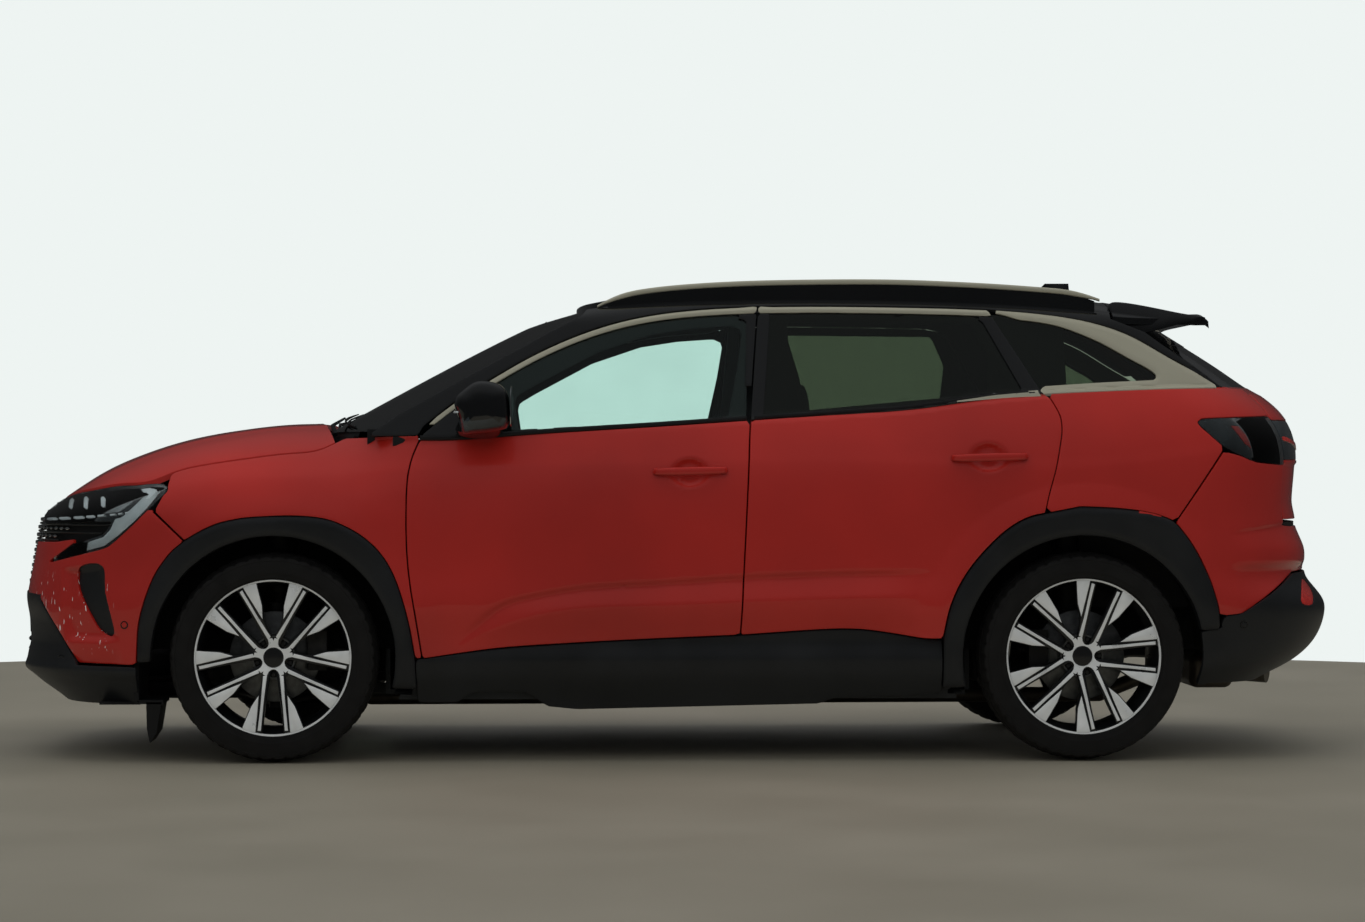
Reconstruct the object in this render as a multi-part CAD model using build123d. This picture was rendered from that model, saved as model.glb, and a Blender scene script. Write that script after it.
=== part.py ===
"""Compact sport utility vehicle: body shell, doors, bonnet, tailgate, glass, seats, running gear and wheels.

Millimetres. +Z is up, the front points along -X, the left side is -Y, and the origin is on the
ground under the middle of the vehicle. Body lines are written at the nominal size and are carried
to the actual size by X(), Y() and Z().
"""

from build123d import *
import os
import numpy as np

# ---------------------------------------------------------------- driving dimensions
LENGTH = 4510.0
WHEELBASE = 2667.0
FRONT_OVERHANG = 904.0
WIDTH = 1825.0            # over the wheel arch cladding, without mirrors
HEIGHT = 1612.0           # over the roof rails
TRACK = 1560.0
TYRE_RADIUS = 345.0
TYRE_WIDTH = 235.0
RIM_RADIUS = 262.0
RIM_WIDTH = 200.0
DISC_RADIUS = 150.0
HUB_BORE_RADIUS = 33.0
BOLT_CIRCLE = 114.3
BOLT_HOLE_RADIUS = 7.5
BOLT_COUNT = 5

SHUT_GAP = 6.0            # between an opening panel and its neighbours
DOOR_DEPTH = 56.0         # skin to inner trim
FENDER_DEPTH = 14.0
BONNET_DEPTH = 24.0
ROOF_DEPTH = 30.0
TAILGATE_DEPTH = 46.0
BUMPER_WALL = 16.0
GLASS_DEPTH = 5.0
LINER_WALL = 5.0

HINGE_PIN_RADIUS = 7.0
HINGE_PIN_CLEARANCE = 0.3
HINGE_HEIGHTS = (520.0, 860.0)
FRONT_HINGE_X = -870.0
REAR_HINGE_X = 250.0
HINGE_Y = 878.0
TAILGATE_HINGE = (1400.0, 1524.0)
TAILGATE_HINGE_Y = 380.0
TAILGATE_EYE = 11.0        # outer radius of the tailgate hinge eyes
ROOF_END = 1446.0
TAILGATE_START = 1455.0
BONNET_HINGE = (-1100.0, 1018.0)
BONNET_HINGE_Y = 678.0

KINGPIN_INSET = 62.0      # steering axis inboard of the wheel's middle plane

FRONT_AXLE_X = -LENGTH / 2 + FRONT_OVERHANG
REAR_AXLE_X = FRONT_AXLE_X + WHEELBASE
AXLE_Z = TYRE_RADIUS
NOMINAL_FRONT_AXLE = -1351.0
NOMINAL_REAR_AXLE = 1316.0
NOMINAL_END = 2255.0
NOMINAL_AXLE_Z = 345.0
NOMINAL_HEIGHT = 1612.0
NOMINAL_WIDTH = 1825.0
SIDES = (-1, 1)           # -1 is the left side


def X(x):
    """Nominal station to actual, fixed at both ends and both axles."""
    return np.interp(x, (-NOMINAL_END, NOMINAL_FRONT_AXLE, NOMINAL_REAR_AXLE, NOMINAL_END),
                     (-LENGTH / 2, FRONT_AXLE_X, REAR_AXLE_X, LENGTH / 2))


def Y(y):
    return y * WIDTH / NOMINAL_WIDTH


def Z(z):
    return np.interp(z, (0, NOMINAL_AXLE_Z, NOMINAL_HEIGHT, 2 * NOMINAL_HEIGHT),
                     (0, AXLE_Z, HEIGHT, 2 * HEIGHT))


def at(x, y, z):
    return (float(X(x)), float(Y(y)), float(Z(z)))


# ---------------------------------------------------------------- body lines, nominal
def curve(*points):
    """Natural cubic spline through (a, b) points; straight beyond its ends."""
    a, b = (np.array(c, float) for c in zip(*points))
    h, n = np.diff(a), len(a)
    m, r = np.eye(n), np.zeros(n)
    for i in range(1, n - 1):
        m[i, i - 1:i + 2] = h[i - 1], 2 * (h[i - 1] + h[i]), h[i]
        r[i] = 6 * ((b[i + 1] - b[i]) / h[i] - (b[i] - b[i - 1]) / h[i - 1])
    k = np.linalg.solve(m, r)

    def value(t):
        t = np.asarray(t, float)
        c = np.clip(t, a[0], a[-1])
        i = np.clip(np.searchsorted(a, c) - 1, 0, n - 2)
        d, e = a[i + 1] - c, c - a[i]
        y = ((k[i] * d**3 + k[i + 1] * e**3) / (6 * h[i])
             + (b[i] / h[i] - k[i] * h[i] / 6) * d + (b[i + 1] / h[i] - k[i + 1] * h[i] / 6) * e)
        first = (b[1] - b[0]) / h[0] - k[1] * h[0] / 6
        last = (b[-1] - b[-2]) / h[-1] + k[-2] * h[-1] / 6
        return y + np.where(t < a[0], (t - a[0]) * first, 0) + np.where(t > a[-1], (t - a[-1]) * last, 0)

    return value


nose_x = curve((180, -2120), (285, -2222), (400, -2238), (520, -2240), (640, -2226), (760, -2206),
               (860, -2172), (920, -2130))
tail_x = curve((250, 2020), (330, 2150), (450, 2232), (520, 2228), (600, 2170), (680, 2166), (760, 2140),
               (850, 2128), (980, 2140), (1110, 2122), (1170, 2082), (1228, 2012), (1300, 1900))
bonnet_z = curve((-2230, 820), (-2170, 880), (-2100, 928), (-1980, 1000), (-1850, 1040), (-1700, 1070),
                 (-1500, 1098), (-1300, 1117), (-1150, 1128), (-1050, 1190), (-950, 1420), (-850, 1800),
                 (-700, 2000), (2300, 2000))
belt_z = curve((-2300, 1040), (-1128, 1085), (-877, 1060), (-564, 1074), (-118, 1103), (218, 1126),
               (553, 1148), (776, 1165), (1000, 1196), (1188, 1212), (1391, 1222), (1625, 1231),
               (1800, 1235), (2300, 1235))
waist_y = curve((-2255, 850), (-1900, 880), (-1351, 897), (-900, 890), (0, 890), (900, 894), (1316, 903),
                (1700, 893), (2000, 868), (2255, 840))
shoulder = curve((0, 0.93), (40, 0.948), (90, 0.967), (140, 0.98), (250, 0.995), (400, 1.0), (900, 1.0))
lower_side = curve((180, 0.935), (260, 0.962), (340, 0.98), (420, 0.985), (500, 0.997), (600, 0.996),
                   (760, 1.0), (1300, 1.0))
windscreen_x = curve((1040, -1290), (1102, -1180), (1240, -930), (1370, -685), (1470, -480), (1560, -270))
rear_glass_x = curve((1180, 2090), (1228, 2012), (1312, 1890), (1392, 1765), (1470, 1640), (1560, 1490))
glass_y = curve((-1100, 800), (-900, 808), (-400, 816), (200, 818), (700, 813), (1200, 795), (1600, 764),
                (1900, 735))
roof_line = curve((-480, 1486), (-386, 1512), (-295, 1533), (-180, 1555), (0, 1575), (254, 1587),
                  (456, 1591), (726, 1589), (929, 1583), (1064, 1577), (1233, 1564), (1334, 1553),
                  (1444, 1538), (1625, 1508), (1800, 1475))
strip_z = curve((-860, 1105), (-776, 1172), (-639, 1262), (-538, 1322), (-405, 1388), (-211, 1456),
                (10, 1494), (254, 1508), (720, 1508), (1054, 1498), (1254, 1480), (1407, 1450),
                (1524, 1405), (1642, 1336), (1731, 1286), (1807, 1236))
NOSE_LENGTH, TAIL_LENGTH, PLAN_POWER, END_POWER = 640.0, 470.0, 3.2, 2.4
SHOULDER_START, SECTION_POWER, TOP_POWER = 780.0, 4.8, 2.2
SCREEN_LENGTH, REAR_GLASS_LENGTH, GLASS_POWER, TUMBLEHOME = 330.0, 330.0, 2.6, 0.42
ROOF_START, ROOF_POWER, ROOF_TOP_POWER = 1450.0, 5.0, 2.3


def roof_z(x):
    return np.maximum(roof_line(x), 1486)


def lower_terms(x, z):
    width = waist_y(x) * lower_side(z) * shoulder(np.clip(belt_z(x) - z, 0, 900))
    top = np.clip((z - SHOULDER_START) / (bonnet_z(x) - SHOULDER_START), 0, 1)
    return width, (1 - top**TOP_POWER) ** (PLAN_POWER / SECTION_POWER)


def upper_terms(x, z):
    width = glass_y(x) - TUMBLEHOME * (z - 1100)
    top = np.clip((z - ROOF_START) / (roof_z(x) - ROOF_START), 0, 1)
    return width, (1 - top**ROOF_TOP_POWER) ** (GLASS_POWER / ROOF_POWER)


def end_term(distance, length, power):
    return np.clip(1 - distance / length, 0, 1) ** power


def lower_y(x, z):
    """Half width of the lower body at a station and height."""
    width, room = lower_terms(x, z)
    ends = end_term(x - nose_x(z), NOSE_LENGTH, END_POWER) + end_term(tail_x(z) - x, TAIL_LENGTH, END_POWER)
    return width * np.clip(room - ends, 1e-9, None) ** (1 / PLAN_POWER)


def upper_y(x, z):
    """Half width of the glasshouse."""
    width, room = upper_terms(x, z)
    ends = (end_term(x - windscreen_x(z), SCREEN_LENGTH, 2)
            + end_term(rear_glass_x(z) - x, REAR_GLASS_LENGTH, 2))
    return width * np.clip(room - ends, 1e-9, None) ** (1 / GLASS_POWER)


def side_y(x, z):
    """Half width over the doors: the body below the belt line, the tapering glasshouse above it."""
    t = np.clip((z - belt_z(x)) / 24 + 0.5, 0, 1)
    t = t * t * (3 - 2 * t)
    return lower_y(x, np.minimum(z, belt_z(x) + 20)) * (1 - t) + (glass_y(x) - TUMBLEHOME * (z - 1100)) * t


def end_x(y, z, terms, tip, length, power, plan, sign):
    """Station of the front (sign -1) or rear (+1) face at a half width and height."""
    x = tip(z) - sign * length * 0.2
    for _ in range(12):
        width, room = terms(x, z)
        left = np.clip(room - (np.abs(y) / width) ** plan, 0, 1)
        x = tip(z) - sign * length * (1 - left ** (1 / power))
    return x


def front_x(y, z):
    return end_x(y, z, lower_terms, nose_x, NOSE_LENGTH, END_POWER, PLAN_POWER, -1)


def screen_x(y, z):
    return end_x(y, z, upper_terms, windscreen_x, SCREEN_LENGTH, 2, GLASS_POWER, -1)


def rear_x(y, z):
    low = end_x(y, z, lower_terms, tail_x, TAIL_LENGTH, END_POWER, PLAN_POWER, 1)
    high = end_x(y, z, upper_terms, rear_glass_x, REAR_GLASS_LENGTH, 2, GLASS_POWER, 1)
    t = np.clip((z - 1228) / 30 + 0.5, 0, 1)
    return low * (1 - t) + high * t


def top_z(x, y, half_width, low, high):
    """Height at which a section is as wide as |y|, by halving."""
    low, high = np.full(np.shape(x), low, float), high(x) - 0.01
    for _ in range(40):
        mid = (low + high) / 2
        wide = half_width(x, mid) > np.abs(y)
        low, high = np.where(wide, mid, low), np.where(wide, high, mid)
    return low


def bonnet_top(x, y):
    return top_z(x, y, lower_y, SHOULDER_START, bonnet_z)


def roof_top(x, y):
    return top_z(x, y, upper_y, ROOF_START, roof_z)


# ---------------------------------------------------------------- makers
def skin(points):
    """A smooth face through a grid of nominal points."""
    rows = [[Vector(*at(*p)) for p in row] for row in points]
    return Face.make_surface_from_array_of_points(rows, tol=0.3, min_deg=3, max_deg=3)


def between(outer, inner):
    """Solid between two grids of nominal points of the same shape."""
    a, b = skin(outer), skin(inner)
    rims = [Face.make_surface_from_curves(p, q) for p, q in zip(a.edges(), b.edges())]
    return Solid(Shell([a, b, *rims]))


def side_slab(x0, x1, low, high, depth, inset=0.0, width=side_y, columns=22, rows=22):
    """Left body side between two stations and two height lines, inset and depth measured inwards."""
    grid = []
    for x in np.linspace(x0, x1, columns):
        z0 = float(low(x)) if callable(low) else low
        z1 = float(high(x)) if callable(high) else high
        grid.append([(x, -float(width(x, z)) + inset, z) for z in np.linspace(z0, z1, rows)])
    return extrude(skin(grid), amount=depth, dir=(0, 1, 0))


def around(front, angles, heights, inset=0.0):
    """Grid round the nose or tail; angles in degrees from the middle line, positive to the left."""
    middle, sign = (-1250.0, -1) if front else (1400.0, 1)
    a = np.radians(np.array(angles, float))[:, None] * np.ones(len(heights))
    z = np.ones(len(angles))[:, None] * np.array(heights, float)
    low, high = np.zeros_like(a), np.full_like(a, 1200.0)
    for _ in range(45):
        mid = (low + high) / 2
        x, y = middle + sign * mid * np.cos(a), mid * np.abs(np.sin(a))
        width, room = lower_terms(x, z)
        ends = (end_term(x - nose_x(z), NOSE_LENGTH, END_POWER)
                + end_term(tail_x(z) - x, TAIL_LENGTH, END_POWER))
        beyond = (x < nose_x(z)) | (x > tail_x(z))
        inside = ((y / width) ** PLAN_POWER + ends < room) & ~beyond
        low, high = np.where(inside, mid, low), np.where(inside, high, mid)
    r = low - inset
    x, y = middle + sign * r * np.cos(a), -r * np.sin(a)
    return [[(x[i, j], y[i, j], z[i, j]) for j in range(len(heights))] for i in range(len(angles))]


def wrap(front, angle0, angle1, z0, z1, depth, inset=0.0, columns=31, rows=15):
    """Shell round the nose or tail."""
    angles, heights = np.linspace(angle0, angle1, columns), np.linspace(z0, z1, rows)
    return between(around(front, angles, heights, inset), around(front, angles, heights, inset + depth))


def grown(points, amount):
    """A closed outline moved outwards by an amount."""
    kept = []
    for point in points:
        if not kept or np.hypot(point[0] - kept[-1][0], point[1] - kept[-1][1]) > 14:
            kept.append(point)
    if np.hypot(kept[0][0] - kept[-1][0], kept[0][1] - kept[-1][1]) < 14:
        kept.pop()
    p = np.array(kept, float)
    after = np.roll(p, -1, 0) - p
    turn = np.sign(np.sum(p[:, 0] * np.roll(p[:, 1], -1) - np.roll(p[:, 0], -1) * p[:, 1]))
    out = np.stack([after[:, 1], -after[:, 0]], 1) / np.linalg.norm(after, axis=1)[:, None]
    back = np.roll(out, 1, 0)
    reach = np.clip(1 + np.sum(out * back, 1), 0.5, 2)[:, None]
    return p + turn * amount * (out + back) / reach


def prism(points, y0=-1200.0, y1=0.0, grow=0.0):
    """A closed outline in the XZ plane carried along Y."""
    if grow:
        points = grown(points, grow)
    corners = [(float(X(x)), 0.0, float(Z(z))) for x, z in points]
    face = Face(Wire.make_polygon([Vector(*c) for c in corners]))
    return extrude(face, amount=y1 - y0, dir=(0, 1, 0)).moved(Location((0, y0, 0)))


def block(x0, x1, y0, y1, z0, z1):
    (ax, ay, az), (bx, by, bz) = at(x0, y0, z0), at(x1, y1, z1)
    return Pos((ax + bx) / 2, (ay + by) / 2, (az + bz) / 2) * Box(abs(bx - ax), abs(by - ay), abs(bz - az))


def rod(start, end, radius):
    """Round bar between two actual points."""
    a, b = Vector(*start), Vector(*end)
    plane = Plane(origin=a, z_dir=(b - a).normalized())
    return extrude(plane * Circle(radius), amount=(b - a).length)


def sample(line, x0, x1, count):
    """Points on a height line between two stations."""
    return [(float(x), float(line(x))) for x in np.linspace(x0, x1, count)]


def one(function, *values):
    return float(np.ravel(function(*[np.array([float(v)]) for v in values]))[0])


def biggest(shape):
    return max(shape.solids(), key=lambda s: s.volume)


def within(shape, tool):
    """The part of a shape inside a tool; a hair's shift clears a coincident edge."""
    for nudge in (0, 0.013, -0.11, 0.29):
        common = shape.moved(Location((nudge, 0, nudge))) & tool
        if common is not None and common.volume > 1 and common.is_valid:
            return common
    raise ValueError("no common volume")


def without(shape, *tools):
    """A shape less its tools, with the same care."""
    for tool in tools:
        for nudge in (0, 0.013, -0.11, 0.29):
            rest = shape.moved(Location((nudge, 0, nudge))) - tool
            if rest.volume > 1 and rest.is_valid and rest.volume < shape.volume + 1:
                break
        shape = rest
    return shape


def pair(left):
    """A left piece and its mirror image."""
    return [left, left.mirror(Plane.XZ)]


PARTS = {}


def keep(name, *shapes):
    PARTS[name] = Compound(children=[s for shape in shapes for s in shape.solids()])


def shifted(name, y, z):
    """A kept piece, or the left one of a pair, moved to leave a fitting gap."""
    return min(PARTS[name].solids(), key=lambda s: s.center().Y).moved(Location((0, y, z)))


# ---------------------------------------------------------------- outlines in side view, nominal
ARCH_RADIUS = 400.0
CIRCLE = lambda x, r, a0, a1, n=13: [(x + r * np.cos(a), NOMINAL_AXLE_Z + r * np.sin(a))
                                     for a in np.radians(np.linspace(a0, a1, n))]
FRONT_SHUT = [(-873, 1075), (-902, 986), (-914, 910), (-916, 778), (-909, 636), (-888, 494), (-864, 346)]
RED_EDGE = [(-864, 340), (-624, 373), (-374, 390), (-121, 403), (187, 416), (445, 433), (572, 434),
            (685, 420), (786, 404), (849, 403)]
PILLAR_SHUT = [(182, 416), (189, 539), (208, 937), (218, 1126), (252, 1508)]
REAR_SHUT = [(1029, 1499), (1189, 1234), (1213, 1196), (1241, 1138), (1246, 1091), (1223, 966),
             (1199, 880), (1185, 818)]
REAR_ARCH_FRONT = [(1185, 818), (1099, 790), (1033, 742), (957, 661), (900, 575), (867, 489), (850, 404)]
REAR_ARCH_BACK = [(1770, 433), (1767, 481), (1754, 541), (1722, 628), (1668, 725), (1614, 790),
                  (1517, 823), (1410, 836), (1303, 841)]
FRONT_ARCH = [(-1800, 325), (-1795, 427), (-1774, 524), (-1736, 620), (-1678, 698), (-1630, 736),
              (-1534, 785), (-1428, 806), (-1332, 811), (-1208, 806), (-1111, 775), (-1025, 716),
              (-967, 639), (-929, 542), (-900, 425), (-886, 343)]
BONNET_SIDE = curve((-2133, 868), (-2088, 870), (-2052, 882), (-1979, 897), (-1857, 916), (-1759, 924),
                    (-1682, 954), (-1585, 978), (-1440, 1000), (-1295, 1017), (-1198, 1032),
                    (-1149, 1056), (-1100, 1080))
LAMP_LOWER = [(-1700, 895), (-1769, 822), (-1808, 783), (-1857, 739), (-1906, 704), (-1979, 685),
              (-2052, 667), (-2300, 650)]
TAIL_LAMP = [(1699, 1118), (1715, 1128), (1960, 1140), (2100, 1142), (2120, 975), (1904, 987), (1841, 1010),
             (1777, 1044), (1715, 1098)]
QUARTER_GLASS = [(1084, 1474), (1140, 1471), (1228, 1459), (1298, 1439), (1403, 1392), (1497, 1336),
                 (1556, 1304), (1588, 1277), (1579, 1263), (1403, 1254), (1226, 1243)]

front_door_outline = (RED_EDGE[:5] + PILLAR_SHUT + sample(strip_z, 180, -820, 14) + FRONT_SHUT)
rear_door_outline = (RED_EDGE[4:] + REAR_ARCH_FRONT[::-1][1:] + REAR_SHUT[::-1][1:]
                     + sample(strip_z, 960, 300, 9) + PILLAR_SHUT[::-1])
front_window = ([(-640, float(belt_z(-640)) + 12)] + [(x, z + 12) for x, z in sample(belt_z, -500, 175, 6)]
                + [(205, 1458)] + [(x, z - 48) for x, z in sample(strip_z, 120, -560, 9)])
rear_window = ([(x, z + 12) for x, z in sample(belt_z, 266, 1000, 7)] + [(1128, 1232), (990, 1448)]
               + [(x, z - 48) for x, z in sample(strip_z, 900, 360, 6)] + [(296, 1458)])
front_opening = ([(-838, 372), (-600, 405), (-121, 430), (156, 444), (162, 539), (180, 937), (190, 1126),
                  (214, 1480)]
                 + [(x, z - 44) for x, z in sample(strip_z, 140, -780, 12)]
                 + [(-846, 1050), (-872, 980), (-886, 900), (-888, 778), (-880, 640), (-862, 500)])
rear_opening = ([(215, 444), (445, 460), (690, 448), (800, 432), (842, 500), (872, 590), (935, 675),
                 (1018, 768), (1092, 818), (1158, 846), (1174, 890), (1198, 966), (1219, 1088),
                 (1212, 1132), (1164, 1226), (1012, 1462)]
                + [(x, z - 26) for x, z in sample(strip_z, 940, 290, 8)]
                + [(250, 1470), (246, 1126), (240, 937), (222, 539)])


def roof_side_y(x, z):
    """Half width of the glasshouse side, rounding in to the roof."""
    top = np.clip((z - ROOF_START) / (roof_z(x) - ROOF_START), 0, 0.999)
    return (glass_y(x) - TUMBLEHOME * (z - 1100)) * (1 - top**ROOF_TOP_POWER) ** (1 / ROOF_POWER)


def roof_surface(x, y):
    return top_z(x, y, roof_side_y, ROOF_START, roof_z)


# ---------------------------------------------------------------- doors
def leaf_slots(hinge_x):
    """Room in a door for the fixed hinge leaf and its knuckle."""
    room = []
    for z in HINGE_HEIGHTS:
        x, y, z = at(hinge_x, -HINGE_Y, z)
        room.append(Pos(x - 30, y + 50, z) * Box(100, 130, 46))
    return room


def door_panel(outline_points, window, x0, x1, hinge_x):
    slab = side_slab(x0, x1, 320, 1520, DOOR_DEPTH)
    slab = within(slab, prism(outline_points, grow=-SHUT_GAP))
    slab = without(slab, prism(window), side_slab(x0, x1, lambda x: belt_z(x) + 22, 1530, 60, 36))
    for room in leaf_slots(hinge_x):
        slab -= room
    knuckles = []
    for z in HINGE_HEIGHTS:
        x, y, z = at(hinge_x, -HINGE_Y, z)
        for step in (-17.5, 17.5):
            eye = Pos(x, y, z + step) * Cylinder(HINGE_PIN_RADIUS + 5, 11)
            arm = Pos(x + 22, y + 6, z + step) * Box(44, 12, 11)
            knuckles.append(eye + arm - Pos(x, y, z) * Cylinder(HINGE_PIN_RADIUS + HINGE_PIN_CLEARANCE, 80))
    door = slab
    for knuckle in knuckles:
        door = door + knuckle
    return biggest(door)


def body_hinges(hinge_x):
    """Fixed leaf and pin of each hinge."""
    leaves = []
    for z in HINGE_HEIGHTS:
        x, y, z = at(hinge_x, -HINGE_Y, z)
        pin = Pos(x, y, z) * Cylinder(HINGE_PIN_RADIUS, 45)
        arm = Pos(x, y + 42, z) * Box(14, 84, 22)
        foot = Pos(x - 22, y + 82.6, z) * Box(58, 10, 22)
        leaves.append(pin + arm + foot)
    return leaves


def door_glass(window, x0, x1):
    pane = side_slab(x0, x1, lambda x: belt_z(x) - 10, 1500, GLASS_DEPTH, inset=18)
    return biggest(within(pane, prism(window, grow=-0.6)))


panels = {}
for row, points, window, x0, x1, hinge in (
        ("front", front_door_outline, front_window, -940, 275, FRONT_HINGE_X),
        ("rear", rear_door_outline, rear_window, 160, 1270, REAR_HINGE_X)):
    left, right = pair(door_panel(points, window, x0, x1, hinge))
    keep(f"door_{row}_left", left)
    keep(f"door_{row}_right", right)
    left, right = pair(door_glass(window, x0, x1))
    keep(f"glass_{row}_left", left)
    keep(f"glass_{row}_right", right)
fixed_hinges = [s for x in (FRONT_HINGE_X, REAR_HINGE_X) for leaf in body_hinges(x) for s in pair(leaf)]


def handle(x0, x1, z):
    """Grip bar on two posts."""
    y = -float(side_y((x0 + x1) / 2, z))
    bar = fillet(block(x0, x1, y - 34, y - 20, z - 13, z + 13).edges(), 5)
    for x in (x0 + 18, x1 - 18):
        bar += block(x - 10, x + 10, y - 22, 8 - float(side_y(x, z)), z - 9, z + 9)
    return bar


for row, x0, x1, z in (("front", -106, 139, 957), ("rear", 877, 1128, 1002)):
    grip = handle(x0, x1, z) - shifted(f"door_{row}_left", -0.3, 0)
    left, right = pair(biggest(grip))
    keep(f"handle_{row}_left", left)
    keep(f"handle_{row}_right", right)


def door_mirror():
    """Mirror housing on its foot."""
    head = [(-757, 1180), (-728, 1217), (-694, 1247), (-664, 1253), (-624, 1247), (-589, 1229),
            (-578, 1197), (-572, 1150), (-572, 1112), (-590, 1095), (-641, 1084), (-728, 1078),
            (-744, 1131)]
    shell = prism(head, y0=-1032, y1=-868) & Pos(*at(-640, -1000, 1165)) * Sphere(190)
    foot = block(-735, -640, -880, 8 - float(side_y(-690, 1040)), 1040, 1092)
    return biggest((shell + foot) - shifted("door_front_left", -0.3, 0))


left, right = pair(door_mirror())
keep("mirror_left", left)
keep("mirror_right", right)


def bonnet_block(spread, lift, depth):
    """Bonnet slab; spread widens its outline and lift raises it."""
    grid = []
    for s in np.linspace(0, 1, 21):
        side_x = -2040 - spread + s * (880 + 2 * spread)
        half = float(lower_y(side_x, BONNET_SIDE(side_x))) - SHUT_GAP + spread
        line = []
        for v in np.linspace(-1, 1, 25):
            x = side_x - (1 - v * v) * (85 * (1 - s) + 76 * s)
            line.append((x, v * half, one(bonnet_top, x, v * half) + lift))
        grid.append(line)
    return extrude(skin(grid), amount=depth, dir=(0, 0, -1))


bonnet = bonnet_block(0, 0, BONNET_DEPTH)
bonnet_room = bonnet_block(SHUT_GAP + 7, 12, BONNET_DEPTH + 12 + SHUT_GAP + 4)

# ---------------------------------------------------------------- roof and body sides
roof_grid = []
for s in np.linspace(0, 1, 25):
    line = []
    for v in np.linspace(-1, 1, 21):
        y = v * 589.6
        front = one(screen_x, y, 1500) + 14
        x = front + s * (ROOF_END - front)
        line.append((x, y, one(roof_surface, x, y)))
    roof_grid.append(line)
roof = extrude(skin(roof_grid), amount=ROOF_DEPTH, dir=(0, 0, -1))
gate_x, _, gate_z = at(TAILGATE_HINGE[0], 0, TAILGATE_HINGE[1])
gate_y = TAILGATE_HINGE_Y * WIDTH / NOMINAL_WIDTH
for side in SIDES:
    roof -= Pos(gate_x + 30, side * gate_y, gate_z) * Box(100, 36, 90)
    roof -= (Pos(gate_x, side * gate_y, gate_z) * Rot(90, 0, 0)
             * Cylinder(HINGE_PIN_RADIUS - 1 + HINGE_PIN_CLEARANCE, 76))
keep("roof_panel", roof)


def plate(outline_points, holes, y0, y1):
    """Flat plate in the XZ plane with holes, carried along Y."""
    solid = prism(outline_points, y0=y0, y1=y1)
    for hole in holes:
        solid -= prism(hole, y0=y0 - 10, y1=y1 + 10)
    return solid


def side_frame():
    """Pillars, sill and rails round the door openings, below the roof panel."""
    section = [(790, 215), (790, 930), (754, 1060), (716, 1112), (533, 1548), (489, 1548), (672, 1100),
               (708, 1048), (746, 920), (746, 215)]
    profile = Plane.YZ * make_face(Polyline(*[(-at(0, y, z)[1], at(0, y, z)[2]) for y, z in section],
                                            close=True))
    bar = extrude(profile, amount=float(X(1310) - X(-1060))).moved(Location((float(X(-1060)), 0, 0)))
    top = [(1290, one(roof_surface, 1290, 550) - ROOF_DEPTH - 7.5)]
    top += [(x, one(roof_surface, x, 550) - ROOF_DEPTH - 1.4) for x in (1180, 1000, 600, 200, -100, -240)]
    line = ([(-1040, 985), (-1040, 700)] + CIRCLE(NOMINAL_FRONT_AXLE, 440, 48, -14, 8) + [(880, 232)]
            + CIRCLE(NOMINAL_REAR_AXLE, 440, 193, 96, 9) + [(1290, 900)] + top
            + [(-250, 1440), (-330, 1400), (-560, 1300), (-860, 1072), (-900, 1045), (-960, 1012)])
    frame = bar & plate(line, (front_opening, rear_opening), -900, -400)
    return biggest(frame)


keep("body_side_frames", *pair(side_frame()))

cant = side_slab(-1010, 1832, lambda x: belt_z(x), lambda x: one(roof_surface, x, 594), 50,
                 width=roof_side_y, columns=30)
cant_outline = ([(-1007, 1104), (-950, 1141), (-778, 1237), (-567, 1353), (-338, 1478), (-250, 1600),
                 (1446, 1600), (1446, 1470), (1560, 1425), (1657, 1352), (1817, 1240), (1800, 1238)]
                + sample(strip_z, 1731, 1060, 14) + [(1045, 1505)]
                + [(x, z + SHUT_GAP) for x, z in sample(strip_z, 960, -860, 24)] + [(-879, 1090)])
cant = within(cant, prism(cant_outline))
cant = without(cant, block(-1200, 2000, -590, 590, 1000, 1700))
keep("roof_sides", *pair(biggest(cant)))

lamp_zone = LAMP_LOWER + [(-2300, 940), (-1690, 940)]
front_band = (FRONT_ARCH + [(-874.6, 240), (-936, 240)]
              + CIRCLE(NOMINAL_FRONT_AXLE, ARCH_RADIUS, -15, 182, 21))
fender_outline = ([(-1740, 822), (-1641, 729)] + FRONT_ARCH[5:] + FRONT_SHUT[::-1][:-1] + [(-884, 1072)]
                  + [(x, z) for x, z in sample(BONNET_SIDE, -1128, -1690, 12)] + [(-1705, 893)])
fender = side_slab(
    -1760, -850, 300, lambda x: float(np.interp(x, (-1760, -1128, -850), (935, 1090, 1085))), FENDER_DEPTH)
fender = within(fender, prism(fender_outline, grow=-0.3))
fender = without(fender, prism(lamp_zone, grow=0.4), prism(front_band, grow=0.4), bonnet_room)
fender = without(fender, block(-1160, -1118, -716, 716, 1049, 1095))     # the bonnet's corner swings here
fender = biggest(fender)
keep("front_fenders", *pair(biggest(fender)))

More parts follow.
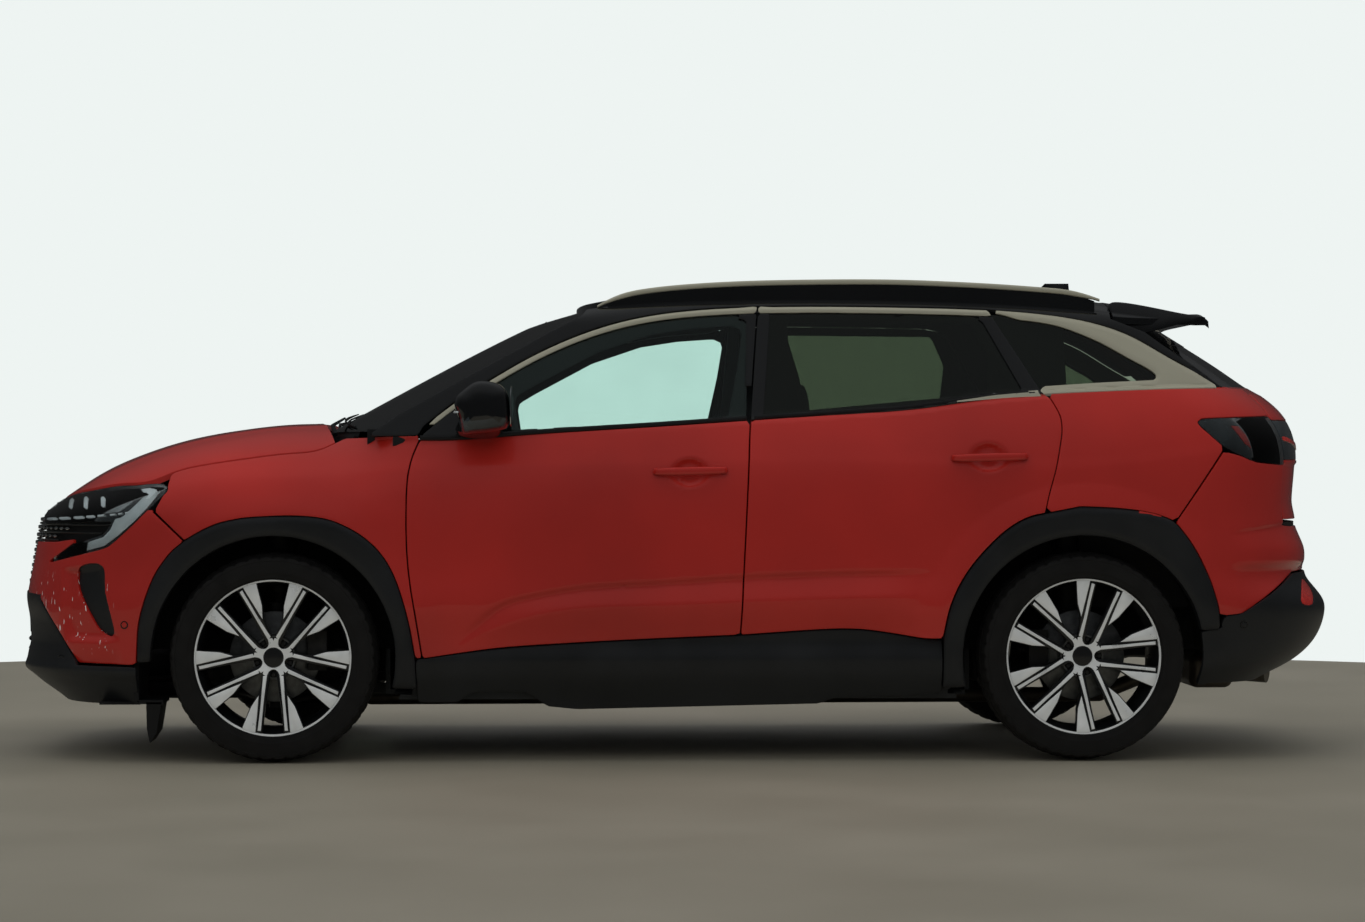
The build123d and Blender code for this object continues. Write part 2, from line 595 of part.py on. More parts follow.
quarter_outline = (REAR_SHUT + REAR_ARCH_BACK[::-1][:4]
                   + [(1619, 792), (1777, 1020), (1775, 1044), (1713, 1098), (1697, 1119), (1713, 1130),
                      (1960, 1142), (2011, 1142), (2030, 1225), (1800, 1234)]
                   + [(x, z - 8) for x, z in sample(strip_z, 1740, 1070, 12)])
quarter = wrap(False, 22, 118, 700, 1226, 44, columns=41)
quarter = without(within(quarter, prism(quarter_outline, grow=-0.3)),
                  block(1000, 2300, -700, 700, 600, 1300))
quarter_upper = side_slab(1000, 1760, 1215, 1520, 30, columns=12, rows=12)
quarter_upper = within(
    quarter_upper,
    prism([(1033, 1497)] + [(x, z - 0.6) for x, z in sample(strip_z, 1060, 1731, 14)]
          + [(1740, 1240), (1700, 1226.5), (1208, 1226.5)]))
quarter_upper = without(quarter_upper, prism(QUARTER_GLASS))
keep("quarter_panels", *pair(biggest(quarter)), *pair(biggest(quarter_upper)))
quarter_pane = side_slab(1050, 1600, lambda x: belt_z(x) + 8, 1490, GLASS_DEPTH, inset=8)
keep("quarter_glasses", *pair(biggest(within(quarter_pane, prism(QUARTER_GLASS, grow=-0.6)))))

# ---------------------------------------------------------------- cladding
rear_band = ([(850, 240)] + REAR_ARCH_FRONT[::-1] + REAR_ARCH_BACK[::-1]
             + CIRCLE(NOMINAL_REAR_AXLE, ARCH_RADIUS, 12, 195, 21) + [(906, 240)])
flank = lambda x0, x1: side_slab(x0, x1, 180, 860, 40, inset=-9)
claddings = [*pair(biggest(within(flank(-1830, -860), prism(front_band, grow=-0.3)))),
             *pair(biggest(within(flank(840, 1790), prism(rear_band, grow=-0.3))))]
sill_band = RED_EDGE + [(850, 219), (715, 207), (496, 201), (443, 182), (-356, 165), (-453, 175),
                        (-524, 227), (-703, 223), (-750, 189), (-880, 189)]
sill = within(side_slab(-890, 860, 150, 440, 100, inset=-6), prism(sill_band, grow=-0.4))
sill = without(sill, block(-950, 900, -790.4, 0, 100, 500))
keep("lower_claddings", *claddings, *pair(biggest(sill)))


def liner(axle, inner_y):
    """Wheel house: a half drum closed on its inner side."""
    length, middle = 825 - inner_y, -(825 + inner_y) / 2
    drum = Pos(axle, middle, AXLE_Z) * Rot(90, 0, 0) * Cylinder(430, length)
    drum -= Pos(axle, middle - LINER_WALL, AXLE_Z) * Rot(90, 0, 0) * Cylinder(430 - LINER_WALL, length)
    drum -= Pos(axle, middle, AXLE_Z - 470) * Box(1000, 600, 960)
    return drum


keep("wheel_liners", *pair(liner(FRONT_AXLE_X, 470)), *pair(liner(REAR_AXLE_X, 556.7)))

# ---------------------------------------------------------------- nose
bumper = wrap(True, -74, 74, 180, 872, BUMPER_WALL, columns=61, rows=21)
lamp_prism = lambda grow: prism(lamp_zone, y1=-520, grow=grow)
arch_cut = prism(FRONT_ARCH[:9] + [(-1100, 900), (-1100, 0), (-1800, 0)], y1=1200)
bumper = without(
    bumper, arch_cut, prism([(-1742, 1000), (-1742, 822), (-1641, 728), (-1000, 728), (-1000, 1000)], y1=1200),
    bonnet_room, lamp_prism(0.3), lamp_prism(0.3).mirror(Plane.XZ))
bumper -= block(-2400, -1980, -500, 500, 560, 880)
bumper -= block(-2400, -1980, -420, 420, 250, 420)
for side in (-1, 1):
    bumper -= Pos(*at(-1960, side * 850, 540)) * Rot(0, 12, 0) * Box(34, 220, 190)
keep("front_bumper", biggest(bumper))
grille = within(wrap(True, -26, 26, 540, 866, 12, inset=10, columns=25, rows=13),
                block(-2400, -2000, -499.5, 499.5, 560.5, 870))
vents = []
for z in np.arange(590, 850, 40):
    for y in np.arange(-450, 451, 75):
        vents.append(block(-2400, -2000, y - 30, y + 30, z - 13, z + 13))
for vent in vents:
    grille -= vent
lower_grille = within(wrap(True, -24, 24, 240, 430, 12, inset=8, columns=21, rows=9),
                      block(-2400, -2000, -419.5, 419.5, 250.5, 419.5))
for z in (275, 315, 355, 395):
    lower_grille -= block(-2400, -2000, -400, 400, z - 12, z + 12)
keep("front_grille", biggest(grille - bonnet_room), biggest(lower_grille))
lamp = within(wrap(True, 20, 84, 640, 926, 44, columns=41, rows=15), lamp_prism(-0.3))
lamp = without(lamp, prism([(x, z - SHUT_GAP) for x, z in sample(BONNET_SIDE, -2300, -1680, 16)]
                           + [(-1680, 1200), (-2300, 1200)]), bonnet_room)
keep("headlamps", *pair(biggest(lamp)))

hinge_x, _, hinge_z = at(BONNET_HINGE[0], 0, BONNET_HINGE[1])
for side in (-1, 1):
    y = side * BONNET_HINGE_Y * WIDTH / NOMINAL_WIDTH
    arm = block(BONNET_HINGE[0] - 80, BONNET_HINGE[0], y - 5, y + 5, BONNET_HINGE[1] - 10,
                BONNET_HINGE[1] + 8)
    arm += block(BONNET_HINGE[0] - 150, BONNET_HINGE[0] - 76, y - 5, y + 5, BONNET_HINGE[1] - 10, 1046)
    arm = arm + Pos(hinge_x, y, hinge_z) * Rot(90, 0, 0) * Cylinder(13, 10)
    bonnet = bonnet + (arm - Pos(hinge_x, y, hinge_z) * Rot(90, 0, 0) * Cylinder(6.3, 60))
keep("bonnet", biggest(bonnet))
brackets = []
for side in (-1, 1):
    y = side * BONNET_HINGE_Y * WIDTH / NOMINAL_WIDTH
    pin = Pos(hinge_x, y, hinge_z) * Rot(90, 0, 0) * Cylinder(6, 40)
    post = (Pos(hinge_x, y - side * 16, (hinge_z + float(Z(990.4)) + 12) / 2)
            * Box(30, 8, hinge_z + 12 - float(Z(990.4))))
    brackets.append(pin + post)
fixed_hinges += brackets

keep("cowl_panel", block(-1164.6, -984, -690, 690, 980.4, 990) + block(-1164.6, -1150, -690, 690, 930, 985))

# ---------------------------------------------------------------- glass and roof
glass_grid = []
for z in np.linspace(1090, 1496, 17):
    half = float(glass_y(-700)) - TUMBLEHOME * (z - 1100) - 61.2
    glass_grid.append([(one(screen_x, v * half, z), v * half, z) for v in np.linspace(-1, 1, 21)])
keep("windscreen", extrude(skin(glass_grid), amount=6, dir=(1, 0, 0)))

rail_top = curve((-295, 1508), (-218, 1549), (-117, 1572), (52, 1589), (254, 1599), (456, 1603),
                 (726, 1602), (929, 1595), (1064, 1589), (1233, 1577), (1334, 1564), (1419, 1538))
path = [at(x, -585, rail_top(x) - 11) for x in np.linspace(-240, 1400, 14)]
bar = sweep(Plane(origin=path[0], z_dir=Vector(*path[1]) - Vector(*path[0])) * Circle(11),
            path=Spline(*path))
for x in (-225, 580, 1385):
    bar += block(x - 45, x + 45, -594, -576, one(roof_surface, x, 585) - 14, rail_top(x) - 11)
for name in ("roof_panel", "roof_sides"):
    bar -= shifted(name, 0, 0.3)
keep("roof_rails", *pair(biggest(bar)))
fin = prism([(1250, 1556), (1313, 1618), (1390, 1618), (1397, 1536), (1250, 1550)], y0=-12, y1=12)
keep("antenna_fin", biggest(fin - shifted("roof_panel", 0, 0.3)))

# ---------------------------------------------------------------- tail
tail_bumper = wrap(False, -76, 76, 250, 1020, BUMPER_WALL, columns=61, rows=25)
tail_bumper -= prism(REAR_ARCH_BACK[:7] + [(1304, 842), (1304, 0), (1770, 0)], y1=1200)
tail_bumper -= prism([(1619, 791), (1779, 1022), (1000, 1200), (1000, 700)], y1=1200)
for lamp_line in (prism(TAIL_LAMP, grow=0.3), prism(TAIL_LAMP, grow=0.3).mirror(Plane.XZ)):
    tail_bumper -= lamp_line
tail_bumper -= block(1500, 2400, -698, 698, 784, 1300)
for side in (-1, 1):
    tail_bumper -= block(1850, 2300, side * 430, side * 580, 200, 312)
keep("rear_bumper", biggest(tail_bumper))
lamp = within(wrap(False, 20, 72, 960, 1150, 40, columns=31, rows=11), prism(TAIL_LAMP, grow=-0.3))
keep("tail_lamps", *pair(biggest(without(lamp, block(1500, 2400, -698, 698, 900, 1200)))))
gate_lamp = within(wrap(False, 13.5, 50.5, 979, 1137, 27.5, columns=21, rows=11),
                   block(1800, 2400, -689.8, -380, 990, 1130))


def gate_half(z):
    return np.interp(z, (1140, 1180, 1235, 1330, 1400), (690, 664, 622, 578, 548))


def gate_grid(z0, z1, rows=21):
    return [[(one(rear_x, v * float(gate_half(z)), z), v * float(gate_half(z)), z)
             for v in np.linspace(-1, 1, 25)] for z in np.linspace(z0, z1, rows)]


gate = extrude(skin(gate_grid(792, 1225)), amount=TAILGATE_DEPTH, dir=(-1, 0, 0))
gate_upper = extrude(skin(gate_grid(1222, 1405)), amount=TAILGATE_DEPTH, dir=(-1, 0, 0))
window_hole = block(1400, 2200, -520, 520, 1246, 1378)
gate = gate + (gate_upper - window_hole)
header_grid = [[(x, y, one(roof_surface, x, y) - 20) for y in np.linspace(-560, 560, 15)]
               for x in np.linspace(TAILGATE_START, 1700, 9)]
gate += extrude(skin(header_grid), amount=26, dir=(0, 0, -1))
gate += block(1640, 1700, -540, 540, 1386, 1436)
for side in SIDES:
    eye = Pos(gate_x, side * gate_y, gate_z) * Rot(90, 0, 0) * Cylinder(TAILGATE_EYE, 20)
    arm = block(TAILGATE_HINGE[0], 1480, side * TAILGATE_HINGE_Y - 10, side * TAILGATE_HINGE_Y + 10, 1500,
                1517)
    gate += eye + arm - (Pos(gate_x, side * gate_y, gate_z) * Rot(90, 0, 0)
                         * Cylinder(HINGE_PIN_RADIUS - 1 + HINGE_PIN_CLEARANCE, 76))
    fixed_hinges.append(Pos(gate_x, side * gate_y, gate_z) * Rot(90, 0, 0)
                        * Cylinder(HINGE_PIN_RADIUS - 1, 70))
lamp_room = within(wrap(False, 13.5, 50.5, 979, 1137, 34, inset=-6, columns=21, rows=11),
                   block(1800, 2400, -690.6, -379.4, 989.4, 1130.6))
gate = without(gate, lamp_room, lamp_room.mirror(Plane.XZ))
keep("tailgate", biggest(gate))
keep("tailgate_lamps", *pair(biggest(gate_lamp)))
pane_grid = [[(one(rear_x, y, z) - 6, y, z) for y in np.linspace(-519.5, 519.5, 17)]
             for z in np.linspace(1246.5, 1377.5, 9)]
keep("rear_window", extrude(skin(pane_grid), amount=5, dir=(-1, 0, 0)))
spoiler_grid = [[(x, y, one(roof_surface, x, y)) for y in np.linspace(-560, 560, 15)]
                for x in np.linspace(TAILGATE_START, 1768, 13)]
spoiler = extrude(skin(spoiler_grid), amount=19, dir=(0, 0, -1))
for side in (-1, 1):
    spoiler -= block(1400, 1490, side * TAILGATE_HINGE_Y - 12, side * TAILGATE_HINGE_Y + 12, 1490, 1517.5)
keep("tailgate_spoiler", biggest(spoiler))


# ---------------------------------------------------------------- floor, bulkheads
floor = block(-1000, 960, -745.6, 745.6, 200, 216)
floor += block(-1000, -984, -700, 700, 216, 980)
floor += block(960, 976, -540, 540, 216, 480)
floor += block(960, 2040, -550, 550, 464, 480)
for side in (-1, 1):
    floor += block(-900, 880, side * 729, side * 745.6, 200, 330)
    floor += block(1200, 2040, side * 541, side * 556, 464, 760)
floor += block(-984, 540, -120, 120, 216, 300)
floor += block(2024, 2040, -550, 550, 464, 770)
for axle, inner in ((NOMINAL_FRONT_AXLE, 469.5), (NOMINAL_REAR_AXLE, 556.5)):
    for side in (-1, 1):
        room = Pos(*at(axle, side * (inner + 300), NOMINAL_AXLE_Z)) * Rot(90, 0, 0) * Cylinder(430.5, 600)
        floor -= room
keep("floor_pan", floor)

# ---------------------------------------------------------------- cabin
def outline_block(points, y0, y1, radius):
    body = prism(points, y0=y0, y1=y1)
    return fillet(body.edges().filter_by(Axis.Y), radius)


dash = outline_block([(-983.6, 1020), (-780, 1036), (-672, 985), (-650, 800), (-720, 690), (-983.6, 690)],
                     -680, 680, 24)
wheel_centre = at(-560, -370, 945)
SHAFT = Vector(np.cos(np.radians(25)), 0, np.sin(np.radians(25)))
shaft_end = tuple(Vector(*wheel_centre) - SHAFT * 110)
socket = rod(tuple(Vector(*wheel_centre) - SHAFT * 104), tuple(Vector(*wheel_centre) - SHAFT * 190), 34)
dash = (dash + socket) - rod(wheel_centre, tuple(Vector(*wheel_centre) - SHAFT * 150), 14.6)
keep("dashboard", biggest(dash))
tilt = Plane(origin=wheel_centre, z_dir=SHAFT)
steering = tilt * Torus(172, 14) + tilt * Cylinder(55, 34)
for a in (0, 180, 270):
    steering += tilt * (Rot(0, 0, a + 90) * Pos(105, 0, 0) * Box(130, 30, 14))
steering += rod(wheel_centre, tuple(Vector(*wheel_centre) - SHAFT * 140), 14)
keep("steering_wheel", biggest(steering))
keep("centre_console", outline_block([(-648, 300.4), (-648, 700), (-560, 690), (-420, 560), (230, 600),
                                      (250, 300.4)], -105, 105, 20))


def front_seat():
    base = block(-250, 120, -560, -190, 216.6, 400)
    cushion = outline_block([(-330, 400), (-345, 500), (-300, 525), (170, 485), (190, 400)], -620, -130, 24)
    back = outline_block([(120, 470), (230, 430), (330, 560), (400, 1000), (380, 1070), (300, 1080),
                          (220, 800)], -610, -140, 24)
    head = outline_block([(330, 1100), (345, 1250), (420, 1255), (440, 1120)], -500, -250, 24)
    stem = block(360, 380, -440, -425, 1040, 1130) + block(360, 380, -325, -310, 1040, 1130)
    return base + cushion + back + head + stem


keep("front_seats", *pair(biggest(front_seat())))
bench = outline_block([(520, 340), (505, 480), (550, 520), (935, 486), (950, 350)], -552, 552, 24)
bench += block(560, 878, -500, 500, 216.4, 345)
bench += outline_block([(900, 484), (1010, 486), (1180, 1060), (1150, 1100), (1080, 1090), (930, 560)],
                       -552, 552, 20)
for y in (-380, 0, 380):
    bench += outline_block([(1105, 1085), (1130, 1220), (1190, 1215), (1175, 1080)], y - 115, y + 115, 20)
keep("rear_bench", biggest(bench))

# ---------------------------------------------------------------- under the body
keep("engine_block", block(-1680, -1180, -320, 330, 232.4, 860))
keep("engine_undertray", block(-2000, -1150, -395, 395, 184, 191.6))
keep("fuel_tank", fillet(block(977, 1165, -470, 470, 240, 463.6).edges(), 30))
pipe = rod(at(-1161.8, 0, 260), at(-1070, 0, 160), 24) + rod(at(-1070, 0, 160), at(1500, 0, 165), 26)
pipe += Pos(*at(-1070, 0, 160)) * Sphere(26) + rod(at(1500, 0, 165), at(1760, 0, 270), 26)
pipe += Pos(*at(1500, 0, 165)) * Sphere(26)
pipe += fillet(block(1740, 1890, -480, 480, 215, 335).edges(), 30)
for side in (-1, 1):
    pipe += rod(at(1885, side * 440, 275), at(2000, side * 500, 268), 34)
keep("exhaust", biggest(pipe))


def wiper(y0, y1, z0, z1):
    pts = [at(one(screen_x, y, z) - 15, y, z) for y, z in zip(np.linspace(y0, y1, 7),
                                                              np.linspace(z0, z1, 7))]
    return sweep(Plane(origin=pts[0], z_dir=Vector(*pts[1]) - Vector(*pts[0])) * Circle(6),
                 path=Spline(*pts))


keep("front_wipers", wiper(-560, 20, 1110, 1150), wiper(40, 600, 1112, 1140))

# ---------------------------------------------------------------- wheels
def wheel_parts(first_angle):
    """Left wheel about the origin, outer face towards -Y: tyre and rim with brake disc."""
    half = TYRE_WIDTH / 2
    seat, r = RIM_RADIUS - 15, TYRE_RADIUS
    outer = [(seat + 0.4, 91), (RIM_RADIUS + 1, 91), (RIM_RADIUS + 4, half - 12), (r - 50, half),
             (r - 20, half - 5), (r - 6, half - 17), (r, half - 42)]
    inner = [(seat + 0.4, 79), (RIM_RADIUS, 79), (RIM_RADIUS + 6, half - 24), (r - 50, half - 12),
             (r - 24, half - 18), (r - 14, half - 28), (r - 12, half - 50)]
    ring = outer + [(a, -b) for a, b in outer[::-1]] + [(a, -b) for a, b in inner] + inner[::-1]
    tyre = revolve(Plane.XY * make_face(Polyline(*[(a, b) for a, b in ring], close=True)), axis=Axis.Y)
    w = RIM_WIDTH / 2
    rim = [(RIM_RADIUS, w), (RIM_RADIUS, 92.5), (seat, 91.5), (seat, 62), (seat - 12, 55),
           (seat - 12, -55), (seat, -62), (seat, -91.5), (RIM_RADIUS, -92.5), (RIM_RADIUS, -w),
           (seat - 8, -w), (seat - 8, -66), (seat - 20, -58), (seat - 20, 58), (seat - 8, 66),
           (seat - 8, w)]
    wheel = revolve(Plane.XY * make_face(Polyline(*rim, close=True)), axis=Axis.Y)
    face = -w + 14
    hub = Pos(0, face + 28, 0) * Rot(90, 0, 0) * Cylinder(76, 56)
    wheel += hub
    for k in range(5):
        for lean in (-1, 1):
            bar = Rot(0, -first_angle - 72 * k, 0) * Pos(0, face + 14, lean * 38) * Rot(0, -lean * 6, 0) \
                * Pos(140, 0, 0) * Box(192, 24, 15)
            wheel += bar
            wedge = (Rot(0, -first_angle - 72 * k, 0) * Rot(0, -lean * 19, 0)
                     * Pos(195, face + 20, lean * 8) * Box(90, 22, 34))
            wheel += wedge
    disc = Pos(0, -2 + 12, 0) * Rot(90, 0, 0) * Cylinder(DISC_RADIUS, 24)
    hat = Pos(0, -30, 0) * Rot(90, 0, 0) * Cylinder(72, 64)
    wheel += disc + hat
    wheel -= Pos(0, 10, 0) * Rot(90, 0, 0) * Cylinder(HUB_BORE_RADIUS, 90)
    for k in range(BOLT_COUNT):
        a = np.radians(first_angle + 36 + 360 / BOLT_COUNT * k)
        wheel -= Pos(BOLT_CIRCLE / 2 * np.cos(a), face + 10, BOLT_CIRCLE / 2 * np.sin(a)) * Rot(90, 0, 0) \
            * Cylinder(BOLT_HOLE_RADIUS, 60)
    return tyre, biggest(wheel)


half_track = TRACK / 2
for row, axle, first in (("front", FRONT_AXLE_X, 270), ("rear", REAR_AXLE_X, 0)):
    tyre, wheel = wheel_parts(first)
    place = Pos(axle, -half_track, AXLE_Z)
    for piece, shape in (("tyre", tyre), ("rim", wheel)):
        left, right = pair(place * shape)
        keep(f"{piece}_{row}_left", left)
        keep(f"{piece}_{row}_right", right)


def hub_carrier(axle, side_of_disc):
    """Upright, spindle and brake caliper of a left wheel."""
    y = -half_track
    spindle = Pos(axle, y + 8, AXLE_Z) * Rot(90, 0, 0) * Cylinder(HUB_BORE_RADIUS - 0.6, 76)
    upright = Pos(axle, y + 46, AXLE_Z) * Rot(90, 0, 0) * Cylinder(62, 32)
    caliper = Pos(axle + side_of_disc * 140, y + 10, AXLE_Z + 20) * Box(62, 66, 130)
    caliper -= Pos(axle, y + 10, AXLE_Z) * Rot(90, 0, 0) * Cylinder(DISC_RADIUS + 6, 36)
    link = Pos(axle + side_of_disc * 90, y + 43, AXLE_Z + 10) * Box(110, 16, 60)
    return spindle + upright + caliper + link


kingpin_y = -half_track + KINGPIN_INSET
UPPER_JOINT, LOWER_JOINT = AXLE_Z + 150, AXLE_Z - 145
knuckle = hub_carrier(FRONT_AXLE_X, 1)
knuckle += rod((FRONT_AXLE_X, kingpin_y, LOWER_JOINT), (FRONT_AXLE_X, kingpin_y, UPPER_JOINT), 17)
knuckle += Pos(FRONT_AXLE_X, kingpin_y - 8, AXLE_Z) * Box(50, 40, 150)
left, right = pair(biggest(knuckle))
keep("knuckle_left", left)
keep("knuckle_right", right)


def front_arms(side):
    """Lower wishbone, upper link and spring strut of one wheel."""
    x, y = FRONT_AXLE_X, -side * kingpin_y
    low, top, strut_y = LOWER_JOINT - 14, UPPER_JOINT + 14, y - side * 132
    arms = Pos(x, y, low) * Cylinder(24, 24)
    for reach in (-150, 0, 170):
        arms += rod((x, y, low), (x + reach, side * 398, low + 22), 11)
    arms += rod((x, strut_y, low - 4), (x, strut_y, AXLE_Z + 424.0), 22)
    arms += rod((x, strut_y, AXLE_Z + 210), (x, strut_y, AXLE_Z + 412), 40)
    return arms + rod((x, y, top), (x, strut_y, top), 12) + Pos(x, y, top) * Cylinder(22, 24)


subframe = block(-1540, -1140, -420, 420, 192, 232) - block(-1500, -1190, -380, 380, 180, 240)
for side in (-1, 1):
    subframe += block(-1371, -1331, side * 376, side * 416, 193, 231)
    subframe += block(-1145, -1000.4, side * 300, side * 360, 200, 230)
subframe -= block(-1200, -1130, -60, 60, 180, 240)
for side in SIDES:
    subframe = subframe + front_arms(side)
keep("front_suspension", subframe)

rear = hub_carrier(REAR_AXLE_X, -1)
rear += rod((REAR_AXLE_X - 20, -half_track + 70, AXLE_Z - 20), at(1000, -610, 260), 30)
rear += Pos(REAR_AXLE_X, -half_track + 66, AXLE_Z) * Rot(90, 0, 0) * Cylinder(50, 30)
rear += rod(at(1205, -640, 300), at(1205, 0, 300), 28)
rear += rod((REAR_AXLE_X - 20, -612, AXLE_Z - 60), (REAR_AXLE_X - 20, -612, AXLE_Z + 422.9), 20)
rear += rod((REAR_AXLE_X - 20, -612, 480), (REAR_AXLE_X - 20, -612, AXLE_Z + 410), 43)
rear += rod((REAR_AXLE_X - 20, -612, AXLE_Z - 40), (REAR_AXLE_X - 20, -half_track + 66, AXLE_Z - 20), 24)
keep("rear_suspension", rear + rear.mirror(Plane.XZ))
keep("body_hinges", *fixed_hinges)

# ---------------------------------------------------------------- files
os.makedirs("parts", exist_ok=True)
for name, shape in PARTS.items():
    export_step(shape, f"parts/{name}.step")
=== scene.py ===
"""Compact sport utility vehicle: painted panels, glass, lamps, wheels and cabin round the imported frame."""
import math
import bpy
import numpy as np
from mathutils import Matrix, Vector


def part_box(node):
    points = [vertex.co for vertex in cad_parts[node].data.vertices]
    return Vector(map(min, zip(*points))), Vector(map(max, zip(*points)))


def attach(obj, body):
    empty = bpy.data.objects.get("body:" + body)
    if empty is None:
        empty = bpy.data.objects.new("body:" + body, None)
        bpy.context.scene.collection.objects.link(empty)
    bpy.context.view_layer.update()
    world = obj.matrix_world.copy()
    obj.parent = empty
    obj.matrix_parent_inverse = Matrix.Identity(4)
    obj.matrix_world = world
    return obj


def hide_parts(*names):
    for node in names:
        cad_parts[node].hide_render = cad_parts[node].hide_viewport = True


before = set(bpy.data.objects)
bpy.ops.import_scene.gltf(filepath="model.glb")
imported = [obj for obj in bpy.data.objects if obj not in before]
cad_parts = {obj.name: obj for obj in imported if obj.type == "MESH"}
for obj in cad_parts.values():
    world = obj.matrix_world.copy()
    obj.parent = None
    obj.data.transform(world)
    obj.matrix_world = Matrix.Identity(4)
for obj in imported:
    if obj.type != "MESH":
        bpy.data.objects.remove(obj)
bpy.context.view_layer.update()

bl_info = {
    "name": "Compact sport utility vehicle",
    "version": (1, 0, 0),
    "blender": (4, 5, 0),
    "location": "View3D > Sidebar > Vehicle",
    "description": "Builds the visible pieces of a compact sport utility vehicle round its frame",
    "category": "Add Mesh",
}

MM = 0.001
LEFT, RIGHT = -1, 1
SIDE_NAMES = {LEFT: "left", RIGHT: "right"}


def centre_of(node):
    """Middle of a node's box, in millimetres."""
    low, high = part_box(node)
    return (low + high) / 2 / MM


def size_of(node):
    """Size of a node's box, in metres."""
    low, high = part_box(node)
    return high - low


FRONT_AXLE = centre_of("tyre_front_left")
REAR_AXLE = centre_of("tyre_rear_left")
AXLE_Z = FRONT_AXLE.z
TYRE_RADIUS = size_of("tyre_front_left").z / 2 / MM
TYRE_HALF_WIDTH = size_of("tyre_front_left").y / 2 / MM
RIM_RADIUS = size_of("rim_front_left").z / 2 / MM


# ---------------------------------------------------------------- body lines, millimetres
def curve(*points):
    """Natural cubic spline through (a, b) points, straight beyond its ends."""
    a, b = (np.array(c, float) for c in zip(*points))
    h, n = np.diff(a), len(a)
    m, r = np.eye(n), np.zeros(n)
    for i in range(1, n - 1):
        m[i, i - 1:i + 2] = h[i - 1], 2 * (h[i - 1] + h[i]), h[i]
        r[i] = 6 * ((b[i + 1] - b[i]) / h[i] - (b[i] - b[i - 1]) / h[i - 1])
    k = np.linalg.solve(m, r)

    def value(t):
        t = np.asarray(t, float)
        c = np.clip(t, a[0], a[-1])
        i = np.clip(np.searchsorted(a, c) - 1, 0, n - 2)
        d, e = a[i + 1] - c, c - a[i]
        y = ((k[i] * d**3 + k[i + 1] * e**3) / (6 * h[i])
             + (b[i] / h[i] - k[i] * h[i] / 6) * d + (b[i + 1] / h[i] - k[i + 1] * h[i] / 6) * e)
        first = (b[1] - b[0]) / h[0] - k[1] * h[0] / 6
        last = (b[-1] - b[-2]) / h[-1] + k[-2] * h[-1] / 6
        return y + np.where(t < a[0], (t - a[0]) * first, 0) + np.where(t > a[-1], (t - a[-1]) * last, 0)

    return value


nose_x = curve((180, -2120), (285, -2222), (400, -2238), (520, -2240), (640, -2226), (760, -2206),
               (860, -2172), (920, -2130))
tail_x = curve((250, 2020), (330, 2150), (450, 2232), (520, 2228), (600, 2170), (680, 2166), (760, 2140),
               (850, 2128), (980, 2140), (1110, 2122), (1170, 2082), (1228, 2012), (1300, 1900))
bonnet_z = curve((-2230, 820), (-2170, 880), (-2100, 928), (-1980, 1000), (-1850, 1040), (-1700, 1070),
                 (-1500, 1098), (-1300, 1117), (-1150, 1128), (-1050, 1190), (-950, 1420), (-850, 1800),
                 (-700, 2000), (2300, 2000))
belt_z = curve((-2300, 1040), (-1128, 1085), (-877, 1060), (-564, 1074), (-118, 1103), (218, 1126),
               (553, 1148), (776, 1165), (1000, 1196), (1188, 1212), (1391, 1222), (1625, 1231),
               (1800, 1235), (2300, 1235))
waist_y = curve((-2255, 850), (-1900, 880), (-1351, 897), (-900, 890), (0, 890), (900, 894), (1316, 903),
                (1700, 893), (2000, 868), (2255, 840))
shoulder = curve((0, 0.93), (40, 0.948), (90, 0.967), (140, 0.98), (250, 0.995), (400, 1.0), (900, 1.0))
lower_side = curve((180, 0.935), (260, 0.962), (340, 0.98), (420, 0.985), (500, 0.997), (600, 0.996),
                   (760, 1.0), (1300, 1.0))
windscreen_x = curve((1040, -1290), (1102, -1180), (1240, -930), (1370, -685), (1470, -480), (1560, -270))
rear_glass_x = curve((1180, 2090), (1228, 2012), (1312, 1890), (1392, 1765), (1470, 1640), (1560, 1490))
glass_y = curve((-1100, 800), (-900, 808), (-400, 816), (200, 818), (700, 813), (1200, 795), (1600, 764),
                (1900, 735))
roof_line = curve((-480, 1486), (-386, 1512), (-295, 1533), (-180, 1555), (0, 1575), (254, 1587),
                  (456, 1591), (726, 1589), (929, 1583), (1064, 1577), (1233, 1564), (1334, 1553),
                  (1444, 1538), (1625, 1508), (1800, 1475))
strip_z = curve((-860, 1105), (-776, 1172), (-639, 1262), (-538, 1322), (-405, 1388), (-211, 1456),
                (10, 1494), (254, 1508), (720, 1508), (1054, 1498), (1254, 1480), (1407, 1450), (1524, 1405),
                (1642, 1336), (1731, 1286), (1807, 1236))
NOSE_LENGTH, TAIL_LENGTH, PLAN_POWER, END_POWER = 640.0, 470.0, 3.2, 2.4
SHOULDER_START, SECTION_POWER, TOP_POWER = 780.0, 4.8, 2.2
SCREEN_LENGTH, REAR_GLASS_LENGTH, GLASS_POWER, TUMBLEHOME = 330.0, 330.0, 2.6, 0.42
ROOF_START, ROOF_POWER, ROOF_TOP_POWER = 1450.0, 5.0, 2.3


def roof_z(x):
    """Height of the roof's middle line."""
    return np.maximum(roof_line(x), 1486)


def lower_terms(x, z):
    """Full half width of the lower body, and what its rounding over the top leaves of it."""
    width = waist_y(x) * lower_side(z) * shoulder(np.clip(belt_z(x) - z, 0, 900))
    top = np.clip((z - SHOULDER_START) / (bonnet_z(x) - SHOULDER_START), 0, 1)
    return width, (1 - top**TOP_POWER) ** (PLAN_POWER / SECTION_POWER)


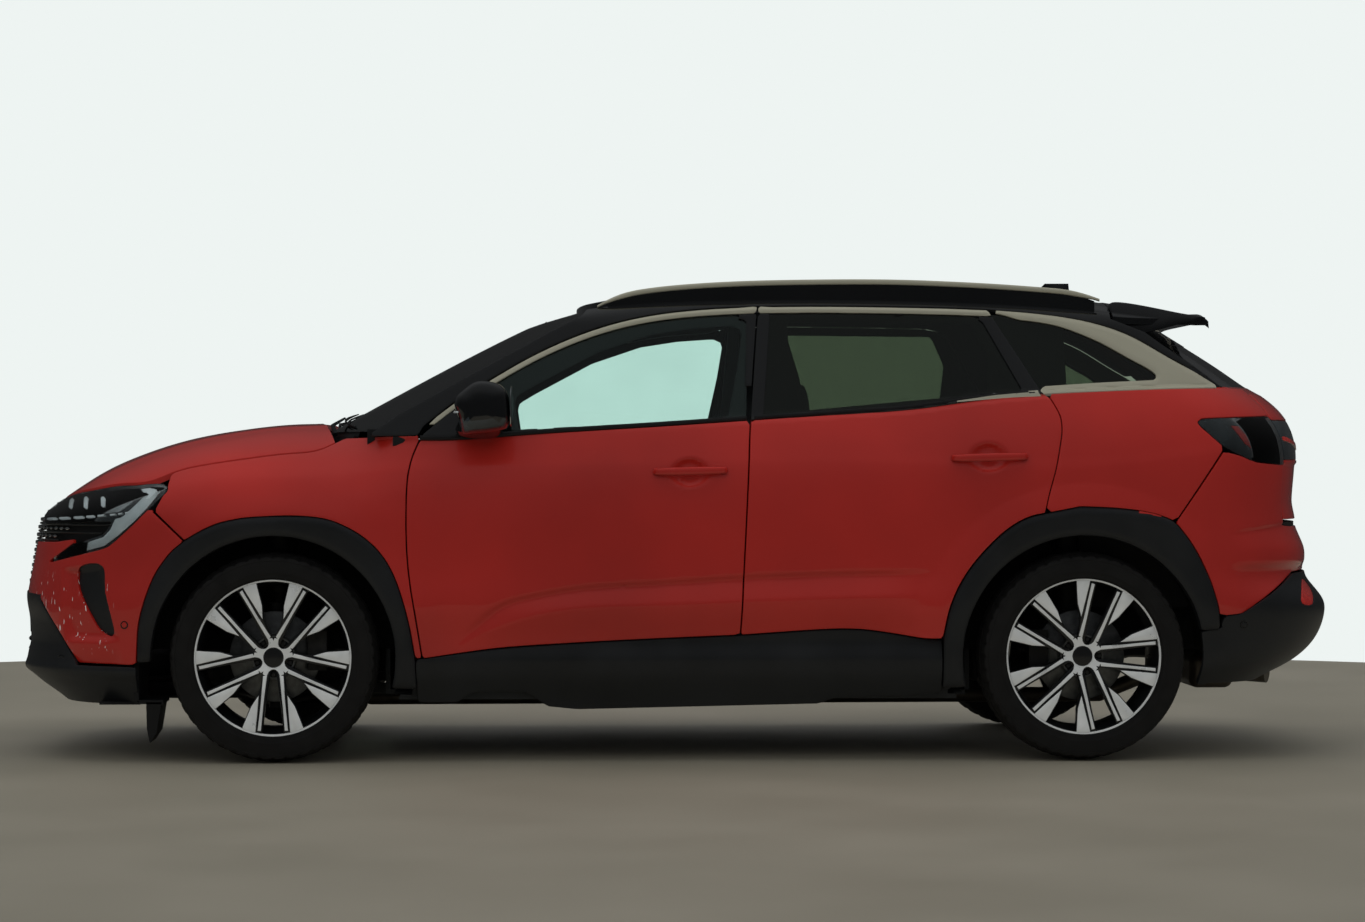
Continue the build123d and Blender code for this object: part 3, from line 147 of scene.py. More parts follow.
def upper_terms(x, z):
    """The same for the glasshouse."""
    width = glass_y(x) - TUMBLEHOME * (z - 1100)
    top = np.clip((z - ROOF_START) / (roof_z(x) - ROOF_START), 0, 1)
    return width, (1 - top**ROOF_TOP_POWER) ** (GLASS_POWER / ROOF_POWER)


def end_terms(x, z):
    """What the rounding of the nose and the tail takes from the body's width."""
    return (np.clip(1 - (x - nose_x(z)) / NOSE_LENGTH, 0, 1) ** END_POWER
            + np.clip(1 - (tail_x(z) - x) / TAIL_LENGTH, 0, 1) ** END_POWER)


def lower_y(x, z):
    """Half width of the lower body at a station and height."""
    width, room = lower_terms(x, z)
    return width * np.clip(room - end_terms(x, z), 1e-9, None) ** (1 / PLAN_POWER)


def side_y(x, z):
    """Half width over the doors: the body below the belt line, the tapering glasshouse above it."""
    t = np.clip((z - belt_z(x)) / 24 + 0.5, 0, 1)
    t = t * t * (3 - 2 * t)
    return lower_y(x, np.minimum(z, belt_z(x) + 20)) * (1 - t) + (glass_y(x) - TUMBLEHOME * (z - 1100)) * t


def roof_side_y(x, z):
    """Half width of the glasshouse side, rounding in to the roof."""
    top = np.clip((z - ROOF_START) / (roof_z(x) - ROOF_START), 0, 0.999)
    return (glass_y(x) - TUMBLEHOME * (z - 1100)) * (1 - top**ROOF_TOP_POWER) ** (1 / ROOF_POWER)


def end_x(y, z, terms, tip, length, power, plan, sign):
    """Station of the front (sign -1) or rear (+1) face at a half width and height."""
    x = tip(z) - sign * length * 0.2
    for _ in range(12):
        width, room = terms(x, z)
        left = np.clip(room - (np.abs(y) / width) ** plan, 0, 1)
        x = tip(z) - sign * length * (1 - left ** (1 / power))
    return x


def screen_x(y, z):
    """Station of the windscreen."""
    return end_x(y, z, upper_terms, windscreen_x, SCREEN_LENGTH, 2, GLASS_POWER, -1)


def rear_x(y, z):
    """Station of the tailgate: the tail below the rear window, its glass above."""
    low = end_x(y, z, lower_terms, tail_x, TAIL_LENGTH, END_POWER, PLAN_POWER, 1)
    high = end_x(y, z, upper_terms, rear_glass_x, REAR_GLASS_LENGTH, 2, GLASS_POWER, 1)
    t = np.clip((z - 1228) / 30 + 0.5, 0, 1)
    return low * (1 - t) + high * t


def top_z(x, y, half_width, low, high):
    """Height at which a section is as wide as |y|, by halving."""
    low, high = np.full(np.shape(x), low, float), high(x) - 0.01
    for _ in range(34):
        mid = (low + high) / 2
        wide = half_width(x, mid) > np.maximum(np.abs(y), 2.0)
        low, high = np.where(wide, mid, low), np.where(wide, high, mid)
    return low


def bonnet_top(x, y):
    """Height of the bonnet at a station and half width."""
    return top_z(x, y, lower_y, SHOULDER_START, bonnet_z)


def roof_surface(x, y):
    """Height of the roof at a station and half width."""
    return top_z(x, y, roof_side_y, ROOF_START, roof_z)


def circle(x, r, a0, a1, n=25):
    """Points round a wheel centre in side view, angles in degrees."""
    return [(x + r * math.cos(a), AXLE_Z + r * math.sin(a)) for a in np.radians(np.linspace(a0, a1, n))]


def sample(line, x0, x1, count):
    """Points of a line at even stations."""
    return [(float(x), float(line(x))) for x in np.linspace(x0, x1, count)]


# outlines in side view, millimetres: (station, height)
FRONT_SHUT = [(-860, 1100), (-873, 1062), (-893, 1015), (-902, 986), (-911, 940), (-915, 880), (-916, 778),
              (-914, 700), (-909, 636), (-900, 565), (-888, 494), (-864, 346)]
RED_EDGE = [(-864, 340), (-624, 373), (-374, 390), (-121, 403), (187, 416), (445, 433), (572, 434),
            (685, 420), (786, 404), (849, 403)]
PILLAR_SHUT = [(182, 416), (189, 539), (208, 937), (218, 1126), (252, 1512)]
REAR_SHUT = [(1029, 1500), (1189, 1234), (1213, 1196), (1235, 1155), (1244, 1125), (1245, 1091), (1241, 1060),
             (1223, 966), (1199, 880), (1185, 818)]
REAR_ARCH_FRONT = [(1185, 818), (1140, 808), (1099, 790), (1066, 769), (1033, 742), (993, 702), (957, 661),
                   (926, 619), (900, 575), (881, 532), (867, 489), (850, 404)]
REAR_ARCH_BACK = [(1770, 433), (1767, 481), (1762, 512), (1754, 541), (1740, 585), (1722, 628), (1697, 678),
                  (1668, 725), (1641, 760), (1614, 790), (1569, 810), (1517, 823), (1464, 831), (1410, 836),
                  (1303, 841)]
FRONT_ARCH = [(-1800, 325), (-1795, 427), (-1787, 476), (-1774, 524), (-1757, 573), (-1736, 620),
              (-1709, 661), (-1678, 698), (-1630, 736), (-1583, 763), (-1534, 785), (-1482, 798),
              (-1428, 806), (-1332, 811), (-1270, 811), (-1208, 806), (-1158, 795), (-1111, 775),
              (-1066, 749), (-1025, 716), (-993, 680), (-967, 639), (-946, 592), (-929, 542), (-913, 484),
              (-900, 425), (-886, 343)]
BONNET_SIDE = curve((-2133, 868), (-2088, 870), (-2052, 882), (-1979, 897), (-1857, 916), (-1759, 924),
                    (-1682, 954), (-1585, 978), (-1440, 1000), (-1295, 1017), (-1198, 1032), (-1149, 1056),
                    (-1100, 1080))
LAMP_LOWER = [(-1696, 901), (-1700, 890), (-1769, 822), (-1808, 783), (-1857, 739), (-1880, 720),
              (-1906, 704), (-1979, 685), (-2052, 667), (-2108, 653)]
TAIL_LAMP = [(1699, 1118), (1706, 1126), (1725, 1131), (1960, 1140), (2160, 1142), (2170, 975), (2039, 975),
             (1904, 987), (1841, 1010), (1777, 1044), (1715, 1098), (1703, 1108)]
QUARTER_GLASS = [(1040, 1470), (1140, 1464), (1228, 1452), (1298, 1433), (1403, 1389), (1497, 1336),
                 (1556, 1304), (1583, 1285), (1588, 1277), (1586, 1268), (1579, 1263), (1403, 1254),
                 (1204, 1241), (1180, 1240)]


# ---------------------------------------------------------------- outlines and regions
def flow(points, step=14.0, closed=False):
    """A smooth line through the points, at about one point per step."""
    p = np.array(points, float)
    ends = (p[-1:], p[:2]) if closed else (2 * p[:1] - p[1:2], 2 * p[-1:] - p[-2:-1])
    q = np.vstack([ends[0], p, ends[1]])
    line = []
    for i in range(1, len(q) - 2):
        a, b, c, d = q[i - 1:i + 3]
        count = max(1, int(np.linalg.norm(c - b) / step))
        for t in np.arange(count) / count:
            line.append(0.5 * (2 * b + (c - a) * t + (2 * a - 5 * b + 4 * c - d) * t**2
                               + (3 * b - a - 3 * c + d) * t**3))
    if not closed:
        line.append(p[-1])
    return [tuple(v) for v in line]


def distance_inside(points, outline):
    """Distance of plane points from a closed outline, positive inside it."""
    q, p = points.reshape(-1, 2), np.asarray(outline, float)
    nearest, inside = np.full(len(q), 1e18), np.zeros(len(q), bool)
    for (ax, ay), (bx, by) in zip(p, np.roll(p, -1, 0)):
        dx, dy = bx - ax, by - ay
        t = np.clip(((q[:, 0] - ax) * dx + (q[:, 1] - ay) * dy) / (dx * dx + dy * dy + 1e-12), 0, 1)
        nearest = np.minimum(nearest, (q[:, 0] - ax - t * dx) ** 2 + (q[:, 1] - ay - t * dy) ** 2)
        crossing = (bx - ax) * (q[:, 1] - ay) / (by - ay + 1e-12) + ax
        inside ^= ((ay > q[:, 1]) != (by > q[:, 1])) & (q[:, 0] < crossing)
    return (np.where(inside, 1, -1) * np.sqrt(nearest)).reshape(points.shape[:-1])


def side_region(outline, inset=0.0):
    """Region inside an outline in side view; a region gives a distance, positive inside it."""
    return lambda p: distance_inside(p[..., [0, 2]], outline) - inset


def common(*regions):
    """Region inside all the regions given."""
    return lambda p: np.minimum.reduce([r(p) for r in regions])


def outside(region, gap=0.0):
    """Region outside another one, with a gap to it."""
    return lambda p: -region(p) - gap


def anywhere(p):
    """Region without an edge."""
    return np.full(p.shape[:-1], 1e3)


def box_outline(a0, a1, b0, b1):
    """Rectangle as an outline of four corners."""
    return [(a0, b0), (a1, b0), (a1, b1), (a0, b1)]


# ---------------------------------------------------------------- meshes
def vertex_normals(points, faces):
    """Unit normals of the points, weighted by the areas of their faces."""
    normals = np.zeros_like(points)
    for f in faces:
        p = points[list(f)]
        n = np.zeros(3)
        for i in range(1, len(f) - 1):
            n += np.cross(p[i] - p[0], p[i + 1] - p[0])
        normals[list(f)] += n
    return normals / np.maximum(np.linalg.norm(normals, axis=1), 1e-12)[:, None]


def trimmed(surface, us, vs, region):
    """The part of a surface inside a region: points, faces and each point's distance from the cut."""
    grid_u, grid_v = np.meshgrid(us, vs, indexing="ij")
    step_u, step_v = us[1] - us[0], vs[1] - vs[0]
    points = surface(grid_u, grid_v)
    keep = region(points)
    cell = float(np.median(np.linalg.norm(np.diff(points, axis=0), axis=-1)) +
                 np.median(np.linalg.norm(np.diff(points, axis=1), axis=-1))) / 2
    for _ in range(2):
        near = np.abs(keep) < 0.42 * cell
        if not near.any():
            break
        u, v, k = grid_u[near], grid_v[near], keep[near]
        slope_u = region(surface(u + 0.2 * step_u, v)) - k
        slope_v = region(surface(u, v + 0.2 * step_v)) - k
        size = slope_u**2 + slope_v**2 + 1e-9
        move_u, move_v = -0.2 * k * slope_u / size, -0.2 * k * slope_v / size
        fine = (np.abs(move_u) < 0.55) & (np.abs(move_v) < 0.55)
        u, v = u + np.where(fine, move_u, 0) * step_u, v + np.where(fine, move_v, 0) * step_v
        grid_u[near], grid_v[near] = u, v
        points[near] = surface(u, v)
        keep[near] = np.where(fine, 0.0, k)
    rows, columns = keep.shape
    flat_k, flat_u, flat_v = keep.ravel(), grid_u.ravel(), grid_v.ravel()
    cuts, cut_uv, faces = {}, [], []

    def cut(a, b):
        key = (min(a, b), max(a, b))
        if key not in cuts:
            t = flat_k[key[0]] / (flat_k[key[0]] - flat_k[key[1]])
            cuts[key] = rows * columns + len(cut_uv)
            cut_uv.append((flat_u[key[0]] + t * (flat_u[key[1]] - flat_u[key[0]]),
                           flat_v[key[0]] + t * (flat_v[key[1]] - flat_v[key[0]])))
        return cuts[key]

    corner = np.stack([keep[:-1, :-1], keep[1:, :-1], keep[1:, 1:], keep[:-1, 1:]])
    for i, j in zip(*np.nonzero(corner.max(0) > 0)):
        ring = [i * columns + j, (i + 1) * columns + j, (i + 1) * columns + j + 1, i * columns + j + 1]
        k = [flat_k[r] for r in ring]
        if min(k) >= 0:
            faces.append(tuple(ring))
            continue
        face = []
        for a, b, ka, kb in zip(ring, ring[1:] + ring[:1], k, k[1:] + k[:1]):
            if ka >= 0:
                face.append(a)
            if ka * kb < 0:
                face.append(cut(a, b))
        if len(face) > 2:
            faces.append(tuple(face))
    every = points.reshape(-1, 3)
    if cut_uv:
        extra = np.array(cut_uv)
        every = np.vstack([every, surface(extra[:, 0], extra[:, 1])])
        flat_k = np.concatenate([flat_k, np.zeros(len(extra))])
    used = sorted({i for f in faces for i in f})
    place = {old: new for new, old in enumerate(used)}
    return every[used].copy(), [tuple(place[i] for i in f) for f in faces], np.maximum(flat_k[used], 0)


def rim_edges(faces):
    """Edges that belong to one face, in that face's direction."""
    seen = {}
    for f in faces:
        for a, b in zip(f, f[1:] + f[:1]):
            seen[(a, b)] = True
    return [(a, b) for a, b in seen if (b, a) not in seen]


# how a rolled edge goes: share of its radius outwards and down at each ring before the panel's depth
ROLL = ((0.4, 0.09), (0.75, 0.36), (1.0, 1.0))


def rolled(points, faces, radius, depth, inward=None):
    """A panel with rolled edges and a back: points, faces and the faces' kinds, 0 skin, 1 edge, 2 back."""
    normals = vertex_normals(points, faces)
    edges = rim_edges(faces)
    tangent = np.zeros_like(points)
    for a, b in edges:
        tangent[[a, b]] += (points[b] - points[a]) / max(np.linalg.norm(points[b] - points[a]), 1e-6)
    out = np.cross(tangent, normals)
    rim = sorted({i for e in edges for i in e})
    after = {a: b for a, b in edges}
    before = {b: a for a, b in edges}
    for _ in range(2):
        smoothed = out.copy()
        for i in rim:
            smoothed[i] = 0.5 * out[i] + 0.25 * out[after.get(i, i)] + 0.25 * out[before.get(i, i)]
        out = smoothed
    out /= np.maximum(np.linalg.norm(out, axis=1), 1e-9)[:, None]
    down = -normals if inward is None else np.broadcast_to(np.array(inward, float), normals.shape)
    order = {i: n for n, i in enumerate(rim)}
    rim = np.array(rim)
    every, new_faces, kinds = [points], list(faces), [0] * len(faces)
    previous = {i: i for i in rim}
    count = len(points)
    for reach, drop in (*ROLL, (1.0, depth / radius)):
        way = np.where(drop > 1, down[rim], -normals[rim])
        every.append(points[rim] + out[rim] * radius * reach + way * radius * drop)
        current = {i: count + order[i] for i in order}
        for a, b in edges:
            new_faces.append((previous[b], previous[a], current[a], current[b]))
            kinds.append(1)
        previous, count = current, count + len(rim)
    every.append(points + down * depth)
    new_faces += [tuple(count + i for i in f[::-1]) for f in faces]
    new_faces += [(previous[b], previous[a], count + a, count + b) for a, b in edges]
    kinds += [2] * (len(faces) + len(edges))
    return np.vstack(every), new_faces, kinds


def mesh_piece(name, points, faces, materials, body, kinds=None, side=LEFT, replaces=(), slot=None, sharp=50.0):
    """Mesh objects from millimetre points on a body; {side} in the name makes a piece and its mirror."""
    if "{side}" in name:
        pair = []
        for side, word in SIDE_NAMES.items():
            own = [text.replace("{side}", word) for text in (name, body, *replaces)]
            pair += mesh_piece(own[0], points, faces, materials, own[1], kinds, side, own[2:], slot, sharp)
        return pair
    points = np.array(points, float) * MM
    faces = [tuple(int(i) for i in f) for f in faces]
    if side == RIGHT:
        points[:, 1] *= -1
        faces = [f[::-1] for f in faces]
    mesh = bpy.data.meshes.new(name)
    mesh.from_pydata(points.tolist(), [], faces)
    mesh.validate()
    if isinstance(materials, dict):
        materials = materials[side]
    for key in materials if isinstance(materials, tuple) else (materials,):
        mesh.materials.append(MATERIALS[key])
    if kinds is not None:
        last = len(mesh.materials) - 1
        mesh.polygons.foreach_set("material_index", [min(k, last) for k in kinds])
    mesh.shade_smooth()
    mesh.set_sharp_from_angle(angle=math.radians(sharp))
    made = bpy.data.objects.new(name, mesh)
    bpy.context.scene.collection.objects.link(made)
    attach(made, body)
    if replaces:
        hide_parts(*replaces)
    return [made]


def panel(name, surface, us, vs, region, materials, body, depth=12.0, radius=2.5, crown=None, inward=None,
          centre=(0, 0, 650), **more):
    """A body panel: a surface trimmed to a region, with rolled edges; centre lies on its inner side."""
    points, faces, from_edge = trimmed(surface, np.asarray(us, float), np.asarray(vs, float),
                                       lambda p: region(p) - radius)
    normals = vertex_normals(points, faces)
    if np.sum(normals * (points - np.array(centre))) < 0:
        faces, normals = [f[::-1] for f in faces], -normals
    if crown:
        points = points + normals * crown(from_edge)[:, None]
    points, faces, kinds = rolled(points, faces, radius, depth, inward)
    return mesh_piece(name, points, faces, materials, body, kinds, **more)


def steps(a, b, size):
    """Even steps of about a size from a to b."""
    return np.linspace(a, b, max(2, int(abs(b - a) / size) + 1))


def revolved(profile, count, centre, closed=True, ripple=None):
    """Points and faces of a profile of (radius, outward) turned about a left wheel's axis."""
    profile = np.array(profile, float)
    angles = np.linspace(0, 2 * math.pi, count, endpoint=False)
    rows = len(profile)
    points = []
    for n, a in enumerate(angles):
        r = profile[:, 0] + (ripple(n) if ripple else 0)
        points.append(np.stack([centre[0] + r * math.cos(a), centre[1] - profile[:, 1],
                                centre[2] + r * math.sin(a)], 1))
    faces = []
    for n in range(count):
        m = (n + 1) % count
        for k in range(rows if closed else rows - 1):
            j = (k + 1) % rows
            faces.append((n * rows + k, m * rows + k, m * rows + j, n * rows + j))
    return np.vstack(points), faces


def lofted(sections, closed_ends=True):
    """Points and faces through closed sections that have the same number of points."""
    sections = [np.array(s, float) for s in sections]
    n = len(sections[0])
    points = np.vstack(sections)
    faces = []
    for i in range(len(sections) - 1):
        for j in range(n):
            k = (j + 1) % n
            faces.append((i * n + j, i * n + k, (i + 1) * n + k, (i + 1) * n + j))
    if closed_ends:
        faces.append(tuple(range(n))[::-1])
        last = (len(sections) - 1) * n
        faces.append(tuple(range(last, last + n)))
    return points, faces


def outward(points, faces):
    """Faces turned so that a closed mesh's normals point out of it."""
    volume = 0.0
    for f in faces:
        p = points[list(f)]
        for i in range(1, len(f) - 1):
            volume += np.dot(p[0], np.cross(p[i], p[i + 1]))
    return faces if volume > 0 else [f[::-1] for f in faces]


def tube(path, radius, sides=12):
    """Points and faces of a round bar along a path; radius may be one number or one per point."""
    path = np.array(path, float)
    radii = np.broadcast_to(np.asarray(radius, float), (len(path),))
    rings, up = [], np.array([0.0, 0.0, 1.0])
    for i, p in enumerate(path):
        t = path[min(i + 1, len(path) - 1)] - path[max(i - 1, 0)]
        t /= np.linalg.norm(t)
        a = np.cross(t, up if abs(t @ up) < 0.95 else np.array([0.0, 1.0, 0.0]))
        a /= np.linalg.norm(a)
        b = np.cross(t, a)
        angles = np.linspace(0, 2 * math.pi, sides, endpoint=False)
        rings.append(p + radii[i] * (np.cos(angles)[:, None] * a + np.sin(angles)[:, None] * b))
    points, faces = lofted(rings)
    return points, outward(points, faces)


def slab(outline, low, high, bevel, place):
    """A flat plate with rounded edges from a plane outline; place(a, b, c) gives its points."""
    p = np.array(outline, float)
    turn = np.sum(p[:, 0] * np.roll(p[:, 1], -1) - np.roll(p[:, 0], -1) * p[:, 1])
    if turn < 0:
        p = p[::-1]
    edge = np.roll(p, -1, 0) - p
    edge /= np.maximum(np.linalg.norm(edge, axis=1), 1e-9)[:, None]
    out = np.stack([edge[:, 1], -edge[:, 0]], 1)
    corner = out + np.roll(out, 1, 0)
    corner /= np.clip(1 + np.sum(out * np.roll(out, 1, 0), 1), 0.45, 2)[:, None]
    rings = []
    for inset, height in ((0, low), (0, high - bevel), (bevel * 0.3, high - bevel * 0.3), (bevel, high)):
        q = p - corner * inset
        rings.append(np.array([place(a, b, height) for a, b in q]))
    points, faces = lofted(rings)
    return points, outward(points, faces)


def joined(*meshes):
    """Several (points, faces) as one."""
    points, faces, count = [], [], 0
    for p, f in meshes:
        points.append(np.asarray(p, float))
        faces += [tuple(i + count for i in face) for face in f]
        count += len(p)
    return np.vstack(points), faces


def block(x0, x1, y0, y1, z0, z1, bevel=2.0):
    """A rectangular block with bevelled upper edges, as points and faces."""
    bevel = min(bevel, (z1 - z0) / 2, (x1 - x0) / 3, (y1 - y0) / 3)
    return slab(box_outline(x0, x1, y0, y1), z0, z1, bevel, lambda a, b, c: (a, b, c))


def softened(made, width, segments=2):
    """Bevels the piece's edges, leaving no modifier."""
    bevel = made.modifiers.new("edges", "BEVEL")
    bevel.width, bevel.segments, bevel.limit_method = width * MM, segments, "ANGLE"
    bevel.angle_limit = math.radians(35)
    apply_modifiers(made)
    made.data.set_sharp_from_angle(angle=math.radians(50))


def apply_modifiers(made):
    """Puts what the modifiers make into the mesh."""
    graph = bpy.context.evaluated_depsgraph_get()
    graph.update()
    mesh = bpy.data.meshes.new_from_object(made.evaluated_get(graph), depsgraph=graph)
    made.modifiers.clear()
    made.data = mesh


# ---------------------------------------------------------------- materials
def linear(hex_colour):
    """An sRGB hex colour as linear RGBA."""
    values = [int(hex_colour[i:i + 2], 16) / 255 for i in (1, 3, 5)]
    return tuple(v / 12.92 if v <= 0.04045 else ((v + 0.055) / 1.055) ** 2.4 for v in values) + (1.0,)


def add_node(tree, kind, settings=None, values=None, links=None):
    """A shader node with its settings, socket values and sources."""
    made = tree.nodes.new(kind)
    for key, value in (settings or {}).items():
        setattr(made, key, value)
    for key, value in (values or {}).items():
        made.inputs[key].default_value = value
    for key, source in (links or {}).items():
        tree.links.new(source, made.inputs[key])
    return made


def finish(name, hexes, roughness, pattern_mm, grain_mm=0.0, depth_mm=0.0, shader=None, rough_spread=0.08,
           stretch=(1, 1, 1), kind="noise"):
    """A principled material: its colour wanders between two hexes over pattern_mm, with a grain in relief."""
    made = bpy.data.materials.new(name)
    made.use_nodes = True
    tree = made.node_tree
    tree.nodes.clear()
    place = add_node(tree, "ShaderNodeTexCoord").outputs["Object"]
    place = add_node(tree, "ShaderNodeMapping", None, {"Scale": stretch}, {"Vector": place}).outputs["Vector"]
    wander = add_node(tree, "ShaderNodeTexNoise", None, {"Scale": 1 / (pattern_mm * MM), "Detail": 5.0},
                      {"Vector": place}).outputs["Fac"]
    colour = add_node(tree, "ShaderNodeValToRGB", None, None, {"Fac": wander})
    for element, at, value in zip(colour.color_ramp.elements, (0.3, 0.7), hexes):
        element.position, element.color = at, linear(value)
    rough = add_node(tree, "ShaderNodeMapRange", None,
                     {"To Min": max(0.0, roughness - rough_spread),
                      "To Max": min(1.0, roughness + rough_spread)}, {"Value": wander})
    links = {"Base Color": colour.outputs["Color"], "Roughness": rough.outputs["Result"]}
    if depth_mm:
        if kind == "cells":
            grain = add_node(tree, "ShaderNodeTexVoronoi", None, {"Scale": 1 / (grain_mm * MM)},
                             {"Vector": place}).outputs["Distance"]
        elif kind == "weave":
            yarn = {"Scale": 0.5 / (grain_mm * MM), "Distortion": 0.6}
            waves = [add_node(tree, "ShaderNodeTexWave", {"bands_direction": way}, yarn, {"Vector": place})
                     for way in ("Y", "DIAGONAL")]
            grain = add_node(tree, "ShaderNodeMath", {"operation": "MULTIPLY"}, None,
                             {n: wave.outputs["Fac"] for n, wave in enumerate(waves)}).outputs["Value"]
        else:
            grain = add_node(tree, "ShaderNodeTexNoise", None, {"Scale": 1 / (grain_mm * MM), "Detail": 2.0},
                             {"Vector": place}).outputs["Fac"]
        bump = add_node(tree, "ShaderNodeBump", None, {"Strength": 1.0, "Distance": depth_mm * MM},
                        {"Height": grain})
        links["Normal"] = bump.outputs["Normal"]
    principled = add_node(tree, "ShaderNodeBsdfPrincipled", None, shader or {}, links)
    add_node(tree, "ShaderNodeOutputMaterial", None, None, {"Surface": principled.outputs["BSDF"]})
    return made


def red_pearl_paint(options):
    """Metallic basecoat under clear lacquer: aluminium flakes glint under a smooth mirror-like top coat."""
    made = finish("red_metallic_lacquer", (options.paint_dark, options.paint), 0.36, 900.0, rough_spread=0.02,
                  shader={"Metallic": 0.12, "Coat Weight": 1.0, "Coat Roughness": 0.035, "Coat IOR": 1.42})
    tree = made.node_tree
    shader = next(n for n in tree.nodes if n.type == "BSDF_PRINCIPLED")
    place = add_node(tree, "ShaderNodeTexCoord").outputs["Object"]
    # real flakes are 0.03 mm across; 1.6 mm is the finest that still shows at this distance
    flake = add_node(tree, "ShaderNodeTexVoronoi", None, {"Scale": 1 / (1.6 * MM)}, {"Vector": place})
    tilt = add_node(tree, "ShaderNodeBump", None, {"Strength": 0.08, "Distance": 0.05 * MM},
                    {"Height": flake.outputs["Distance"]})
    tree.links.new(tilt.outputs["Normal"], shader.inputs["Normal"])
    return made


def scratched_red_paint(options):
    """The same lacquer with short white scratches through to the primer, low on the left front corner."""
    made = red_pearl_paint(options)
    made.name = "red_lacquer_scratched"
    tree = made.node_tree
    shader = next(n for n in tree.nodes if n.type == "BSDF_PRINCIPLED")
    colour = shader.inputs["Base Color"].links[0].from_socket
    place = add_node(tree, "ShaderNodeTexCoord").outputs["Object"]
    split = add_node(tree, "ShaderNodeSeparateXYZ", None, None, {"Vector": place})
    thin = add_node(tree, "ShaderNodeMapping", None, {"Scale": (1, 1, 0.16), "Rotation": (0, 0.2, 0)},
                    {"Vector": place})
    marks = add_node(tree, "ShaderNodeTexNoise", None, {"Scale": 1 / (7.0 * MM), "Detail": 1.0},
                     {"Vector": thin.outputs["Vector"]})
    sharp = add_node(tree, "ShaderNodeMapRange", None, {"From Min": 0.69, "From Max": 0.72},
                     {"Value": marks.outputs["Fac"]}).outputs["Result"]
    # the patch that is scratched, in metres, with the width over which the marks fade out
    patch = (("X", -2.15, -1.90, 0.03), ("Z", 0.40, 0.58, 0.05), ("Y", -0.95, -0.55, 0.02))
    for axis, low, high, soft in patch:
        for edge, start in ((low, low - soft), (high, high + soft)):
            fade = add_node(tree, "ShaderNodeMapRange", None, {"From Min": start, "From Max": edge},
                            {"Value": split.outputs[axis]}).outputs["Result"]
            sharp = add_node(tree, "ShaderNodeMath", {"operation": "MULTIPLY"}, None,
                             {0: sharp, 1: fade}).outputs["Value"]
    mixed = add_node(tree, "ShaderNodeMix", {"data_type": "RGBA"}, {"B": linear("#e8dcd8")})
    tree.links.new(sharp, mixed.inputs["Factor"])
    tree.links.new(colour, mixed.inputs["A"])
    tree.links.new(mixed.outputs["Result"], shader.inputs["Base Color"])
    return made


def clear_pane(name, hex_colour, see_through, roughness=0.015):
    """Sheet glass: mostly lets the view through, tinted, with a mirror-like face."""
    made = bpy.data.materials.new(name)
    made.use_nodes = True
    tree = made.node_tree
    tree.nodes.clear()
    place = add_node(tree, "ShaderNodeTexCoord").outputs["Object"]
    # rolled glass wanders very slightly in thickness over about 180 mm
    wave = add_node(tree, "ShaderNodeTexNoise", None, {"Scale": 1 / (180.0 * MM)},
                    {"Vector": place}).outputs["Fac"]
    bump = add_node(tree, "ShaderNodeBump", None, {"Strength": 0.05, "Distance": 0.2 * MM}, {"Height": wave})
    shade = add_node(tree, "ShaderNodeValToRGB", None, None, {"Fac": wave})
    tint = linear(hex_colour)
    for element, at, value in zip(shade.color_ramp.elements, (0.2, 0.8), (0.97, 1.0)):
        element.position, element.color = at, tuple(c * value for c in tint[:3]) + (1.0,)
    through = add_node(tree, "ShaderNodeBsdfTransparent", None, None, {"Color": shade.outputs["Color"]})
    face = add_node(tree, "ShaderNodeBsdfPrincipled", None,
                    {"Base Color": linear("#0a0d0c"), "Roughness": roughness, "IOR": 1.52},
                    {"Normal": bump.outputs["Normal"]})
    mixed = add_node(tree, "ShaderNodeMixShader", None, {"Fac": 1 - see_through})
    tree.links.new(through.outputs["BSDF"], mixed.inputs[1])
    tree.links.new(face.outputs["BSDF"], mixed.inputs[2])
    shine = add_node(tree, "ShaderNodeBsdfGlossy", None, {"Color": (1, 1, 1, 1), "Roughness": roughness},
                     {"Normal": bump.outputs["Normal"]})
    edge = add_node(tree, "ShaderNodeFresnel", None, {"IOR": 1.45}, {"Normal": bump.outputs["Normal"]})
    whole = add_node(tree, "ShaderNodeMixShader", None, None, {"Fac": edge.outputs["Fac"]})
    tree.links.new(mixed.outputs["Shader"], whole.inputs[1])
    tree.links.new(shine.outputs["BSDF"], whole.inputs[2])
    add_node(tree, "ShaderNodeOutputMaterial", None, None, {"Surface": whole.outputs["Shader"]})
    return made


MATERIALS = {}


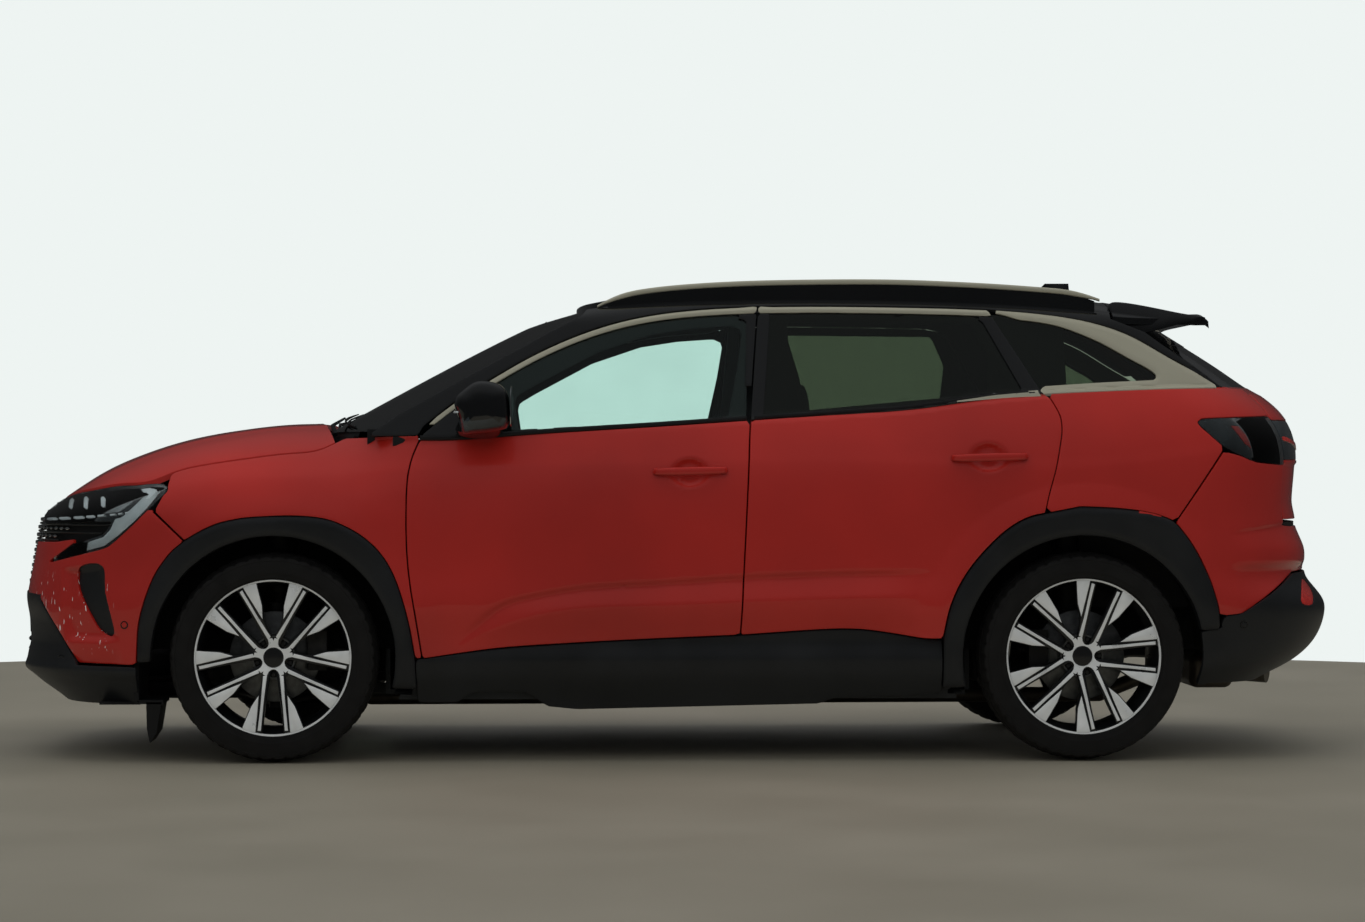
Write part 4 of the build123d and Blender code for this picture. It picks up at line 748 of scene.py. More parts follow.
def make_materials(options):
    """One entry for each finish; the comments say what it gives the eye."""
    m = MATERIALS
    m["paint"] = red_pearl_paint(options)
    m["scratched"] = scratched_red_paint(options)
    # solid black lacquer: deep gloss with hardly any haze
    m["black"] = finish("black_lacquer", ("#08090a", "#0c0d0e"), 0.12, 700.0, rough_spread=0.02,
                        shader={"Coat Weight": 1.0, "Coat Roughness": 0.03})
    # moulded polypropylene: charcoal, satin, fine leather grain about 1.2 mm apart
    m["cladding"] = finish("grained_polypropylene", (options.cladding, "#1a1c1e"), 0.44, 220.0, 1.2, 0.05,
                           kind="cells")
    # ABS moulded smooth and glossy, for grille bars and lamp surrounds
    m["gloss_plastic"] = finish("gloss_moulded_abs", ("#0b0c0d", "#111213"), 0.16, 260.0, 6.0, 0.01,
                                rough_spread=0.04)
    # matt black moulded plastic, for the underside of the body and inside of grilles
    m["matt_plastic"] = finish("matt_moulded_plastic", ("#0c0d0e", "#141516"), 0.62, 160.0, 1.0, 0.06,
                               kind="cells")
    # satin anodised aluminium: champagne grey with a soft sheen along the strip
    m["satin"] = finish("satin_anodised_aluminium", ("#a5a28f", "#b0ad9a"), 0.34, 400.0, 0.8, 0.004,
                        shader={"Metallic": 0.4}, stretch=(0.05, 1, 1))
    # bright chromium inside lamps
    m["chrome"] = finish("chromium_plate", ("#c9ced0", "#d8dcde"), 0.12, 120.0, 5.0, 0.01,
                         shader={"Metallic": 1.0})
    # polycarbonate light guide: milky, pale blue grey
    m["light_guide"] = finish("opal_polycarbonate", ("#c3ccce", "#dde4e5"), 0.22, 90.0, 3.0, 0.03,
                              shader={"Coat Weight": 0.6})
    # reflector shells: pale grey lacquer, half mirror, uneven over a few centimetres
    m["lamp_grey"] = finish("grey_lamp_reflector", ("#8e9496", "#c3c9ca"), 0.25, 34.0, 4.0, 0.05,
                            shader={"Metallic": 0.2})
    # dyed clear acrylic with small optics behind it: deep red with a wet shine
    m["red_lens"] = finish("red_acrylic_lens", ("#a0201c", "#c03028"), 0.12, 60.0, 3.0, 0.08, kind="cells",
                           shader={"Coat Weight": 1.0})
    # dark tinted acrylic: the lamp housings read as near black with a hard gloss
    m["smoked_lens"] = finish("smoked_acrylic_housing", ("#1c2022", "#31373a"), 0.1, 80.0, 4.0, 0.05,
                              shader={"Coat Weight": 1.0})
    # glass: clear with a faint green edge, the rear panes dyed dark, the lamp covers without tint
    m["glass"] = clear_pane("laminated_green_glass", "#f3fefb", 0.985)
    m["screen_glass"] = clear_pane("laminated_windscreen", "#f0fbf8", 0.98)
    m["privacy"] = clear_pane("privacy_glass", "#dfe9da", 0.62)
    m["lens"] = clear_pane("clear_polycarbonate_lens", "#fbfdfd", 0.98)
    # carbon-filled tyre rubber: warm black, dull, with a bloom of dust
    m["rubber"] = finish("vulcanised_rubber", ("#0b0a0a", "#131211"), 0.78, 45.0, 0.9, 0.05, kind="cells")
    # diamond-turned alloy: fine turning lines that run round the wheel
    m["turned"] = finish("diamond_turned_alloy", ("#d6d8d6", "#e8e9e6"), 0.3, 60.0, 0.9, 0.006,
                         shader={"Metallic": 0.25, "Coat Weight": 0.3})
    # black powder coat between the turned faces: even, slightly soft gloss
    m["wheel_black"] = finish("black_powder_coat", ("#0a0b0c", "#121314"), 0.3, 60.0, 1.0, 0.01,
                              shader={"Coat Weight": 0.4})
    # grey cast iron, machined discs and rough castings
    m["disc"] = finish("turned_cast_iron", ("#5d5f60", "#7b7d7d"), 0.36, 25.0, 0.8, 0.02,
                       shader={"Metallic": 0.9})
    m["casting"] = finish("sand_cast_iron", ("#2a2a29", "#3b3936"), 0.66, 24.0, 1.6, 0.25,
                          shader={"Metallic": 0.5})
    m["steel"] = finish("zinc_plated_steel", ("#5b5e5f", "#77797a"), 0.4, 70.0, 2.5, 0.03,
                        shader={"Metallic": 0.85})
    # suspension arms and struts: black stoving enamel over forged steel
    m["enamel"] = finish("black_stoving_enamel", ("#0a0a0b", "#121314"), 0.5, 90.0, 3.0, 0.05)
    # stainless steel browned by heat: dull, with warm patches
    m["exhaust_steel"] = finish("heat_stained_stainless_steel", ("#4c433a", "#6f6a62"), 0.42, 110.0, 3.0, 0.05,
                                shader={"Metallic": 0.9})
    # cathodic dip primer on pressed steel: satin dark grey, with faint orange peel
    m["primer"] = finish("dipped_primer_steel", ("#26292b", "#313537"), 0.5, 120.0, 7.0, 0.05)
    # the body colour on inner faces: one thin coat, less gloss than outside, and a darker red that is painted
    # shade
    m["body_inner"] = finish("lacquered_inner_steel_painted_shade", (options.paint_dark, "#5e0a08"), 0.4, 300.0, 9.0, 0.02,
                             shader={"Coat Weight": 0.5})
    # woven seat cloth: charcoal yarn about 2.4 mm apart, drawn coarse enough to show
    m["cloth"] = finish("woven_polyester_cloth", ("#17181a", "#26282b"), 0.85, 16.0, 2.4, 0.5, kind="weave",
                        shader={"Sheen Weight": 0.35, "Sheen Roughness": 0.5})
    # seat bolsters: embossed artificial leather, dark, fine pebbles, low sheen
    m["bolster"] = finish("grained_artificial_leather", ("#121314", "#1b1c1e"), 0.48, 60.0, 3.0, 0.15,
                          kind="cells")
    # thick grey thread of the visible seams
    m["stitch"] = finish("waxed_polyester_thread", ("#6c6f72", "#85888b"), 0.6, 4.0, 1.0, 0.1)
    # dashboard and door cards: soft foamed skin, near black, hardly any shine
    m["soft_trim"] = finish("slush_moulded_soft_trim", ("#101112", "#18191b"), 0.55, 140.0, 2.0, 0.12,
                            kind="cells")
    # roof lining: knitted grey cloth, quite matt
    m["headliner"] = finish("knitted_headliner", ("#77797a", "#86888a"), 0.95, 20.0, 2.0, 0.2, kind="weave")
    # floor and load space: needle felt, rough and very dark
    m["carpet"] = finish("needle_felt_carpet", ("#0e0f10", "#1a1b1c"), 0.98, 14.0, 3.0, 0.8)
    # switched-off displays: black glass with a clear mirror
    m["screen"] = finish("display_glass", ("#05070a", "#0a0d11"), 0.08, 90.0, 8.0, 0.005,
                         shader={"Coat Weight": 1.0})
    # moulded prism field: red that sparkles in small cells
    m["reflector"] = finish("red_retro_reflector", ("#a01712", "#c02a22"), 0.15, 9.0, 5.0, 0.4, kind="cells",
                            shader={"Coat Weight": 1.0})
    # wheel liners: pressed felt, dull and almost black
    m["liner_felt"] = finish("pressed_felt_liner", ("#0b0c0c", "#151616"), 0.95, 30.0, 4.0, 0.6)
    # blank plate field: pale grey foil on aluminium
    m["plate_white"] = finish("embossed_aluminium_plate", ("#c9cac8", "#d6d7d5"), 0.4, 90.0, 6.0, 0.02)
    # enamel fired on to the edges of the glass
    m["ceramic_black"] = finish("fired_black_border", ("#040505", "#080909"), 0.1, 300.0, 4.0, 0.004,
                                shader={"Coat Weight": 0.8})


# ---------------------------------------------------------------- body surfaces
def ease(t):
    """Smooth step from 0 to 1."""
    t = np.clip(t, 0, 1)
    return t * t * (3 - 2 * t)


SCALLOP_TOP = curve((-760, 398), (-738, 414), (-672, 474), (-607, 523), (-510, 553), (-410, 572), (-120, 596),
                    (182, 615), (709, 631), (900, 633))
SCALLOP_LOW = curve((-760, 372), (-700, 408), (-607, 447), (-510, 479), (-410, 500), (-120, 517), (182, 529),
                    (709, 546), (900, 550))
SHOULDER_LINE = curve((-1690, 905), (-1669, 911), (-1300, 938), (-918, 963), (-400, 978), (50, 986),
                      (700, 984), (1237, 968), (1500, 985), (1700, 1010))
FLARE_RADIUS = 572.0
CURTAIN_POCKET = [(-2050, 632), (-1929, 650), (-1868, 408), (-1900, 398), (-2034, 400), (-2056, 470),
                  (-2053, 558)]


def relief(x, z):
    """Pressed lines of the body side, in millimetres outwards."""
    top, low = SCALLOP_TOP(x), SCALLOP_LOW(x)
    strength = ease((x + 765) / 150) * (1 - ease((x - 600) / 260))
    ledge = np.maximum(top - 15 - low, 20)
    out = strength * (-10 * ease((top - z) / 15) + 15 * np.clip((top - 15 - z) / ledge, 0, 1)
                      - 16 * np.clip((low - z) / 125, 0, 1))
    rise = z - SHOULDER_LINE(x)
    sharp = 3.6 - 1.8 * ease((x + 900) / 900)
    out = out + sharp * np.clip(1 - np.where(rise > 0, rise / 34, -rise / 110), 0, 1)
    reach = np.hypot(x - REAR_AXLE.x, z - AXLE_Z)
    out = out + 9 * np.clip((FLARE_RADIUS - reach) / 76, 0, 1) ** 0.85 * (1 - ease((x - 1690) / 90)) * (z > 200)
    front_reach = np.hypot(x - FRONT_AXLE.x, z - AXLE_Z)
    out = out + 5 * ease((560 - front_reach) / 95)
    tail = ease((x - 1800) / 60)
    out = out - 6 * tail * np.clip((770 + 0.13 * (x - 1818) - 12 - z) / 7, 0, 1) * np.clip((z - 700) / 60, 0, 1)
    out = out - 13 * ease((x - 1795) / 90) * ease((656 - z) / 34)
    return out


def bumper_relief(x, z):
    """Pocket round the air curtain and the tuck under the bumper's corner."""
    pocket = distance_inside(np.stack([x, z], -1), CURTAIN_POCKET)
    return -15 * ease(pocket / 26 + 0.25) - 10 * ease((398 - z) / 70) * ease((-1830 - x) / 60)


def body_side(extra=0.0, shape=relief, width=side_y):
    """Left body side as a surface of station and height."""
    return lambda x, z: np.stack([x, -(width(x, z) + shape(x, z) + extra), z], -1)


def plain(x, z):
    """No relief."""
    return np.zeros(np.shape(x))


# stations that the nose (True) and the tail (False) are turned round
END_MIDDLE = {True: -1250.0, False: 1400.0}


def body_end(front, extra=0.0, shape=relief):
    """Nose or tail as a surface of angle from the middle line (positive to the left) and height."""
    middle, sign = END_MIDDLE[front], -1 if front else 1

    def surface(angle, z):
        a = np.radians(angle)
        low, high = np.zeros(np.shape(a)), np.full(np.shape(a), 1200.0)
        for _ in range(30):
            mid = (low + high) / 2
            x, y = middle + sign * mid * np.cos(a), mid * np.abs(np.sin(a))
            width, room = lower_terms(x, z)
            inside = ((y / width) ** PLAN_POWER + end_terms(x, z) < room) & (x > nose_x(z)) & (x < tail_x(z))
            low, high = np.where(inside, mid, low), np.where(inside, high, mid)
        x = middle + sign * low * np.cos(a)
        flank = ease((np.abs(np.sin(a)) - 0.35) / 0.3)
        r = low + extra + (shape(x, z) * flank if shape is relief else shape(x, z))
        return np.stack([middle + sign * r * np.cos(a), -r * np.sin(a), z], -1)

    return surface


def bonnet_skin(s, v):
    """Bonnet as a surface of 0-1 along it and -1 to 1 across it."""
    side_x = -2044 + s * 884
    half = lower_y(side_x, BONNET_SIDE(side_x)) - 3.4
    x = side_x - (1 - v * v) * (85 * (1 - s) + 76 * s)
    y = v * half
    z = bonnet_top(x, y)
    # two pressed ridges that run from the windscreen corners towards the lamps
    ridge = np.abs(y) - (560 - 60 * s)
    z = z + 3.5 * np.clip(1 - np.where(ridge > 0, ridge / 40, -ridge / 90), 0, 1) * ease(s / 0.2)
    return np.stack([x, y, z], -1)


def gate_half(z):
    """Half width of the tailgate at a height."""
    return np.interp(z, (780, 1140, 1180, 1235, 1330, 1400), (693, 690, 664, 622, 578, 548))


def gate_skin(extra=0.0):
    """Tailgate as a surface of -1 to 1 across it and height."""
    def surface(v, z):
        y = v * gate_half(z)
        x = rear_x(y, z) + extra
        # number-plate recess between the lamps and a crease under them
        plate = np.minimum(300 - np.abs(y), 72 - np.abs(z - 880))
        x = x - 22 * ease(plate / 14) - 7 * ease((985 - z) / 12) * ease((z - 800) / 60)
        return np.stack([x, y, z], -1)

    return surface


def gate_clear(gap):
    """Region beside the tailgate, clear of it by a gap."""
    return lambda p: np.abs(p[..., 1]) - gate_half(p[..., 2]) - gap


BELOW_BELT = sample(belt_z, -2300, 2300, 90) + [(2300, 100), (-2300, 100)]
ABOVE_BELT = sample(belt_z, -2300, 2300, 90) + [(2300, 1800), (-2300, 1800)]
FRONT_DOOR = flow(RED_EDGE[:5]) + flow(PILLAR_SHUT) + sample(strip_z, 180, -820, 30) + flow(FRONT_SHUT)
REAR_DOOR = (flow(RED_EDGE[4:]) + flow(REAR_ARCH_FRONT[::-1])[1:] + flow(REAR_SHUT[::-1])[1:]
             + sample(strip_z, 980, 300, 20) + flow(PILLAR_SHUT)[::-1])
FRONT_DAYLIGHT = [(-548, 1094), (78, 1128), (147, 1140), (180, 1300), (196, 1410), (190, 1430), (162, 1441),
                  (30, 1432), (-106, 1411), (-285, 1351), (-494, 1240), (-553, 1205), (-560, 1180)]
REAR_DAYLIGHT = [(405, 1158), (857, 1200), (1015, 1222), (1023, 1344), (975, 1441), (965, 1450), (360, 1456),
                 (349, 1440), (352, 1390), (385, 1270)]
FRONT_PANE = ([(-660, float(belt_z(-660)) + 4)] + [(x, z + 4) for x, z in sample(belt_z, -560, 200, 12)]
              + [(212, 1460)] + [(x, z - 30) for x, z in sample(strip_z, 160, -640, 22)])
REAR_PANE = ([(x, z + 4) for x, z in sample(belt_z, 262, 1000, 14)] + [(1130, 1226), (1005, 1462)]
             + [(x, z - 30) for x, z in sample(strip_z, 940, 330, 10)] + [(292, 1474)])
DOORS = {
    "front": dict(outline=FRONT_DOOR, pane=FRONT_PANE, daylight=FRONT_DAYLIGHT, tint="glass",
                  slot="clear_glass", x=(-925, 262), seal=(-872, 206), handle=(-106, 139, 957),
                  cup=(15, 952), rest_shift=10),
    "rear": dict(outline=REAR_DOOR, pane=REAR_PANE, daylight=REAR_DAYLIGHT, tint="privacy",
                 slot="privacy_glass", x=(176, 1252), seal=(232, 1150), handle=(877, 1128, 1002),
                 cup=(1000, 1002), rest_shift=-60),
}
HALF_SHUT = 2.2     # half of the visible gap round an opening panel
LEAF_LOW = curve((905, 1187), (1000, 1195), (1100, 1202.5), (1187, 1206))
LEAF_HIGH = curve((905, 1190), (1000, 1204), (1094, 1218), (1187, 1226))


def handle_cup(x0, z0, half_x=60.0, half_z=48.0, deep=15.0):
    """Hollow behind a door handle, as a relief to add to the body side."""
    def shape(x, z):
        r = np.sqrt(((x - x0) / half_x) ** 2 + ((z - z0) / half_z) ** 2)
        return relief(x, z) - deep * ease((1.06 - r) / 0.42)

    return shape


def above_strip(drop):
    """Outline of what lies above the window strip's upper edge, lowered by a drop."""
    return [(x, z - drop) for x, z in sample(strip_z, -900, 1300, 60)] + [(1300, 1800), (-900, 1800)]


def make_doors():
    """Skins, window frames, strips, panes, black glass borders and seals of the four doors."""
    for row, door in DOORS.items():
        x0, x1 = door["x"]
        name = f"{row}_{{side}}"
        body = f"door_{name}"
        leaf = side_region(door["outline"], HALF_SHUT)
        door_inset = side_region(door["outline"], 14.0)
        skin = body_side(shape=handle_cup(*door["cup"]))
        # the skin's back faces take the inner paint, whose darker red is painted shade
        panel(f"door_skin_{name}", skin, steps(x0, x1, 14), steps(325, 1245, 9),
              common(leaf, side_region(BELOW_BELT, 1.0)), ("paint", "paint", "body_inner"), body,
              depth=50.0, radius=2.2, inward=(0, 1, 0.12), replaces=(body,), slot="red_paint")
        panel(f"window_frame_{name}", body_side(-3.0, plain), steps(x0, x1, 14), steps(1040, 1520, 8),
              common(leaf, side_region(ABOVE_BELT, 0.5), outside(side_region(above_strip(24))),
                     outside(side_region(door["pane"]))),
              "black", body, depth=34.0, radius=1.6, inward=(0, 1, 0), slot="black_paint")
        panel(f"window_strip_{name}", body_side(-1.0, plain), steps(x0, x1, 12), steps(1040, 1520, 3.6),
              common(leaf, side_region(above_strip(23))), "satin", body, depth=9.0, radius=2.0,
              crown=lambda d: 3.0 * ease(d / 9), slot="satin_rail")
        panel(f"window_pane_{name}", body_side(-8.0, plain), steps(x0, x1, 16), steps(1040, 1520, 12),
              common(side_region(door["pane"], -6.0), door_inset), door["tint"], body, depth=4.0, radius=0.8,
              inward=(0, 1, 0), replaces=(f"glass_{name}",), slot=door["slot"])
        panel(f"window_border_{name}", body_side(-13.5, plain), steps(x0, x1, 14), steps(1040, 1520, 9),
              common(side_region(door["pane"], -4.0), door_inset, outside(side_region(door["daylight"]))),
              "ceramic_black", body, depth=18.0, radius=1.2, inward=(0, 1, 0))
        x = np.linspace(*door["seal"], 60)
        z = belt_z(x) + 6
        line = np.stack([x, -(glass_y(x) - TUMBLEHOME * (z - 1100) - 3), z], -1)
        mesh_piece(f"belt_seal_{name}", *tube(line, 9.0, 10), "matt_plastic", body)
        make_handle(name, body, *door["handle"])
        make_door_trim(name, body, door)


def make_handle(name, body, x0, x1, z):
    """Bar handle in body colour: bowed outwards, thin at its ends."""
    sections = []
    for t in np.linspace(0, 1, 29):
        x = x0 + (x1 - x0) * t
        swell = math.sin(math.pi * t) ** 0.35 if 0 < t < 1 else 0.0
        y = -float(side_y(x, z)) - 5 - 24 * swell
        lift = z + 6 * (t - 0.5)
        tall, deep = 7 + 6.5 * swell, 5 + 4 * swell
        angles = np.linspace(0, 2 * math.pi, 20, endpoint=False)
        sections.append([(x, y + deep * np.sign(math.cos(a)) * abs(math.cos(a)) ** 0.7,
                          lift + tall * np.sign(math.sin(a)) * abs(math.sin(a)) ** 0.7) for a in angles])
    points, faces = lofted(sections)
    meshes = [(points, outward(points, faces))]
    for x in (x0 + 10, x1 - 10):
        y = -float(side_y(x, z))
        meshes.append(block(x - 9, x + 9, y - 9, y + 6, z - 9, z + 9, 3))
    mesh_piece(f"handle_grip_{name}", *joined(*meshes), "paint", body, replaces=(f"handle_{name}",),
               slot="red_paint")


def make_door_trim(name, body, door):
    """Inner door card with its armrest and speaker."""
    x0, x1 = door["x"]
    card = common(side_region(door["outline"], 34.0), side_region(BELOW_BELT, 6.0))
    inner = lambda x, z: np.stack([x, -(side_y(x, z) - 58), z], -1)
    points, faces, edge = trimmed(inner, steps(x0, x1, 24), steps(330, 1240, 20), card)
    if vertex_normals(points, faces)[:, 1].mean() < 0:
        faces = [f[::-1] for f in faces]
    points = points + np.array([0, 1, 0]) * (8 * ease(edge / 30))[:, None]
    points, faces, _ = rolled(points, faces, 3.0, 10.0, inward=(0, -1, 0))
    mesh_piece(f"door_card_{name}", points, faces, "soft_trim", body)
    x = (x0 + x1) / 2 + door["rest_shift"]
    y = -float(side_y(x, 760)) + 62
    rest = block(x - 230, x + 250, y, y + 46, 735, 800, 14)
    for piece in mesh_piece(f"door_armrest_{name}", *rest, "bolster", body):
        softened(piece, 10, 3)
    cone = [(78, 0), (78, 6), (70, 9), (62, 7), (0.5, 12)]
    speaker, faces = revolved(cone, 40, (x - 260, y - 2, 470), False)
    mesh_piece(f"door_speaker_{name}", speaker, [f[::-1] for f in faces], "matt_plastic", body)


def make_fenders():
    """Front fenders between the arch, the door, the bonnet and the headlamp."""
    outline = ([(-1738, 826), (-1637, 730)] + flow(FRONT_ARCH[8:]) + [(-862, 343)] + flow(FRONT_SHUT)[::-1]
               + [(-884, 1072)] + sample(BONNET_SIDE, -1128, -1690, 30) + [(-1700, 900)])
    shut_x, shut_z = zip(*FRONT_SHUT[::-1])
    under_bonnet = lambda p: BONNET_SIDE(p[..., 0]) - p[..., 2] - 2.4
    ahead_of_door = lambda p: np.interp(p[..., 2], shut_z, shut_x) - p[..., 0] - HALF_SHUT
    panel("fender_{side}", body_side(), steps(-1760, -850, 10), steps(325, 1105, 9),
          common(side_region(outline, 0.6), outside(side_region(lamp_outline()), 1.2), under_bonnet,
                 ahead_of_door), "paint", "body", depth=12.0, radius=1.8, inward=(0, 1, 0),
          replaces=("front_fenders",), slot="red_paint")


def make_quarters():
    """Rear quarter panels, the satin blades over them and the fixed rear glasses."""
    lower = (flow(REAR_SHUT)[12:] + [(x, z) for x, z in flow(REAR_ARCH_BACK[::-1]) if x < 1618]
             + [(1619, 792), (1779, 1024), (1777, 1044), (1713, 1098), (1697, 1119), (1713, 1131), (1960, 1141),
                (2060, 1142), (2060, 1235)] + sample(belt_z, 1800, 1200, 20))
    beside_gate = lambda p: 1e3 * (p[..., 0] < 1900) + gate_clear(6.0)(p)
    panel("quarter_{side}", body_end(False), steps(10, 122, 1.15), steps(760, 1262, 7.5),
          common(side_region(lower, 0.8), beside_gate, outside(side_region(flow(TAIL_LAMP, 20, True)), 1.0)),
          "paint", "body", depth=14.0, radius=1.8, replaces=("quarter_panels",), slot="red_paint")

    def leaf(x, t):
        low, high = LEAF_LOW(x), LEAF_HIGH(x)
        return body_side(3.0, plain)(x, low + t * (high - low))

    panel("belt_leaf_{side}", leaf, steps(908, 1182, 7), steps(0, 1, 0.2), anywhere,
          "satin", "door_rear_{side}", depth=14.0, radius=1.0, inward=(0, 1, 0))
    # broad satin blade of the rear pillar, from the strip over the doors to the tail
    blade = ([(1030, 1499)] + sample(strip_z, 1060, 1731, 40) + [(1807, 1237)] + sample(belt_z, 1790, 1195, 24)
             + [(1178, 1236)])
    glass = flow(QUARTER_GLASS, 12, True)
    behind_door = lambda p: p[..., 0] - np.interp(p[..., 2], [1234, 1500], [1189, 1029]) - HALF_SHUT
    panel("pillar_blade_{side}", body_side(-2.0, plain), steps(1000, 1820, 8), steps(1195, 1515, 5),
          common(side_region(blade, 0.8), outside(side_region(glass)), behind_door),
          "satin", "body", depth=10.0, radius=2.4, crown=lambda d: 2.5 * ease(d / 12), slot="satin_rail")
    panel("quarter_pane_{side}", body_side(-9.0, plain), steps(1020, 1600, 14), steps(1230, 1480, 12),
          side_region(glass, -7.0), "privacy", "body", depth=4.0, radius=0.8, inward=(0, 1, 0),
          replaces=("quarter_glasses",), slot="privacy_glass")


def make_bonnet():
    """Bonnet with its hinge arms."""
    # the underside takes the inner paint, whose darker red is painted shade
    panel("bonnet_skin", bonnet_skin, steps(0, 1, 1 / 54), steps(-1, 1, 1 / 40), anywhere,
          ("paint", "paint", "body_inner"), "bonnet", depth=20.0, radius=2.6,
          inward=(0, 0, -1), replaces=("bonnet",), slot="red_paint")
    points, faces = block(-1252, -1092, -677, -667, 1008, 1027, 3)
    mesh_piece("bonnet_hinge_arm_{side}", points, faces, "primer", "bonnet")


def bumper_outline():
    """Painted part of the front bumper seen from the side."""
    return ([(-1743, 822), (-1641, 727)] + flow(FRONT_ARCH[:9])[::-1] + [(-1815, 321), (-2001, 324)]
            + flow([(-2001, 324), (-2069, 423), (-2118, 492), (-2150, 540)])[1:]
            + [(-2400, 545), (-2400, 900), (-2100, 900)] + sample(BONNET_SIDE, -2060, -1745, 14))


def lamp_outline():
    """C-shaped headlamp seen from the side."""
    return ([(-2150, 861), (-2110, 862)] + [(x, z - 7) for x, z in sample(BONNET_SIDE, -2088, -1770, 16)]
            + [(-1740, 916), (-1716, 916), (-1700, 907)] + flow(LAMP_LOWER)
            + [(-2112, 656), (-2060, 690), (-2022, 716), (-1960, 733), (-1914, 747), (-1898, 762), (-1884, 792),
               (-1960, 789), (-2060, 784), (-2150, 776)])


GRILLE_HALF = curve((540, 405), (600, 440), (690, 480), (780, 505), (870, 512))


def make_front():
    """Front bumper: painted skin round the mouth, air curtains and black lower part."""
    lamp = lamp_outline()
    mouth = lambda p: np.minimum.reduce([GRILLE_HALF(p[..., 2]) - np.abs(p[..., 1]), p[..., 2] - 556,
                                         -1980 - p[..., 0]])
    lattice = [(-2400, 802), (-1880, 794), (-1896, 764), (-1912, 748), (-2086, 722), (-2400, 716)]
    under_bonnet = lambda p: np.where(p[..., 0] < -2040, 874 - p[..., 2] - 0.1 * np.abs(p[..., 1]) / 9,
                                      BONNET_SIDE(p[..., 0]) - 2.5 - p[..., 2])
    insert = flow([(-1999, 629), (-1968, 651), (-1912, 642), (-1902, 555), (-1874, 425), (-1916, 428),
                   (-1948, 468), (-1997, 565)], 12, True)
    shape = lambda x, z: relief(x, z) + bumper_relief(x, z)
    lattice_band = common(side_region(lattice), lambda p: -1860 - p[..., 0])
    paint = {LEFT: "scratched", RIGHT: "paint"}
    panel("front_bumper_skin_{side}", body_end(True, 0, shape), steps(0, 82, 0.72),
          steps(315, 905, 7), common(side_region(bumper_outline(), 0.6), outside(side_region(lamp), 1.0),
                                     outside(mouth, 1.0), outside(lattice_band, 1.0), under_bonnet,
                                     outside(side_region(insert), 0.5)),
          paint, "body", depth=12.0, radius=1.6, replaces=("front_bumper",), slot="red_paint")
    panel("air_curtain_{side}", body_end(True, -9, shape), steps(20, 70, 0.7), steps(380, 690, 6),
          side_region(insert, -2), "cladding", "body", depth=14.0, radius=2.0)
    # black lower bumper with a lip that stands forward
    lip = lambda x, z: (20 * np.exp(-((z - 296) / 26) ** 2) - 16 * ease((262 - z) / 70)
                        - 10 * ease((z - 330) / 60) * ease((540 - z) / 90))
    low = ([(-1800, 325), (-1798, 186), (-1894, 184), (-2400, 175), (-2400, 556), (-2142, 545)]
           + flow([(-2150, 532), (-2118, 486), (-2069, 417), (-2003, 318)])[1:] + [(-1815, 316)])
    intake = lambda p: np.minimum.reduce([400 - np.abs(p[..., 1]), p[..., 2] - 262, 408 - p[..., 2],
                                          -1980 - p[..., 0]])
    panel("front_bumper_lower_{side}", body_end(True, 1.0, lip), steps(0, 84, 1.1),
          steps(176, 560, 8), common(side_region(low, 0.4), outside(mouth, -2.0), outside(intake, 1.0)),
          "cladding", "body", depth=14.0, radius=2.4, slot="charcoal_plastic")
    make_grille(mouth, lattice_band, intake)


def make_grille(mouth, lattice_band, intake):
    """Dark lattice with bright dashes, a backing and the lower intake's bars."""
    whole = lambda p: np.maximum(mouth(p), lattice_band(p))
    panel("grille_backing_{side}", body_end(True, -34, plain), steps(0, 76, 1.5), steps(548, 880, 14),
          lambda p: whole(p) + 14, "matt_plastic", "body", depth=4.0, radius=1.0,
          replaces=("front_grille",), slot="black_plastic")
    surface = body_end(True, -9, plain)
    bars, dashes = [], []
    pitch_y, pitch_z, radius = 54.0, 26.0, 900
    for z in np.arange(584, 860, pitch_z):
        for k in range(15):
            angle = math.degrees(math.atan2(pitch_y * (k + 0.5), radius))
            p = surface(np.array([angle - 1.15, angle, angle + 1.15]), np.full(3, z))
            if float(whole(p[1:2])[0]) < 16:
                continue
            along, up = p[2] - p[0], np.array([0, 0, 1.0])
            along /= np.linalg.norm(along)
            out = np.cross(along, up)
            diamond = [(-17, 0), (0, -5.5), (17, 0), (0, 5.5)]
            dashes.append(slab(diamond, -3, 6, 2.0, lambda a, b, c: p[1] + along * a + up * b + out * c))
        line = surface(np.linspace(0, 62, 90), np.full(90, z - pitch_z / 2))
        inside = whole(line) > 3
        runs = np.split(np.arange(90), np.nonzero(np.diff(inside.astype(int)))[0] + 1)
        for run in runs:
            if inside[run[0]] and len(run) > 3:
                bars.append(tube(line[run], 3.4, 8))
    mesh_piece("grille_bars_{side}", *joined(*bars), "gloss_plastic", "body")
    mesh_piece("grille_dashes_{side}", *joined(*dashes), "chrome", "body")
    panel("intake_backing_{side}", body_end(True, -30, plain), steps(0, 34, 1.5),
          steps(245, 425, 12), lambda p: intake(p) + 12, "matt_plastic", "body", depth=4.0, radius=1.0)
    bars = []
    for z in (290, 322, 354, 386):
        line = surface(np.linspace(0, 30, 40), np.full(40, float(z)))
        line = line[np.abs(line[:, 1]) < 405]
        bars.append(tube(line, 5.0, 8))
    mesh_piece("intake_bars_{side}", *joined(*bars), "gloss_plastic", "body")


